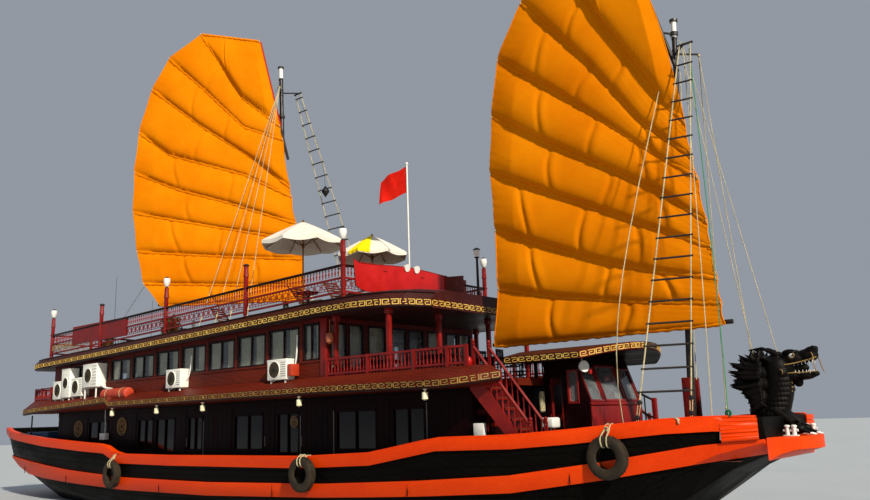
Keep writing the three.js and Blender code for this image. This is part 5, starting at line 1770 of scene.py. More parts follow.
@dataclass(frozen=True)
class SunDeck:
    """The open top deck: lattice and baluster rails, boards, lamps, plants and folding loungers."""

    frame: Frame
    rail_y: float = 3.38
    rail_height: float = 0.88
    lamp_height: float = 1.98
    posts: tuple[float, ...] = (-11.9, -7.9, -3.4, 1.15, 5.6)
    across: tuple[float, ...] = (-3.38, -1.7, 0.0, 1.7, 3.38)
    seed: int = 11

    def build(self) -> None:
        """Adds the deck's rails and everything that stands on it."""
        self.frame.dress("sun_deck_rail", RED_RAIL)
        self._fill_rails()
        self._post_caps()
        self._lamps()
        self._boards()
        self._plants()
        self._furniture()
        self._rig_boxes()

    def _runs(self) -> list[Track]:
        """Returns the rail's runs as tracks, each with its outboard side to the right."""
        runs = []
        for a, b in zip(self.posts, self.posts[1:]):
            runs.append(Track([(a, -self.rail_y, deck_level(a)), (b, -self.rail_y, deck_level(b))]))
            runs.append(Track([(b, self.rail_y, deck_level(b)), (a, self.rail_y, deck_level(a))]))
        for x, flip in ((self.posts[-1], 1), (self.posts[0], -1)):
            for a, b in zip(self.across, self.across[1:]):
                ends = [(x, flip * a, deck_level(x)), (x, flip * b, deck_level(x))]
                runs.append(Track(ends))
        return runs

    def _fill_rails(self) -> None:
        """Fills every run with lattice below a row of turned balusters."""
        gold, dark, places = [], [], []
        low, high = 0.2 * self.rail_height + 0.04, 0.62 * self.rail_height - 0.04
        foot, head = 0.62 * self.rail_height + 0.05, self.rail_height - 0.05
        for run in self._runs():
            count = max(2, round((run.length - 0.12) / 0.28))
            pitch = (run.length - 0.12) / count
            cell = self._lattice_cell(pitch, low, high)
            filled = run.wrapped(copies(cell, [move(0.06 + i * pitch, 0, 0) for i in range(count)]))
            (gold if min(run.points[:, 0]) < self.posts[1] - 1 else dark).append(filled)
            pegs = max(3, round(run.length / 0.13))
            for x, y, z in run.at((np.arange(pegs) + 0.5) * run.length / pegs):
                places.append(upright((float(x), float(y), float(z) + foot), head - foot))
        piece(joined(gold), "sun_deck_lattice_aft", OLD_GOLD)
        piece(joined(dark), "sun_deck_lattice", RED_RAIL)
        piece(copies(baluster(), places), "sun_deck_balusters", RED_RAIL)

    def _lattice_cell(self, pitch: float, low: float, high: float) -> Piece:
        """Adds one cell of lattice: a square in a square, tied to its neighbours."""
        w, t = 0.014, 0.010
        middle, rise = pitch / 2, high - low
        bars = [block((0, -t, low), (pitch, t, low + w)), block((0, -t, high - w), (pitch, t, high)),
                block((0, -t, low), (w, t, high))]
        x0, x1, z0, z1 = 0.2 * pitch, 0.86 * pitch, low + 0.24 * rise, low + 0.76 * rise
        bars += [block((x0, -t, z0), (x1, t, z0 + w)), block((x0, -t, z1 - w), (x1, t, z1)),
                 block((x0, -t, z0), (x0 + w, t, z1)), block((x1 - w, -t, z0), (x1, t, z1)),
                 block((middle, -t, z1), (middle + w, t, high)),
                 block((middle, -t, low), (middle + w, t, z0)),
                 block((0, -t, (low + high) / 2), (x0, t, (low + high) / 2 + w)),
                 block((x1, -t, (low + high) / 2), (pitch, t, (low + high) / 2 + w))]
        return joined(bars)

    def _post_caps(self) -> None:
        """Adds a cap, a foot and a square shaft to every rail post, and the rounded handrail."""
        caps, rails = [], []
        for x in self.posts:
            for side in (STARBOARD, PORT):
                caps.append((x, side * self.rail_y))
        for x in (self.posts[0], self.posts[-1]):
            caps += [(x, y) for y in self.across[1:-1]]
        template = joined([block((-0.075, -0.075, 0.87), (0.075, 0.075, 0.91), 0.01),
                           block((-0.06, -0.06, 0.02), (0.06, 0.06, 0.15), 0.01),
                           block((-0.055, -0.055, 0.15), (0.055, 0.055, 0.87), 0.008)])
        posts = copies(template, [move(x, y, deck_level(x)) for x, y in caps])
        piece(posts, "sun_deck_posts", RED_RAIL)
        for run in self._runs():
            bar = block((0.05, -0.05, self.rail_height - 0.03),
                        (run.length - 0.05, 0.05, self.rail_height + 0.035),
                        0.016, 3)
            rails.append(run.wrapped(bar))
        piece(joined(rails), "sun_deck_handrail", DARK_WOOD)

    def _lamps(self) -> None:
        """Adds urn lamps on the posts of the rail."""
        shades, bases, posts = [], [], []
        for k, x in enumerate(self.posts):
            for side in (STARBOARD, PORT):
                at = (x, side * self.rail_y, deck_level(x))
                tall = self.lamp_height - 0.38
                posts.append(block((at[0] - 0.055, at[1] - 0.055, at[2] + 0.87),
                                   (at[0] + 0.055, at[1] + 0.055, at[2] + tall), 0.01))
                if k % 2:
                    bases.append(turned([(0.10, tall), (0.10, tall + 0.03), (0.03, tall + 0.07)], at, 12))
                    continue
                bases.append(turned([(0.05, tall), (0.05, tall + 0.03), (0.03, tall + 0.05)], at, 12))
                bases.append(turned([(0.10, tall + 0.33), (0.05, tall + 0.38), (0.012, tall + 0.40)], at,
                                    12))
                shades.append(turned([(0.05, tall + 0.04), (0.09, tall + 0.10), (0.12, tall + 0.22),
                                      (0.115, tall + 0.30), (0.10, tall + 0.335)], at, 16))
        piece(joined(posts), "rail_lamp_posts", RED_RAIL)
        piece(joined(bases), "rail_lamp_bases", DARK_METAL)
        piece(joined(shades), "rail_lamp_shades", WHITE_PAINT)

    def _boards(self) -> None:
        """Adds the red board across the fore rail, with its edge, divider and end panel."""
        x, level = 5.635, deck_level(5.6)
        outline = [(-3.02, 1.11), (-2.94, 0.34), (-2.75, 0.24), (-2.51, 0.20), (-1.05, 0.30), (1.12, 0.31),
                   (1.16, 1.07), (0.31, 1.11), (-0.6, 1.14), (-1.5, 1.09), (-2.24, 1.03), (-2.8, 1.01)]
        front = prism([(y, level + h) for y, h in outline], x, x + 0.022, Plane.YZ)
        bevelled(front, 0.006)
        rim = rope([(x + 0.02, y, level + h) for y, h in [*outline, outline[0]]], 0.012, 1, False)
        panel = bevelled(prism([(1.25, level + 0.29), (2.08, level + 0.30), (2.13, level + 1.2),
                                (1.25, level + 1.06)],
                               x - 0.02, x + 0.03, Plane.YZ), 0.01)
        divider = block((x, 1.13, level + 0.2), (x + 0.05, 1.22, level + 1.08), 0.01)
        piece(front, "sun_deck_board", RED_BOARD)
        piece(rim, "sun_deck_board_rim", RED_RAIL)
        piece(joined([panel, divider]), "sun_deck_end_panel", MAHOGANY)

    def _plants(self) -> None:
        """Sets out pot plants between the rail and the mast."""
        rng = random.Random(self.seed)
        pots, leaves = [], []
        spots = [(-4.4, -2.7, 0.75), (-3.7, -2.9, 0.5), (-6.0, 2.6, 0.9), (-2.9, 2.7, 0.7),
                 (-9.0, -2.5, 0.8), (-10.8, 2.2, 1.0), (0.4, 2.8, 0.7)]
        for x, y, tall in spots:
            z = deck_level(x) + 0.013
            pots.append(turned([(0.14, 0), (0.17, 0.05), (0.21, 0.30), (0.23, 0.34), (0.19, 0.35)],
                               (x, y, z), 16))
            for _ in range(26):
                angle, lean = rng.uniform(0, 2 * math.pi), rng.uniform(0.15, 0.75)
                length = tall * rng.uniform(0.6, 1.0)
                leaves.append(move(x, y, z + 0.32) @ turn_z(angle) @ Matrix.Rotation(lean, 4, "Y")
                              @ Matrix.Diagonal((rng.uniform(0.8, 1.3), rng.uniform(0.8, 1.3), length, 1)))
        piece(joined(pots), "plant_pots", BRONZE)
        piece(copies(leaf_blade(), leaves), "plant_leaves", LEAVES)

    def _furniture(self) -> None:
        """Sets out folding loungers and small tables under the sunshades."""
        loungers = [move(x, y, deck_level(x) + 0.013) @ turn_z(angle) for x, y, angle in (
            (2.2, -1.5, 0.1), (3.6, -1.4, -0.1), (2.3, 1.4, 0.05), (3.7, 1.6, 0.0), (-2.6, -1.2, 0.1),
            (-2.6, 1.3, -0.08), (-5.4, -1.4, 0.0), (-5.4, 1.3, 0.1))]
        piece(copies(lounger(), loungers), "sun_deck_loungers", DECK_WOOD)
        small = copies(table(), [move(x, y, deck_level(x) + 0.013) @ Matrix.Diagonal((0.7, 0.7, 0.75, 1))
                                 for x, y in ((3.0, -2.4), (3.1, 0.7), (-3.8, 0.2))])
        piece(small, "sun_deck_tables", DARK_WOOD)

    def _rig_boxes(self) -> None:
        """Adds a locker at the mast and the floodlights on the fore rail."""
        z = deck_level(-1.9)
        parts = [block((-2.3, -0.6, z + 0.01), (-1.55, 0.6, z + 0.62), 0.02),
                 block((-2.34, -0.64, z + 0.62), (-1.51, 0.64, z + 0.68), 0.015)]
        piece(joined(parts), "mast_locker", RED_WOOD)
        lamps = []
        level = deck_level(5.6) + self.rail_height
        for y in (-0.75, -0.3):
            lamps.append(rod((5.6, y, level), (5.6, y, level + 0.16), 0.018, sides=8))
            lamps.append(turned([(0.05, -0.07), (0.09, 0.0), (0.12, 0.08), (0.12, 0.10)],
                                (5.62, y, level + 0.24), 12, (0.9, 0, -0.25)))
        piece(joined(lamps), "rail_floodlights", WHITE_PAINT)


def leaf_blade() -> Piece:
    """Adds one arched leaf, a metre long before it is set in its place."""
    def at(s: float, t: float) -> Point:
        """Returns a place on the leaf."""
        width = 0.055 * math.sin(math.pi * (0.08 + 0.9 * t)) ** 0.8
        return (0.34 * t * t, (s - 0.5) * 2 * width, t * (1 - 0.18 * t))
    obj = sheet_grid(2, 6, at)
    seal(obj, 0)
    return modified(obj, "SOLIDIFY", thickness=0.004, offset=0)


def lounger() -> Piece:
    """Adds one folding lounger of slats on a crossed frame, facing +X."""
    parts = []
    for y in (-0.28, 0.28):
        parts.append(rod((-0.75, y, 0.0), (0.55, y, 0.42), 0.022, sides=8))
        parts.append(rod((0.6, y, 0.0), (-0.35, y, 0.42), 0.022, sides=8))
        parts.append(rod((-0.3, y, 0.40), (-0.85, y, 1.02), 0.022, sides=8))
    for i in range(9):
        x = -0.3 + i * 0.105
        parts.append(block((x, -0.3, 0.42), (x + 0.08, 0.3, 0.438), 0.005, 1))
    for i in range(6):
        s = i / 6
        parts.append(rod((-0.36 - 0.5 * s, -0.29, 0.48 + 0.56 * s), (-0.36 - 0.5 * s, 0.29, 0.48 + 0.56 * s),
                         0.026, sides=8))
    return joined(parts)


@dataclass(frozen=True)
class Sunshade:
    """One eight-sided umbrella: a stretched canopy on ribs, struts and a pole with a heavy foot."""

    node: str
    x: float
    y: float
    reach: float
    rim: float = 8.30
    apex: float = 8.98
    ribs: int = 8
    draped: Flat = ()

    def build(self) -> None:
        """Adds the umbrella in place of its CAD node."""
        name = self.node
        canopy = piece(self._canopy(), f"{name}_canopy", CANOPY)
        self._frame(name)
        if self.draped:
            cloth = piece(self._cloth(), f"{name}_cloth", YELLOW_CLOTH)

    def _canopy(self) -> Piece:
        """Adds the canopy: taut panels that sag a little between the ribs, with a short valance."""
        obj = sheet_grid(8 * self.ribs, 10, self._at)
        seal(obj, 1e-4)
        return modified(obj, "SOLIDIFY", thickness=0.006, offset=0)

    def _at(self, s: float, t: float, lift: float = 0.0) -> Point:
        """Returns a place on the canopy; t runs from the apex to the hem."""
        angle = 2 * math.pi * s + math.pi / self.ribs
        within = (s * self.ribs) % 1.0
        flat = (math.cos(math.pi / self.ribs)
                / math.cos(math.pi / self.ribs - within * 2 * math.pi / self.ribs))
        share = min(1.0, t / 0.9)
        belly = math.sin(math.pi * within) * 0.05 * share
        reach = self.reach * (0.02 + 0.98 * share) * (flat - 0.35 * belly) + lift
        drop = (self.apex - self.rim) * (share ** 1.12)
        hem = max(0.0, t - 0.9) / 0.1
        z = self.apex - drop - belly * 0.8 - hem * (0.10 + 0.03 * abs(math.sin(math.pi * within))) + lift
        return (self.x + reach * math.cos(angle), self.y + reach * math.sin(angle), z)

    def _cloth(self) -> Piece:
        """Adds the yellow cloth that lies over part of the canopy."""
        low, high = self.draped

        def at(s: float, t: float) -> Point:
            """Returns a place on the cloth, with a few soft ridges."""
            ridge = 0.012 + 0.01 * math.sin(9 * math.pi * s) * t
            return self._at(low + (high - low) * s, 0.04 + 0.95 * t, ridge + 0.006)
        obj = sheet_grid(24, 12, at)
        seal(obj, 0)
        return modified(obj, "SOLIDIFY", thickness=0.005, offset=0)

    def _frame(self, name: str) -> None:
        """Adds the ribs, their struts, the pole, its foot and the finial."""
        parts = []
        level = deck_level(self.x)
        runner = (self.x, self.y, self.rim - 0.12)
        for i in range(self.ribs):
            angle = 2 * math.pi * i / self.ribs + math.pi / self.ribs
            c, s = math.cos(angle), math.sin(angle)
            tip = (self.x + c * self.reach * 0.985, self.y + s * self.reach * 0.985, self.rim - 0.028)
            parts.append(rod((self.x, self.y, self.apex - 0.05), tip, 0.013, sides=6))
            half = (self.x + c * self.reach * 0.5, self.y + s * self.reach * 0.5,
                    (self.rim + self.apex) / 2 - 0.05)
            parts.append(rod(runner, half, 0.010, sides=6))
        parts.append(rod((self.x, self.y, level + 0.05), (self.x, self.y, self.apex - 0.02), 0.024,
                         sides=16))
        parts.append(turned([(0.05, -0.05), (0.05, 0.05), (0.03, 0.08)], runner, 16))
        parts.append(turned([(0.23, 0.0), (0.23, 0.06), (0.08, 0.12), (0.035, 0.30)],
                            (self.x, self.y, level + 0.013), 24))
        parts.append(turned([(0.04, -0.02), (0.05, 0.02), (0.012, 0.08)], (self.x, self.y, self.apex), 12))
        piece(joined(parts), f"{name}_frame", BRONZE, replaces=[self.node])


@dataclass(frozen=True)
class Flag:
    """The plain red flag and its white pole."""

    frame: Frame
    pole: Flat = (5.3, -0.2)
    top: float = 10.8
    fly: float = 1.2
    hoist: float = 0.88
    droop: float = 0.27

    def build(self) -> None:
        """Adds the pole's fittings and the flag's cloth."""
        self.frame.dress("flag_pole", WHITE_PAINT)
        x, y = self.pole
        ball = turned([(0.02, -0.02), (0.045, 0.0), (0.05, 0.04), (0.03, 0.075), (0.008, 0.085)],
                      (x, y, self.top), 12)
        cleats = [rod((x - 0.03, y, z), (x - 0.03, y, z + 0.05), 0.01, sides=8)
                  for z in (self.top - 0.1, 9.88)]
        line = rope([(x - 0.032, y, 7.2), (x - 0.04, y, 8.6), (x - 0.034, y, self.top - 0.02)], 0.006, 2)
        piece(joined([ball, *cleats, line]), "flag_pole_fittings", WHITE_PAINT)
        cloth = piece(closed(sheet_grid(44, 30, self._at)), "flag_cloth", FLAG_CLOTH, replaces=["flag"])

    def _at(self, s: float, t: float) -> Point:
        """Returns a place on the flag, from the hoist along the fly."""
        x = self.pole[0] - 0.034 - s * (self.fly - 0.04)
        wave = 0.075 * s ** 0.7 * math.sin(5.4 * s + 1.4 * t) + 0.03 * s * math.sin(11 * s - 2.2 * t + 1)
        z = self.top - 0.06 - self.hoist * (1 - t) - self.droop * s ** 1.35 * (0.75 + 0.25 * t)
        return (x, self.pole[1] + wave, z + 0.012 * math.sin(9 * s + 2 * t))


@dataclass(frozen=True)
class CoolingUnit:
    """One air unit on the cabin wall: a cased fan behind a round grille."""

    x0: float
    x1: float
    z0: float
    z1: float
    depth: float
    fan_x: float
    fan_r: float

    def parts(self, wall: float) -> dict[str, list[Piece]]:
        """Adds the unit's parts and returns them by their finish."""
        face = -(wall + self.depth)
        z = (self.z0 + self.z1) / 2
        made: dict[str, list[Piece]] = {"case": [], "dark": [], "fan": []}
        made["case"].append(block((self.x0, face, self.z0), (self.x1, -wall - 0.004, self.z1), 0.02, 3))
        made["case"].append(block((self.x0 - 0.006, face - 0.004, self.z1 - 0.06),
                                  (self.x1 + 0.006, -wall, self.z1 + 0.008),
                                  0.008, 2))
        at = (self.fan_x, face - 0.004, z)
        made["case"].append(ring(at, self.fan_r + 0.012, 0.014, (0, 1, 0), 32, 8))
        made["fan"].append(turned([(self.fan_r, 0.0), (self.fan_r, 0.008)], (self.fan_x, face - 0.006, z),
                                  32, (0, 1, 0)))
        for k in range(1, 5):
            made["dark"].append(ring((self.fan_x, face - 0.016, z), self.fan_r * k / 4.6, 0.004, (0, 1, 0),
                                     28, 5))
        for k in range(12):
            a = 2 * math.pi * k / 12
            made["dark"].append(rod((self.fan_x, face - 0.016, z),
                                    (self.fan_x + self.fan_r * math.cos(a), face - 0.012,
                                     z + self.fan_r * math.sin(a)), 0.0035, sides=5))
        made["dark"].append(turned([(0.045, 0.0), (0.045, -0.016), (0.03, -0.022)],
                                   (self.fan_x, face - 0.012, z), 16, (0, 1, 0)))
        width = self.x1 - (self.fan_x + self.fan_r)
        for k in range(7):
            zz = self.z0 + 0.1 + k * (self.z1 - self.z0 - 0.2) / 6
            if width > 0.12:
                made["dark"].append(block((self.fan_x + self.fan_r + 0.05, face - 0.006, zz),
                                          (self.x1 - 0.04, face + 0.004, zz + 0.014), 0.003, 1))
        return made


@dataclass(frozen=True)
class AirUnits:
    """The air units, their brackets and pipes, and the rolled tarpaulin on the starboard side."""

    frame: Frame
    wall: float = 3.4

    def units(self) -> dict[str, list[CoolingUnit]]:
        """Returns the units of each CAD node."""
        return {
            "air_unit_middle": [CoolingUnit(-2.69, -1.82, 3.96, 4.57, 0.33, -2.36, 0.235)],
            "air_unit_fore": [CoolingUnit(2.70, 3.57, 3.93, 4.52, 0.33, 3.02, 0.235)],
            "air_unit_tower": [CoolingUnit(-8.31, -7.24, 4.25, 5.12, 0.40, -7.9, 0.26)],
            "air_unit_pair": [CoolingUnit(-10.82, -10.05, 3.90, 4.60, 0.33, -10.44, 0.25),
                              CoolingUnit(-10.04, -9.36, 3.94, 5.06, 0.38, -9.7, 0.20),
                              CoolingUnit(-9.34, -8.48, 3.96, 4.66, 0.33, -9.0, 0.25)],
        }

    def build(self) -> None:
        """Adds every unit in place of its CAD node."""
        for node, units in self.units().items():
            cases, dark, fans = [], [], []
            for unit in units:
                made = unit.parts(self.wall)
                cases += made["case"]
                dark += made["dark"]
                fans += made["fan"]
                for x in (unit.x0 + 0.12, unit.x1 - 0.12):
                    foot = 3.72 if node == "air_unit_tower" else unit.z0 - 0.1
                    cases.append(block((x - 0.02, -self.wall - unit.depth + 0.05, foot),
                                       (x + 0.02, -self.wall - unit.depth + 0.09, unit.z0 + 0.01)))
                    cases.append(block((x - 0.02, -self.wall - unit.depth + 0.04, unit.z0 - 0.03),
                                       (x + 0.02, -self.wall, unit.z0)))
            piece(joined(cases), f"{node}_case", ENAMEL, replaces=[node])
            piece(joined(dark), f"{node}_grille", DARK_METAL)
            piece(joined(fans), f"{node}_fan", FAN_BROWN)
        self._pipes()
        self._drum()

    def _pipes(self) -> None:
        """Runs the white lagged pipes along the wall."""
        pipes = [
            rope([(-7.24, -3.6, 4.35), (-7.0, -3.6, 4.15), (-6.3, -3.62, 4.18), (-6.0, -3.6, 3.95),
                  (-5.9, -3.6, 3.75)],
                 0.045),
            rope([(-8.31, -3.55, 4.9), (-8.45, -3.5, 4.8), (-8.5, -3.46, 4.4)], 0.03),
            rope([(-1.82, -3.5, 4.2), (-1.7, -3.47, 4.25), (-1.66, -3.45, 4.6), (-1.66, -3.43, 5.0)], 0.022),
            rope([(3.57, -3.5, 4.2), (3.68, -3.48, 4.25), (3.72, -3.46, 4.5), (3.72, -3.45, 5.2)], 0.022),
        ]
        piece(joined(pipes), "air_unit_pipes", WHITE_PAINT)
        box = block((3.60, -3.72, 4.02), (3.78, -3.42, 4.36), 0.012)
        piece(box, "pipe_cover", TARPAULIN)

    def _drum(self) -> None:
        """Adds the rolled tarpaulin, with its creases and two lashings."""
        def lay(co: np.ndarray) -> np.ndarray:
            """Presses soft ridges into the roll."""
            out = co.copy()
            swell = 1 + 0.02 * np.sin(co[:, 0] * 9) + 0.014 * np.sin(co[:, 0] * 23 + co[:, 2] * 5)
            pinch = 1 - 0.06 * np.exp(-((np.abs(co[:, 0] + 6.0) - 0.5) / 0.06) ** 2)
            out[:, 1] = -3.64 + (co[:, 1] + 3.64) * swell * pinch
            out[:, 2] = 3.93 + (co[:, 2] - 3.93) * swell * pinch
            return out
        roll = turned([(0.16, 0), (0.2, 0.02), (0.206, 0.08),
                       *[(0.206, 0.08 + 0.06 * i) for i in range(1, 26)],
                       (0.2, 1.66), (0.16, 1.68)], (-6.84, -3.64, 3.93), 36, (1, 0, 0))
        piece(bent(roll, lay), "rolled_tarpaulin", TARPAULIN, replaces=["deck_drum"])
        ties = [ring((x, -3.64, 3.93), 0.205, 0.011, (1, 0, 0), 28, 6) for x in (-6.5, -5.5)]
        piece(joined(ties), "tarpaulin_lashings", ROPE)


BROWN_CURTAIN = Finish("brown_curtain", "curtain_cloth", srgb(0x3A2012), srgb(0x5E3A22), Grain.CLOTH, 0.85,
                       0.05, 2.0)


@dataclass(frozen=True)
class Wheelhouse:
    """The wheelhouse on the foredeck: raked front glass, a bowed roof with gold bands, wheel and lights."""

    frame: Frame
    front: float = 12.05
    half: float = 1.4
    sill: float = 2.96
    rake: float = 0.33
    roof_half: float = 2.1
    roof_aft: float = 10.06
    roof_front: float = 12.25
    bow: float = 0.8
    under: float = 3.965
    camber: float = 0.25

    def raked(self, z: float) -> float:
        """Returns the front wall's X at a height."""
        return self.front - self.rake * max(0.0, z - self.sill) / 0.95

    def build(self) -> None:
        """Adds the wheelhouse's pieces."""
        self.frame.dress("wheelhouse", SALOON_WOOD)
        self.frame.softened("wheelhouse_roof", "wheelhouse_roof_shell", EAVE, SHIP, 0.025, 3)
        self._bands()
        self._front_glass()
        self._sides()
        self._helm()
        self._door()
        self._outside()
        self._soffit()

    def _soffit(self) -> None:
        """Lines the underside of the roof with dark boards."""
        def at(s: float, t: float) -> Point:
            """Returns a place just under the roof, with s along the ship and t across."""
            y = (self.roof_half - 0.03) * (2 * t - 1)
            rise = 1 - (y / self.roof_half) ** 2
            x0, x1 = self.roof_aft + 0.03, self.roof_front + self.bow * rise - 0.03
            return (x0 + (x1 - x0) * s, y, self.under + self.camber * rise - 0.008)
        lining = seal(sheet_grid(6, 24, at), 0)
        piece(modified(lining, "SOLIDIFY", thickness=0.008, offset=0), "wheelhouse_soffit", HULL_BLACK)

    def _bands(self) -> None:
        """Runs the gold key band round the roof's bowed front and its sides."""
        rows = []
        for i in range(25):
            y = self.roof_half * (-1 + 2 * i / 24)
            rise = 1 - (y / self.roof_half) ** 2
            rows.append((self.roof_front + self.bow * rise + 0.002, y, self.under + self.camber * rise))
        front = Track(rows)
        cells = 36
        back = copies(block((0, 0, 0.008), (front.length / cells, 0.006, 0.182)),
                      [move(i * front.length / cells, 0, 0) for i in range(cells)])
        piece(front.wrapped(seal(back, 1e-5)), "wheelhouse_fascia_board", RED_WOOD)
        KeyBand("wheelhouse_fascia_band", height=0.125, pitch=0.40, relief=0.02,
                stroke=0.17).build(front, 0.034)
        for name, side in SIDES.items():
            ends = [(self.roof_aft + 0.03, side * (self.roof_half + 0.002), self.under),
                    (self.roof_front - 0.02, side * (self.roof_half + 0.002), self.under)]
            KeyBand(f"wheelhouse_side_band_{name}", height=0.125,
                    pitch=0.42).build(Track(ends[::-side]), 0.034)

    def _front_glass(self) -> None:
        """Sets the three raked panes in red frames."""
        frames, panes = [], []
        for y0, y1, z1 in ((-1.29, -0.64, 3.8), (-0.52, 0.52, 3.86), (0.64, 1.29, 3.8)):
            z0 = self.sill + 0.04
            frames += self._raked_frame(y0, y1, z0, z1)
            outline = [(self.raked(z0) - 0.036, z0), (self.raked(z0) - 0.028, z0),
                       (self.raked(z1) - 0.028, z1), (self.raked(z1) - 0.036, z1)]
            panes.append(prism(outline, y0, y1))
        piece(joined(frames), "wheelhouse_front_frames", RED_RAIL)
        glass = piece(joined(panes), "wheelhouse_front_panes", GLASS)
        glass.visible_shadow = False
        boards = [block((self.front, -1.36 + i * 0.21, 1.72), (self.front + 0.016, -1.16 + i * 0.21, 2.86),
                        0.006, 1)
                  for i in range(13)]
        boards.append(block((self.front, -1.4, 2.88), (self.front + 0.035, 1.4, 2.96), 0.01))
        boards.append(block((self.front, -1.4, 1.6), (self.front + 0.03, 1.4, 1.7), 0.01))
        piece(joined(boards), "wheelhouse_front_boards", RED_RAIL)

    def _raked_frame(self, y0: float, y1: float, z0: float, z1: float) -> list[Piece]:
        """Adds the four members of one raked window frame."""
        def bar(za: float, zb: float, ya: float, yb: float) -> Piece:
            """Adds one member that follows the rake."""
            outline = [(self.raked(za) - 0.06, za), (self.raked(za) + 0.018, za),
                       (self.raked(zb) + 0.018, zb), (self.raked(zb) - 0.06, zb)]
            return bevelled(prism(outline, ya, yb), 0.006, 2)
        w = 0.05
        return [bar(z0 - 0.03, z0 + w - 0.03, y0 - 0.03, y1 + 0.03),
                bar(z1 - w + 0.03, z1 + 0.03, y0 - 0.03, y1 + 0.03),
                bar(z0, z1, y0 - 0.03, y0 + 0.02), bar(z0, z1, y1 - 0.02, y1 + 0.03)]

    def _sides(self) -> None:
        """Frames the side windows and hangs the brown curtain in the fore corner."""
        port = Opening(11.0, 11.6, self.sill, 3.74)
        near = Opening(11.48, 11.76, self.sill, 3.74)
        frames = [window_frame(port, self.half, PORT, 0),
                  window_frame(near, self.half, STARBOARD, 0, 0.08, 0.04)]
        piece(joined(frames), "wheelhouse_side_frames", RED_RAIL)
        panes = [block((o.x0, s * 1.375 - 0.004, o.sill), (o.x1, s * 1.375 + 0.004, o.head), 0.001, 1)
                 for o, s in ((port, PORT), (near, STARBOARD))]
        glass = piece(joined(panes), "wheelhouse_side_panes", GLASS)
        glass.visible_shadow = False
        cloth = piece(curtain(11.42, 11.78, -1.31, 2.9, 3.78, 6, 0.03), "wheelhouse_curtain", BROWN_CURTAIN)

    def _helm(self) -> None:
        """Adds the steering stand with its spoked wheel, and a bench."""
        hub = (11.36, 0.0, 2.75)
        parts = [ring(hub, 0.36, 0.022, (1, 0, 0), 32, 8), ring(hub, 0.30, 0.014, (1, 0, 0), 32, 6)]
        for k in range(8):
            a = math.pi * k / 4
            parts.append(rod(hub, (hub[0], 0.48 * math.cos(a), hub[2] + 0.48 * math.sin(a)), 0.016, 0.02, 8))
        parts.append(turned([(0.07, -0.04), (0.08, 0.0), (0.05, 0.05)], hub, 16, (1, 0, 0)))
        parts.append(block((11.42, -0.2, 1.605), (11.6, 0.2, 2.95), 0.02))
        parts.append(block((10.95, 0.5, 1.605), (11.35, 1.3, 2.05), 0.02))
        parts.append(rod((11.35, 0, 2.75), (11.43, 0, 2.75), 0.03))
        piece(joined(parts), "steering_stand", DARK_WOOD)

    def _door(self) -> None:
        """Finishes the open door with its panels and handle; they ride with the door."""
        self.frame.softened("wheelhouse_door", "wheelhouse_door_leaf", RED_WOOD, "wheelhouse_door", 0.006)
        low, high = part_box("wheelhouse_door")
        y0, y1 = low.y, high.y
        x = high.x
        parts = [block((x - 0.004, y0 + 0.09, z0), (x + 0.006, y1 - 0.07, z1), 0.004)
                 for z0, z1 in ((1.82, 2.55), (2.68, 3.42))]
        parts.append(rod((x + 0.004, y1 - 0.05, 2.56), (x + 0.045, y1 - 0.05, 2.56), 0.009, sides=8))
        piece(joined(parts), "wheelhouse_door_panels", DARK_WOOD, "wheelhouse_door")

    def _outside(self) -> None:
        """Adds the searchlight, the side lamp, the wash basin and a rolled awning by the door."""
        light = [turned([(0.03, 0.0), (0.11, 0.03), (0.14, 0.10), (0.14, 0.13)], (11.93, -1.47, 3.80), 20,
                        (1, -0.5, 0.1)),
                 rod((11.96, -1.48, 3.80), (11.96, -1.48, 4.02), 0.012, sides=8)]
        piece(joined(light), "wheelhouse_searchlight", WHITE_PAINT)
        lamp = turned([(0.03, 0.0), (0.045, 0.03), (0.045, 0.10), (0.02, 0.12)], (12.1, -1.36, 3.62), 12)
        piece(lamp, "wheelhouse_side_lamp", RED_BOARD)
        basin = [block((10.86, -1.78, 2.36), (11.22, -1.42, 2.62), 0.05, 3),
                 rod((11.04, -1.6, 1.61), (11.04, -1.6, 2.4),
                   0.03, sides=10)]
        piece(joined(basin), "wash_basin", WHITE_PAINT)
        roll = turned([(0.03, 0), (0.07, 0.03), (0.075, 0.4), (0.06, 0.5), (0.03, 0.52)],
                      (10.78, -1.52, 2.75), 14)
        piece(roll, "rolled_awning", ROPE)


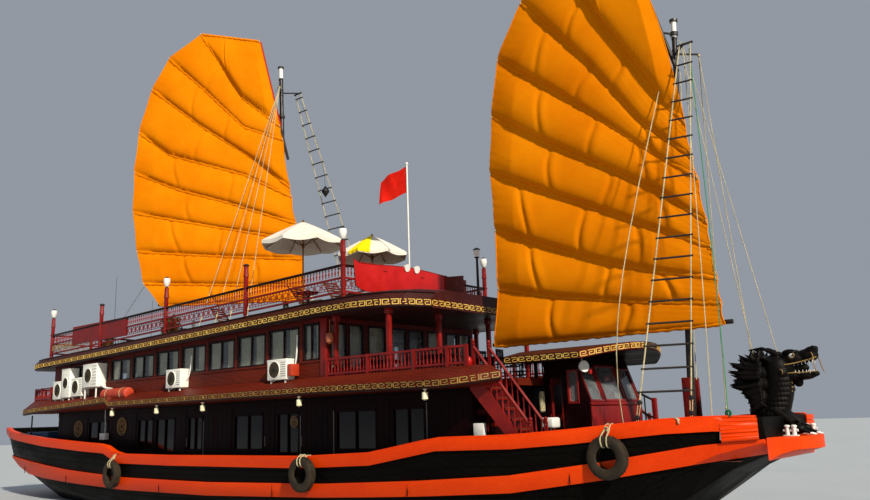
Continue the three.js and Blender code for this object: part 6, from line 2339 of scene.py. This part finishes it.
@dataclass(frozen=True)
class Stairs:
    """The two stairs down to the foredeck, with turned balusters, ball newels and treads."""

    frame: Frame
    top_x: float = 9.95
    foot_x: float = 11.45
    top_z: float = 3.6
    foot_z: float = 1.6

    def build(self) -> None:
        """Adds the balusters, treads and newel caps of both stairs."""
        places, treads, caps = [], [], []
        slope = (self.foot_z - self.top_z) / (self.foot_x - self.top_x)
        for side in (STARBOARD, PORT):
            name = "starboard" if side < 0 else "port"
            self.frame.dress(f"foredeck_stair_{name}", RED_RAIL)
            for y in (side * 3.11, side * 2.46):
                for i in range(9):
                    x = 10.06 + i * 0.158
                    foot = self.top_z + slope * (x - self.top_x) + 0.07
                    head = 4.4 + (2.45 - 4.4) * (x - 9.89) / (11.45 - 9.89) - 0.03
                    places.append(upright((x, y, foot), head - foot))
                for x, z in ((9.89, 4.45), (11.445, 2.52)):
                    caps.append(turned([(0.045, -0.01), (0.05, 0.02), (0.03, 0.04), (0.05, 0.075),
                                        (0.045, 0.11), (0.012, 0.13)], (x, y, z), 14))
            for i in range(1, 8):
                x, z = self.top_x + 1.5 * i / 8, self.top_z - 2 * i / 8
                y0, y1 = side * 2.485, side * 3.085
                treads.append(block((x - 0.145, y0, z + 0.018), (x + 0.145, y1, z + 0.036), 0.006))
        piece(copies(baluster(), places), "stair_balusters", RED_RAIL)
        piece(joined(treads), "stair_treads", DECK_WOOD)
        piece(joined(caps), "stair_newel_caps", RED_RAIL)
        ball = turned([(0.02, 0.13), (0.07, 0.10), (0.10, 0.03), (0.10, -0.03), (0.07, -0.10),
                       (0.02, -0.13)],
                      (9.82, -3.24, 4.02), 16)
        piece(ball, "stair_lantern", RED_BOARD)


@dataclass(frozen=True)
class Mast:
    """One raked mast with its white head, hoops, and the rope ladders to its crosstree."""

    frame: Frame
    name: str
    base: Flat
    top: Flat
    radii: Flat
    tree: float
    feet: tuple[Point, Point]
    rung_from: float
    ladder_side: int
    plain_feet: tuple[Point, ...]
    lead: float = 0.45
    span: float = 0.45
    rung_step: float = 0.5
    head_spread: float = 0.14

    def x_at(self, z: float) -> float:
        """Returns the mast's X at a height."""
        return (self.base[0]
                + (self.top[0] - self.base[0]) * (z - self.base[1]) / (self.top[1] - self.base[1]))

    def r_at(self, z: float) -> float:
        """Returns the mast's radius at a height."""
        return (self.radii[0]
                + (self.radii[1] - self.radii[0]) * (z - self.base[1]) / (self.top[1] - self.base[1]))

    def build(self) -> None:
        """Adds the mast's fittings and its ladders."""
        self.frame.dress(f"{self.name}_mast", SPAR)
        top = self.top[1]
        sleeve = rod((self.x_at(top - 0.46), 0, top - 0.46), (self.x_at(top - 0.03), 0, top - 0.03),
                     self.r_at(top - 0.46) + 0.004, self.r_at(top) + 0.004, 32)
        piece(sleeve, f"{self.name}_mast_white_head", MAST_WHITE)
        hoops = []
        for z in (top - 0.5, self.tree - 0.12, self.tree + 0.1, *self._hoop_heights()):
            r = self.r_at(z)
            hoops.append(turned([(r + 0.001, -0.03), (r + 0.01, -0.026), (r + 0.01, 0.026),
                                 (r + 0.001, 0.03)],
                                (self.x_at(z), 0, z), 32))
        piece(joined(hoops), f"{self.name}_mast_hoops", DARK_METAL)
        for side_name, side in SIDES.items():
            if side == self.ladder_side:
                self._ladder(side_name, side)
            else:
                self._plain_shrouds(side_name, side)

    def _hoop_heights(self) -> list[float]:
        """Returns where the plain iron hoops go, clear of the spars' collars."""
        return [self.base[1] + 0.35, self.base[1] + 1.15]

    def _ladder(self, side_name: str, side: int) -> None:
        """Adds one doubled shroud with wooden rungs, its heart blocks and lashings."""
        head = self._head(side)
        feet = [(x, side * y, z) for x, y, z in self.feet]
        heads = [head + Vector((shift, 0, 0)) for shift in (-self.head_spread, self.head_spread)]
        ropes, rungs = [], []
        for foot, high in zip(feet, heads):
            low = Vector(foot)
            eye = low.lerp(high, 0.05)
            ropes.append(rope([tuple(eye), tuple(high)], 0.017, 2, False))
            for shift in (-0.02, 0.02):
                ropes.append(rope([(low.x + shift, low.y, low.z + 0.01),
                                   (eye.x + shift * 1.6, eye.y, eye.z)], 0.009, 1,
                                  False))
            rungs.append(turned([(0.03, -0.035), (0.055, -0.02), (0.055, 0.02), (0.03, 0.035)], tuple(eye),
                                12, (0, 1, 0)))
            rungs.append(turned([(0.03, -0.035), (0.055, -0.02), (0.055, 0.02), (0.03, 0.035)],
                                tuple(low.lerp(high, 0.012) + Vector((0, 0, 0.03))), 12, (0, 1, 0)))
        z = self.rung_from
        while z < self.tree - 0.2:
            ends = []
            for foot, high in zip(feet, heads):
                share = (z - foot[2]) / (high.z - foot[2])
                ends.append(Vector(foot).lerp(high, share))
            run = (ends[1] - ends[0]).normalized() * 0.05
            rungs.append(rod(tuple(ends[0] - run), tuple(ends[1] + run), 0.024, sides=8))
            z += self.rung_step
        bar = rod(tuple(heads[0] - Vector((0.06, 0, 0))), tuple(heads[1] + Vector((0.06, 0, 0))), 0.03,
                  sides=10)
        rungs.append(bar)
        piece(joined(ropes), f"{self.name}_shroud_ropes_{side_name}", ROPE,
              replaces=[f"{self.name}_shrouds_{side_name}"])
        piece(joined(rungs), f"{self.name}_shroud_rungs_{side_name}", SPAR)

    def _head(self, side: int) -> Vector:
        """Returns where the shrouds of one side meet the crosstree."""
        return Vector((self.x_at(self.tree) + self.lead, side * self.span, self.tree - 0.03))

    def _plain_shrouds(self, side_name: str, side: int) -> None:
        """Adds a fan of plain shrouds with their knots, from the crosstree to the deck's edge."""
        head = self._head(side)
        ropes = []
        for x, y, z in self.plain_feet:
            foot = Vector((x, side * y, z))
            ropes.append(rope([tuple(foot), tuple(head)], 0.011, 1, False))
            ropes.append(turned([(0.012, -0.05), (0.03, -0.02), (0.03, 0.02), (0.012, 0.05)],
                                tuple(foot.lerp(head, 0.03)), 8, tuple((head - foot).normalized())))
        ropes.append(turned([(0.02, -0.04), (0.04, -0.015), (0.04, 0.015), (0.02, 0.04)], tuple(head), 10))
        piece(joined(ropes), f"{self.name}_shroud_ropes_{side_name}", ROPE,
              replaces=[f"{self.name}_shrouds_{side_name}"])


@dataclass(frozen=True)
class Rigging:
    """The stays and halyards, the fore mast's tabernacle and the spars' finish."""

    frame: Frame

    def build(self) -> None:
        """Dresses the booms and yards, and adds the ropes and fittings that stand with the ship."""
        for sail in ("fore_sail", "main_sail"):
            self.frame.dress(f"{sail}_boom", SPAR)
            self.frame.dress(f"{sail}_yard", SPAR)
        stays = [
            [(14.65, -0.08, 11.99), (15.78, -0.1, 2.5)],
            [(14.65, 0.08, 11.99), (16.12, 0.05, 3.8)],
            [(-1.36, 0.05, 15.9), (-12.2, 1.2, 5.78)],
            [(-1.36, -0.05, 15.9), (-12.2, -1.2, 5.78)],
        ]
        piece(joined([rope(line, 0.009, 2, False) for line in stays]), "standing_stays", ROPE)
        self._tabernacle()
        self._halyards()
        self._day_shape()

    def _tabernacle(self) -> None:
        """Stands the dark red cheeks of the tabernacle beside the fore mast, with their iron bolts."""
        parts = []
        for y in (-0.24, 0.24):
            parts.append(block((13.93, y - 0.06, 1.6), (14.14, y + 0.06, 3.45), 0.02))
        parts.append(block((13.66, -0.34, 1.6), (14.32, 0.34, 1.74), 0.02))
        piece(joined(parts), "fore_tabernacle", RED_WOOD)
        bolts = [rod((14.03, -0.33, z), (14.03, -0.29, z), 0.035, sides=6) for z in (2.0, 3.2)]
        bolts += [rod((14.03, 0.29, z), (14.03, 0.33, z), 0.035, sides=6) for z in (2.0, 3.2)]
        piece(joined(bolts), "tabernacle_bolts", DARK_METAL)

    def _halyards(self) -> None:
        """Runs the halyards down to cleats and rails, with a coil of green rope at the rail."""
        fore_foot, green_foot, after_foot = (self._on_rail(x) for x in (15.3, 15.6, 12.79))
        pale = [
            rope([(14.85, -0.42, 11.6), (15.05, -1.1, 7.4), (15.26, -1.85, 4.36), fore_foot], 0.011, 2),
            rope([after_foot, (12.92, -2.6, 3.5), (13.05, -2.2, 4.56), (14.3, -0.3, 11.4)], 0.013, 2),
            rope([(14.14, 0.12, 3.4), (14.26, 0.1, 6.0), (14.52, 0.08, 11.2)], 0.012, 2),
        ]
        piece(joined(pale), "halyards", ROPE)
        green = [rope([(15.02, -0.48, 11.5), (15.25, -1.0, 8.0), (15.45, -1.45, 4.38), green_foot], 0.012,
                      2)]
        for k in range(5):
            green.append(ring((green_foot[0] + 0.01 * k, green_foot[1] - 0.02 - 0.004 * k,
                               green_foot[2] + 0.05), 0.06, 0.014,
                              (0.45, 1, 0), 20, 6))
        piece(joined(green), "green_halyard", GREEN_ROPE)
        knots = []
        for k, x in enumerate((14.3, 14.42, 14.52, 14.66)):
            knots.append(ring((x, -2.42, 2.50), 0.05 + 0.006 * (k % 2), 0.018, (0.3, 0.5, 1), 14, 6))
            knots.append(ring((x + 0.03, -2.44, 2.46), 0.045, 0.017, (1, 0.4, 0.2), 14, 6))
        piece(joined(knots), "belayed_knots", ROPE)

    def _on_rail(self, x: float) -> Point:
        """Returns the place on the starboard rail's top at x."""
        y = self.frame.side("gunwale_wale", x, 2.36, STARBOARD) + 0.07
        return (x, y, max(self.frame.top("gunwale_wale", x, y),
                          self.frame.top("bulwark_starboard", x, y)) + 0.03)

    def _day_shape(self) -> None:
        """Hangs the black double cone beside the port shrouds of the main mast."""
        x, y, z = -0.6, 1.65, 11.5
        cone = turned([(0.02, -0.22), (0.15, -0.02), (0.15, 0.02), (0.02, 0.22)], (x, y, z), 20)
        line = rope([(x, y, z - 0.2), (x + 0.02, y + 0.03, z + 1.5), (-0.85, 0.5, 15.1)], 0.006, 1)
        piece(joined([cone, line]), "day_shape", DARK_METAL)


@dataclass(frozen=True)
class Figurehead:
    """The dragon at the stem: a rearing neck, an open-jawed head, a swept mane, scales and claws."""

    voxel: float = 0.016

    def build(self) -> None:
        """Adds the carving and its gilded details in place of the plain CAD form."""
        body = joined([*self._neck(), *self._head(), *self._mane(), *self._paws()])
        modified(body, "REMESH", mode="VOXEL", voxel_size=self.voxel, use_smooth_shade=True)
        modified(body, "SMOOTH", factor=0.5, iterations=3)
        piece(body, "dragon_carving", DRAGON, replaces=["dragon_figurehead"], angle=math.radians(60))
        self._scales()
        self._gilding()
        self._teeth()

    def _neck(self) -> list[Piece]:
        """Adds the tapering neck on its plinth."""
        line = [(15.86, 2.12, 0.36), (15.84, 2.4, 0.34), (15.96, 2.75, 0.33), (16.06, 3.05, 0.32),
                (16.08, 3.32, 0.32), (16.08, 3.55, 0.33)]
        parts = [rod((a[0], 0, a[1]), (b[0], 0, b[1]), a[2], b[2], 24) for a, b in zip(line, line[1:])]
        parts += [self._blob((x, 0, z), (r, r, r)) for x, z, r in line[1:]]
        parts.append(block((15.5, -0.33, 2.09), (16.22, 0.33, 2.24), 0.03))
        return parts

    def _blob(self, centre: Point, radii: Point) -> Piece:
        """Adds an ellipsoid."""
        bpy.ops.object.select_all(action="DESELECT")
        bpy.ops.mesh.primitive_ico_sphere_add(subdivisions=3, radius=1.0, location=centre)
        obj = bpy.context.active_object
        obj.scale = radii
        return applied(obj)

    def _head(self) -> list[Piece]:
        """Adds the skull, brows, snout, nostrils, open jaws, cheeks and ears."""
        parts = [
            self._blob((16.12, 0, 3.56), (0.40, 0.27, 0.30)),
            self._blob((16.42, 0, 3.72), (0.34, 0.22, 0.19)),
            self._blob((16.74, 0, 3.78), (0.24, 0.17, 0.15)),
            self._blob((16.84, 0, 3.88), (0.14, 0.15, 0.10)),
            self._blob((16.30, 0, 3.36), (0.32, 0.19, 0.13)),
            self._blob((16.62, 0, 3.34), (0.26, 0.14, 0.085)),
            self._blob((16.84, 0, 3.38), (0.12, 0.10, 0.07)),
            self._blob((16.50, 0, 3.20), (0.10, 0.07, 0.09)),
            self._blob((16.52, 0, 3.52), (0.24, 0.09, 0.13)),
            rod((16.35, 0, 3.44), (16.74, 0, 3.50), 0.06, 0.025, 12),
        ]
        for side in (STARBOARD, PORT):
            parts += [
                self._blob((16.42, side * 0.16, 3.87), (0.16, 0.09, 0.07)),
                self._blob((16.90, side * 0.085, 3.93), (0.07, 0.055, 0.06)),
                self._blob((16.20, side * 0.23, 3.42), (0.15, 0.08, 0.13)),
                rod((16.18, side * 0.15, 3.82), (15.86, side * 0.22, 4.0), 0.07, 0.035, 10),
                rod((15.86, side * 0.22, 4.0), (15.55, side * 0.20, 3.98), 0.036, 0.016, 10),
                rod((16.05, side * 0.24, 3.66), (15.84, side * 0.31, 3.80), 0.07, 0.018, 10),
            ]
        return parts

    def _mane(self) -> list[Piece]:
        """Adds the swept spikes of the mane behind the head and down the neck."""
        parts = []
        for z, reach in ((2.3, 0.34), (2.6, 0.34), (2.9, 0.36), (3.2, 0.40), (3.45, 0.38)):
            parts.append(self._blob((15.72, 0, z), (reach, 0.34, 0.26)))
        rng = random.Random(3)
        tips = ((15.50, 4.0), (15.20, 3.86), (14.98, 3.70), (14.93, 3.52), (15.02, 3.36), (14.94, 3.18),
                (15.16, 3.08), (15.24, 2.94), (15.32, 2.78), (15.34, 2.62), (15.38, 2.46), (15.74, 3.96))
        for x, z in tips:
            for side in (STARBOARD, PORT):
                for fan in (0.06, 0.2, 0.34):
                    wander = rng.uniform(-0.06, 0.06)
                    root = (15.78, side * (0.08 + fan * 0.7), 0.62 * z + 1.22 + wander)
                    middle = ((x + root[0]) / 2, side * (fan + 0.05), (z + root[2]) / 2 - 0.04 + wander)
                    parts.append(rod(root, middle, 0.10, 0.062, 8))
                    parts.append(rod(middle, (x + fan * 0.5, side * fan, z + wander), 0.062, 0.010, 8))
        return parts

    def _paws(self) -> list[Piece]:
        """Adds the fore legs and the clawed paws on the beak."""
        parts = []
        for side in (STARBOARD, PORT):
            parts.append(rod((16.0, side * 0.22, 2.6), (16.34, side * 0.27, 2.34), 0.13, 0.10, 12))
            parts.append(self._blob((16.42, side * 0.25, 2.22), (0.17, 0.11, 0.11)))
            for k in (-1, 0, 1):
                tip = (16.72, side * 0.25 + 0.075 * k, 2.12)
                parts.append(rod((16.5, side * 0.25 + 0.06 * k, 2.2), tip, 0.045, 0.018, 8))
        return parts

    def _scales(self) -> None:
        """Lays rows of overlapping scales over the sides of the neck, and the ribs of its throat."""
        places = []
        for row in range(9):
            z = 2.45 + row * 0.105
            x = float(np.interp(z, (2.1, 2.4, 2.75, 3.05, 3.32), (15.86, 15.84, 15.98, 16.1, 16.12)))
            r = float(np.interp(z, (2.1, 2.4, 2.75, 3.05, 3.32), (0.33, 0.31, 0.29, 0.27, 0.27)))
            for k in range(-3, 4):
                for side in (STARBOARD, PORT):
                    a = side * math.pi / 2 + (k + 0.5 * (row % 2)) * 0.27
                    places.append(move(x + (r - 0.012) * math.cos(a), (r - 0.012) * math.sin(a),
                                       z) @ turn_z(a)
                                  @ Matrix.Rotation(math.radians(-16), 4, "Y"))
        scale = turned([(0.062, -0.004), (0.066, 0.002), (0.05, 0.012), (0.008, 0.016)], (0.04, 0, 0), 10,
                       (1, 0, 0))
        piece(copies(scale, places), "dragon_scales", DRAGON)
        ribs = []
        for k in range(9):
            z = 2.5 + 0.088 * k
            x = float(np.interp(z, (2.4, 2.75, 3.05, 3.32), (16.13, 16.25, 16.35, 16.37)))
            ribs.append(rod((x, -0.10, z), (x, 0.10, z), 0.03, sides=8))
        piece(joined(ribs), "dragon_throat", OLD_GOLD)

    def _gilding(self) -> None:
        """Adds the eyes, the gilded brow and lip lines, the whiskers and the cheek rings."""
        gilt, white, dark = [], [], []
        for side in (STARBOARD, PORT):
            eye = (16.47, side * 0.205, 3.80)
            white.append(self._blob(eye, (0.055, 0.035, 0.05)))
            dark.append(self._blob((16.50, side * 0.235, 3.80), (0.024, 0.014, 0.024)))
            gilt.append(ring((16.47, side * 0.215, 3.80), 0.062, 0.011, (0.15, 1, 0), 20, 6))
            gilt.append(rope([(16.30, side * 0.24, 3.60), (16.55, side * 0.19, 3.62),
                              (16.80, side * 0.155, 3.68), (16.95, side * 0.08, 3.74)], 0.013, 2))
            gilt.append(rope([(16.28, side * 0.20, 3.42), (16.55, side * 0.15, 3.41),
                              (16.78, side * 0.105, 3.43), (16.92, side * 0.04, 3.43)], 0.012, 2))
            gilt.append(rope([(16.86, side * 0.13, 3.84), (16.96, side * 0.24, 3.72),
                              (16.90, side * 0.30, 3.55), (16.98, side * 0.31, 3.42)], 0.011, 2))
            gilt.append(ring((16.20, side * 0.285, 3.44), 0.07, 0.012, (0.1, 1, 0), 20, 6))
        piece(joined(gilt), "dragon_gilding", OLD_GOLD)
        piece(joined(white), "dragon_eyes", WHITE_PAINT)
        piece(joined(dark), "dragon_pupils", DARK_METAL)

    def _teeth(self) -> None:
        """Adds the teeth of both jaws and the pale claws."""
        teeth = []
        for side in (STARBOARD, PORT):
            for k in range(6):
                x = 16.48 + 0.075 * k
                y = side * (0.145 - 0.014 * k)
                teeth.append(rod((x, y, 3.655 + 0.008 * k), (x + 0.01, y, 3.565 + 0.01 * k), 0.02, 0.003, 6))
                teeth.append(rod((x, y * 0.8, 3.40), (x + 0.01, y * 0.8, 3.475), 0.018, 0.003, 6))
            for k in (-1, 0, 1):
                teeth.append(rod((16.70, side * 0.25 + 0.073 * k, 2.125),
                                 (16.80, side * 0.25 + 0.082 * k, 2.096), 0.022,
                                 0.004, 8))
        piece(joined(teeth), "dragon_teeth", WHITE_PAINT)


@dataclass(frozen=True)
class Tyres:
    """The worn tyre fenders, each hung over the rail on two turns of rope."""

    frame: Frame
    outer: float = 0.465
    width: float = 0.232
    bore: float = 0.235

    def build(self) -> None:
        """Adds every tyre in place of its CAD node, with its ropes."""
        ropes = []
        for name, side in SIDES.items():
            for k in (1, 2, 3):
                node = f"tyre_{name}_{k}"
                low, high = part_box(node)
                centre = ((low.x + high.x) / 2, (low.y + high.y) / 2, (low.z + high.z) / 2)
                piece(self._tyre(centre, k), f"{node}_cover", RUBBER, replaces=[node])
                ropes += self._hanger(centre, side, k)
        piece(joined(ropes), "tyre_ropes", ROPE)

    def _tyre(self, centre: Point, seed: int) -> Piece:
        """Adds one hollow tyre: grooved tread, rounded shoulders, side walls and beads."""
        half = self.width / 2
        section = [(self.bore, -half * 0.62), (self.bore + 0.02, -half * 0.80),
                   (self.bore + 0.07, -half * 0.94),
                   (self.bore + 0.13, -half), (self.outer - 0.045, -half * 0.93),
                   (self.outer - 0.012, -half * 0.74)]
        for k in range(-2, 3):
            y = k * half * 0.27
            section += [(self.outer, y - 0.017), (self.outer, y + 0.008), (self.outer - 0.014, y + 0.011),
                        (self.outer - 0.014, y + 0.02)]
        section += [(self.outer - 0.012, half * 0.74), (self.outer - 0.045, half * 0.93),
                    (self.bore + 0.13, half),
                    (self.bore + 0.07, half * 0.94), (self.bore + 0.02, half * 0.80),
                    (self.bore, half * 0.62),
                    (self.bore + 0.012, half * 0.60), (self.bore + 0.06, half * 0.78),
                    (self.bore + 0.14, half * 0.82),
                    (self.outer - 0.05, half * 0.6), (self.outer - 0.04, 0.0),
                    (self.outer - 0.05, -half * 0.6),
                    (self.bore + 0.14, -half * 0.82), (self.bore + 0.06, -half * 0.78),
                    (self.bore + 0.012, -half * 0.6)]
        rng = random.Random(seed)
        phase = rng.uniform(0, 6.28)
        turns = 72

        def at(s: float, t: float) -> Point:
            """Returns a place on the tyre."""
            index = int(round(s * len(section))) % len(section)
            r, y = section[index]
            angle = 2 * math.pi * t
            tread = r > self.outer - 0.005
            block_gap = 0.010 if tread and int(t * turns) % 3 == 0 else 0.0
            soft = 0.006 * math.sin(3 * angle + phase) * (r / self.outer)
            rr = r - block_gap + soft * 0.5
            return (centre[0] + rr * math.cos(angle), centre[1] + y, centre[2] + rr * math.sin(angle))
        return seal(sheet_grid(len(section), turns, at), 1e-5)

    def _hanger(self, centre: Point, side: int, seed: int) -> list[Piece]:
        """Adds the two ropes that pass through the tyre and over the rail, with their knots."""
        rng = random.Random(40 + seed)
        x, y, z = centre
        top = float(np.interp(x, (-5.4, 4.65, 13.3), (1.8, 1.76, 2.40)))
        rail = self.frame.side("gunwale_wale", x, top - 0.12, side) if abs(x) < 15 else y
        made = []
        for shift in (-0.07, 0.06):
            sway = rng.uniform(-0.02, 0.02)
            inside = z + self.bore - 0.02
            front = y + side * (self.width / 2 + 0.012)
            made.append(rope([(x + shift, y - side * 0.03, inside),
                              (x + shift, y + side * 0.06, inside - 0.01),
                              (x + shift, front, inside + 0.06),
                              (x + shift + sway, front, z + self.outer - 0.03),
                              (x + shift * 0.9, rail + side * 0.03, z + self.outer + 0.1),
                              (x + shift * 0.8, rail + side * 0.022, top - 0.03),
                              (x + shift * 0.8, rail - side * 0.02, top + 0.045),
                              (x + shift * 0.8, rail - side * 0.16, top + 0.05)], 0.017, 2))
        made.append(ring((x, rail + side * 0.035, top - 0.06), 0.045, 0.018, (0.2, 1, 0.3), 16, 6))
        made.append(ring((x + 0.02, rail + side * 0.04, top - 0.1), 0.04, 0.018, (1, 0.4, 0.2), 16, 6))
        return made


@dataclass(frozen=True)
class DeckFittings:
    """The bitts, windlass, chocks and small things about the decks."""

    frame: Frame
    lamp_at: Flat = (7.6, 0.3)

    def build(self) -> None:
        """Adds the fittings fore and aft."""
        white, dark, wood = [], [], []
        for side in (STARBOARD, PORT):
            white += self._bitts((16.42, side * 0.72, 2.08), 0.22, 0.07)
            dark += self._bitts((-16.6, side * 2.1, 1.6), 0.5)
            dark += self._bitts((12.9, side * 2.2, 1.6), 0.45)
        side_y = self.frame.side("bulwark_starboard", 15.43, 2.15, STARBOARD) - 0.02
        white.append(rod((15.42, side_y, 2.06), (15.43, side_y, 2.23), 0.028, sides=10))
        self._gate()
        for y in (-0.7, 0.7):
            wood.append(block((15.0, y - 0.09, 1.6), (15.3, y + 0.09, 2.35), 0.02))
        drum = [rod((15.15, -1.0, 2.15), (15.15, 1.0, 2.15), 0.12, sides=16)]
        for y in (-1.02, -0.6, 0.6, 1.02):
            drum.append(rod((15.15, y - 0.03, 2.15), (15.15, y + 0.03, 2.15), 0.17, sides=20))
        wood.append(block((-12.7, -0.65, 1.6), (-12.5, 0.65, 1.64), 0.01))
        piece(joined(white), "white_bitts", WHITE_PAINT)
        piece(joined(dark + drum), "deck_bitts", DARK_METAL)
        piece(joined(wood), "windlass_cheeks", RED_WOOD)
        self._stern()
        self._aerial()
        self._fore_lamp()

    def _bitts(self, at: Point, height: float, half: float = 0.13) -> list[Piece]:
        """Adds a pair of mooring posts with a cross bar."""
        x, y, z = at
        made = []
        for shift in (-half, half):
            made.append(turned([(0.045, 0.0), (0.045, height * 0.8), (0.06, height * 0.86), (0.06, height),
                                (0.03,
height + 0.015)], (x + shift, y, z), 14))
        end = half + 0.08
        made.append(rod((x - end, y, z + height * 0.55), (x + end, y, z + height * 0.55), 0.028, sides=10))
        made.append(block((x - end, y - 0.07, z), (x + end, y + 0.07, z + 0.025), 0.006))
        return made

    def _gate(self) -> None:
        """Adds the dark rail and its red end post on the port side of the wheelhouse."""
        rails = [rod((11.6, 1.6, z + 0.36), (12.3, 1.6, z), 0.03, sides=8) for z in (2.98, 2.5)]
        rails += [rod((x, 1.6, 1.6), (x, 1.6, 3.28 - 0.51 * (x - 11.7)), 0.02, sides=8)
                  for x in (11.65, 11.85, 12.05)]
        piece(joined(rails), "wheelhouse_side_rail", DARK_METAL)
        piece(block((12.26, 1.55, 1.6), (12.38, 1.67, 3.04), 0.015), "wheelhouse_side_post", RED_RAIL)

    def _stern(self) -> None:
        """Adds the awning posts and the covered lockers at the stern."""
        posts = [rod((-14.35, side * 2.9, 1.6), (-14.35, side * 2.9, 3.36), 0.03,
                     sides=10) for side in (STARBOARD, PORT)]
        piece(joined(posts), "stern_awning_posts", DARK_METAL)
        boxes = [block((-16.6, -2.1, 1.61), (-14.5, -1.5, 2.66), 0.04),
                 block((-13.9, 1.3, 1.61), (-12.7, 2.2, 2.3), 0.04)]
        piece(joined(boxes), "stern_lockers", BLUE_TARP)

    def _aerial(self) -> None:
        """Adds the thin aerials at the after end of the sun deck."""
        level = deck_level(-11.3)
        parts = [rod((-11.3, -1.0, level), (-11.3, -1.0, 9.25), 0.012, 0.006, 8),
                 rod((-11.3, -1.0, level), (-11.3, -1.0, level + 0.12), 0.04, sides=10),
                 rod((-11.5, 0.9, level), (-11.5, 0.9, 8.4), 0.01, 0.006, 8)]
        piece(joined(parts), "aerials", DARK_METAL)

    def _fore_lamp(self) -> None:
        """Adds the dark post with its glass lamp at the fore end of the sun deck."""
        level = deck_level(7.4)
        x, y = self.lamp_at
        parts = [rod((x, y, level - 0.1), (x, y, level + 1.25), 0.045, 0.035, 12),
                 turned([(0.10, 0.0), (0.12, 0.03), (0.03, 0.08)], (x, y, level + 1.5), 6),
                 turned([(0.03, 0.0), (0.08, 0.02), (0.08, 0.04)], (x, y, level + 1.25), 6)]
        piece(joined(parts), "deck_lamp_post", DARK_METAL)
        glass = turned([(0.07, 0.0), (0.095, 0.21)], (*self.lamp_at, level + 1.29), 6)
        piece(glass, "deck_lamp_glass", WHITE_PAINT)


def build_ship(frame: Frame) -> None:
    """Adds every assembly of the ship.

    Args:
        frame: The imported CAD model.
    """
    assemblies = (
        Stage(), Hull(frame), SternGear(frame), DeckEdges(frame), LowerHouse(frame), UpperHouse(frame),
        Veranda(frame),
        SunDeck(frame), AirUnits(frame), Flag(frame), Wheelhouse(frame), Stairs(frame), Rigging(frame),
        Figurehead(), Tyres(frame), DeckFittings(frame), FORE_SAIL, MAIN_SAIL,
        Sunshade("sunshade_starboard", 2.7, -2.35, 1.34),
        Sunshade("sunshade_middle", 2.8, 0.7, 1.26, draped=(0.69, 0.80)),
        Mast(frame, "fore", (13.96, 1.6), (14.51, 12.62), (0.095, 0.06), 11.7,
             ((13.85, 2.65, 2.421), (14.9, 2.255, 2.487)), 3.1, STARBOARD,
             ((13.85, 2.65, 2.421), (14.9, 2.255, 2.487))),
        Mast(frame, "main", (-0.72, 1.0), (-1.35, 16.37), (0.12, 0.075), 15.3,
             ((-0.9, 3.51, 5.9), (0.3, 3.51, 5.93)), 6.6, PORT,
             ((-1.2, 3.51, 5.9), (-0.3, 3.51, 5.92), (0.5, 3.51, 5.94), (1.4, 3.51, 5.96))),
    )
    for assembly in assemblies:
        LOG.info("building %s", type(assembly).__name__)
        assembly.build()


def main() -> None:
    """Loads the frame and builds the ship's visual model."""
    logging.basicConfig(level=logging.INFO, format="%(levelname)s %(message)s", stream=sys.stdout)
    frame = Frame(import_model())
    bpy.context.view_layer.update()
    build_ship(frame)


if __name__ == "__main__":
    main()
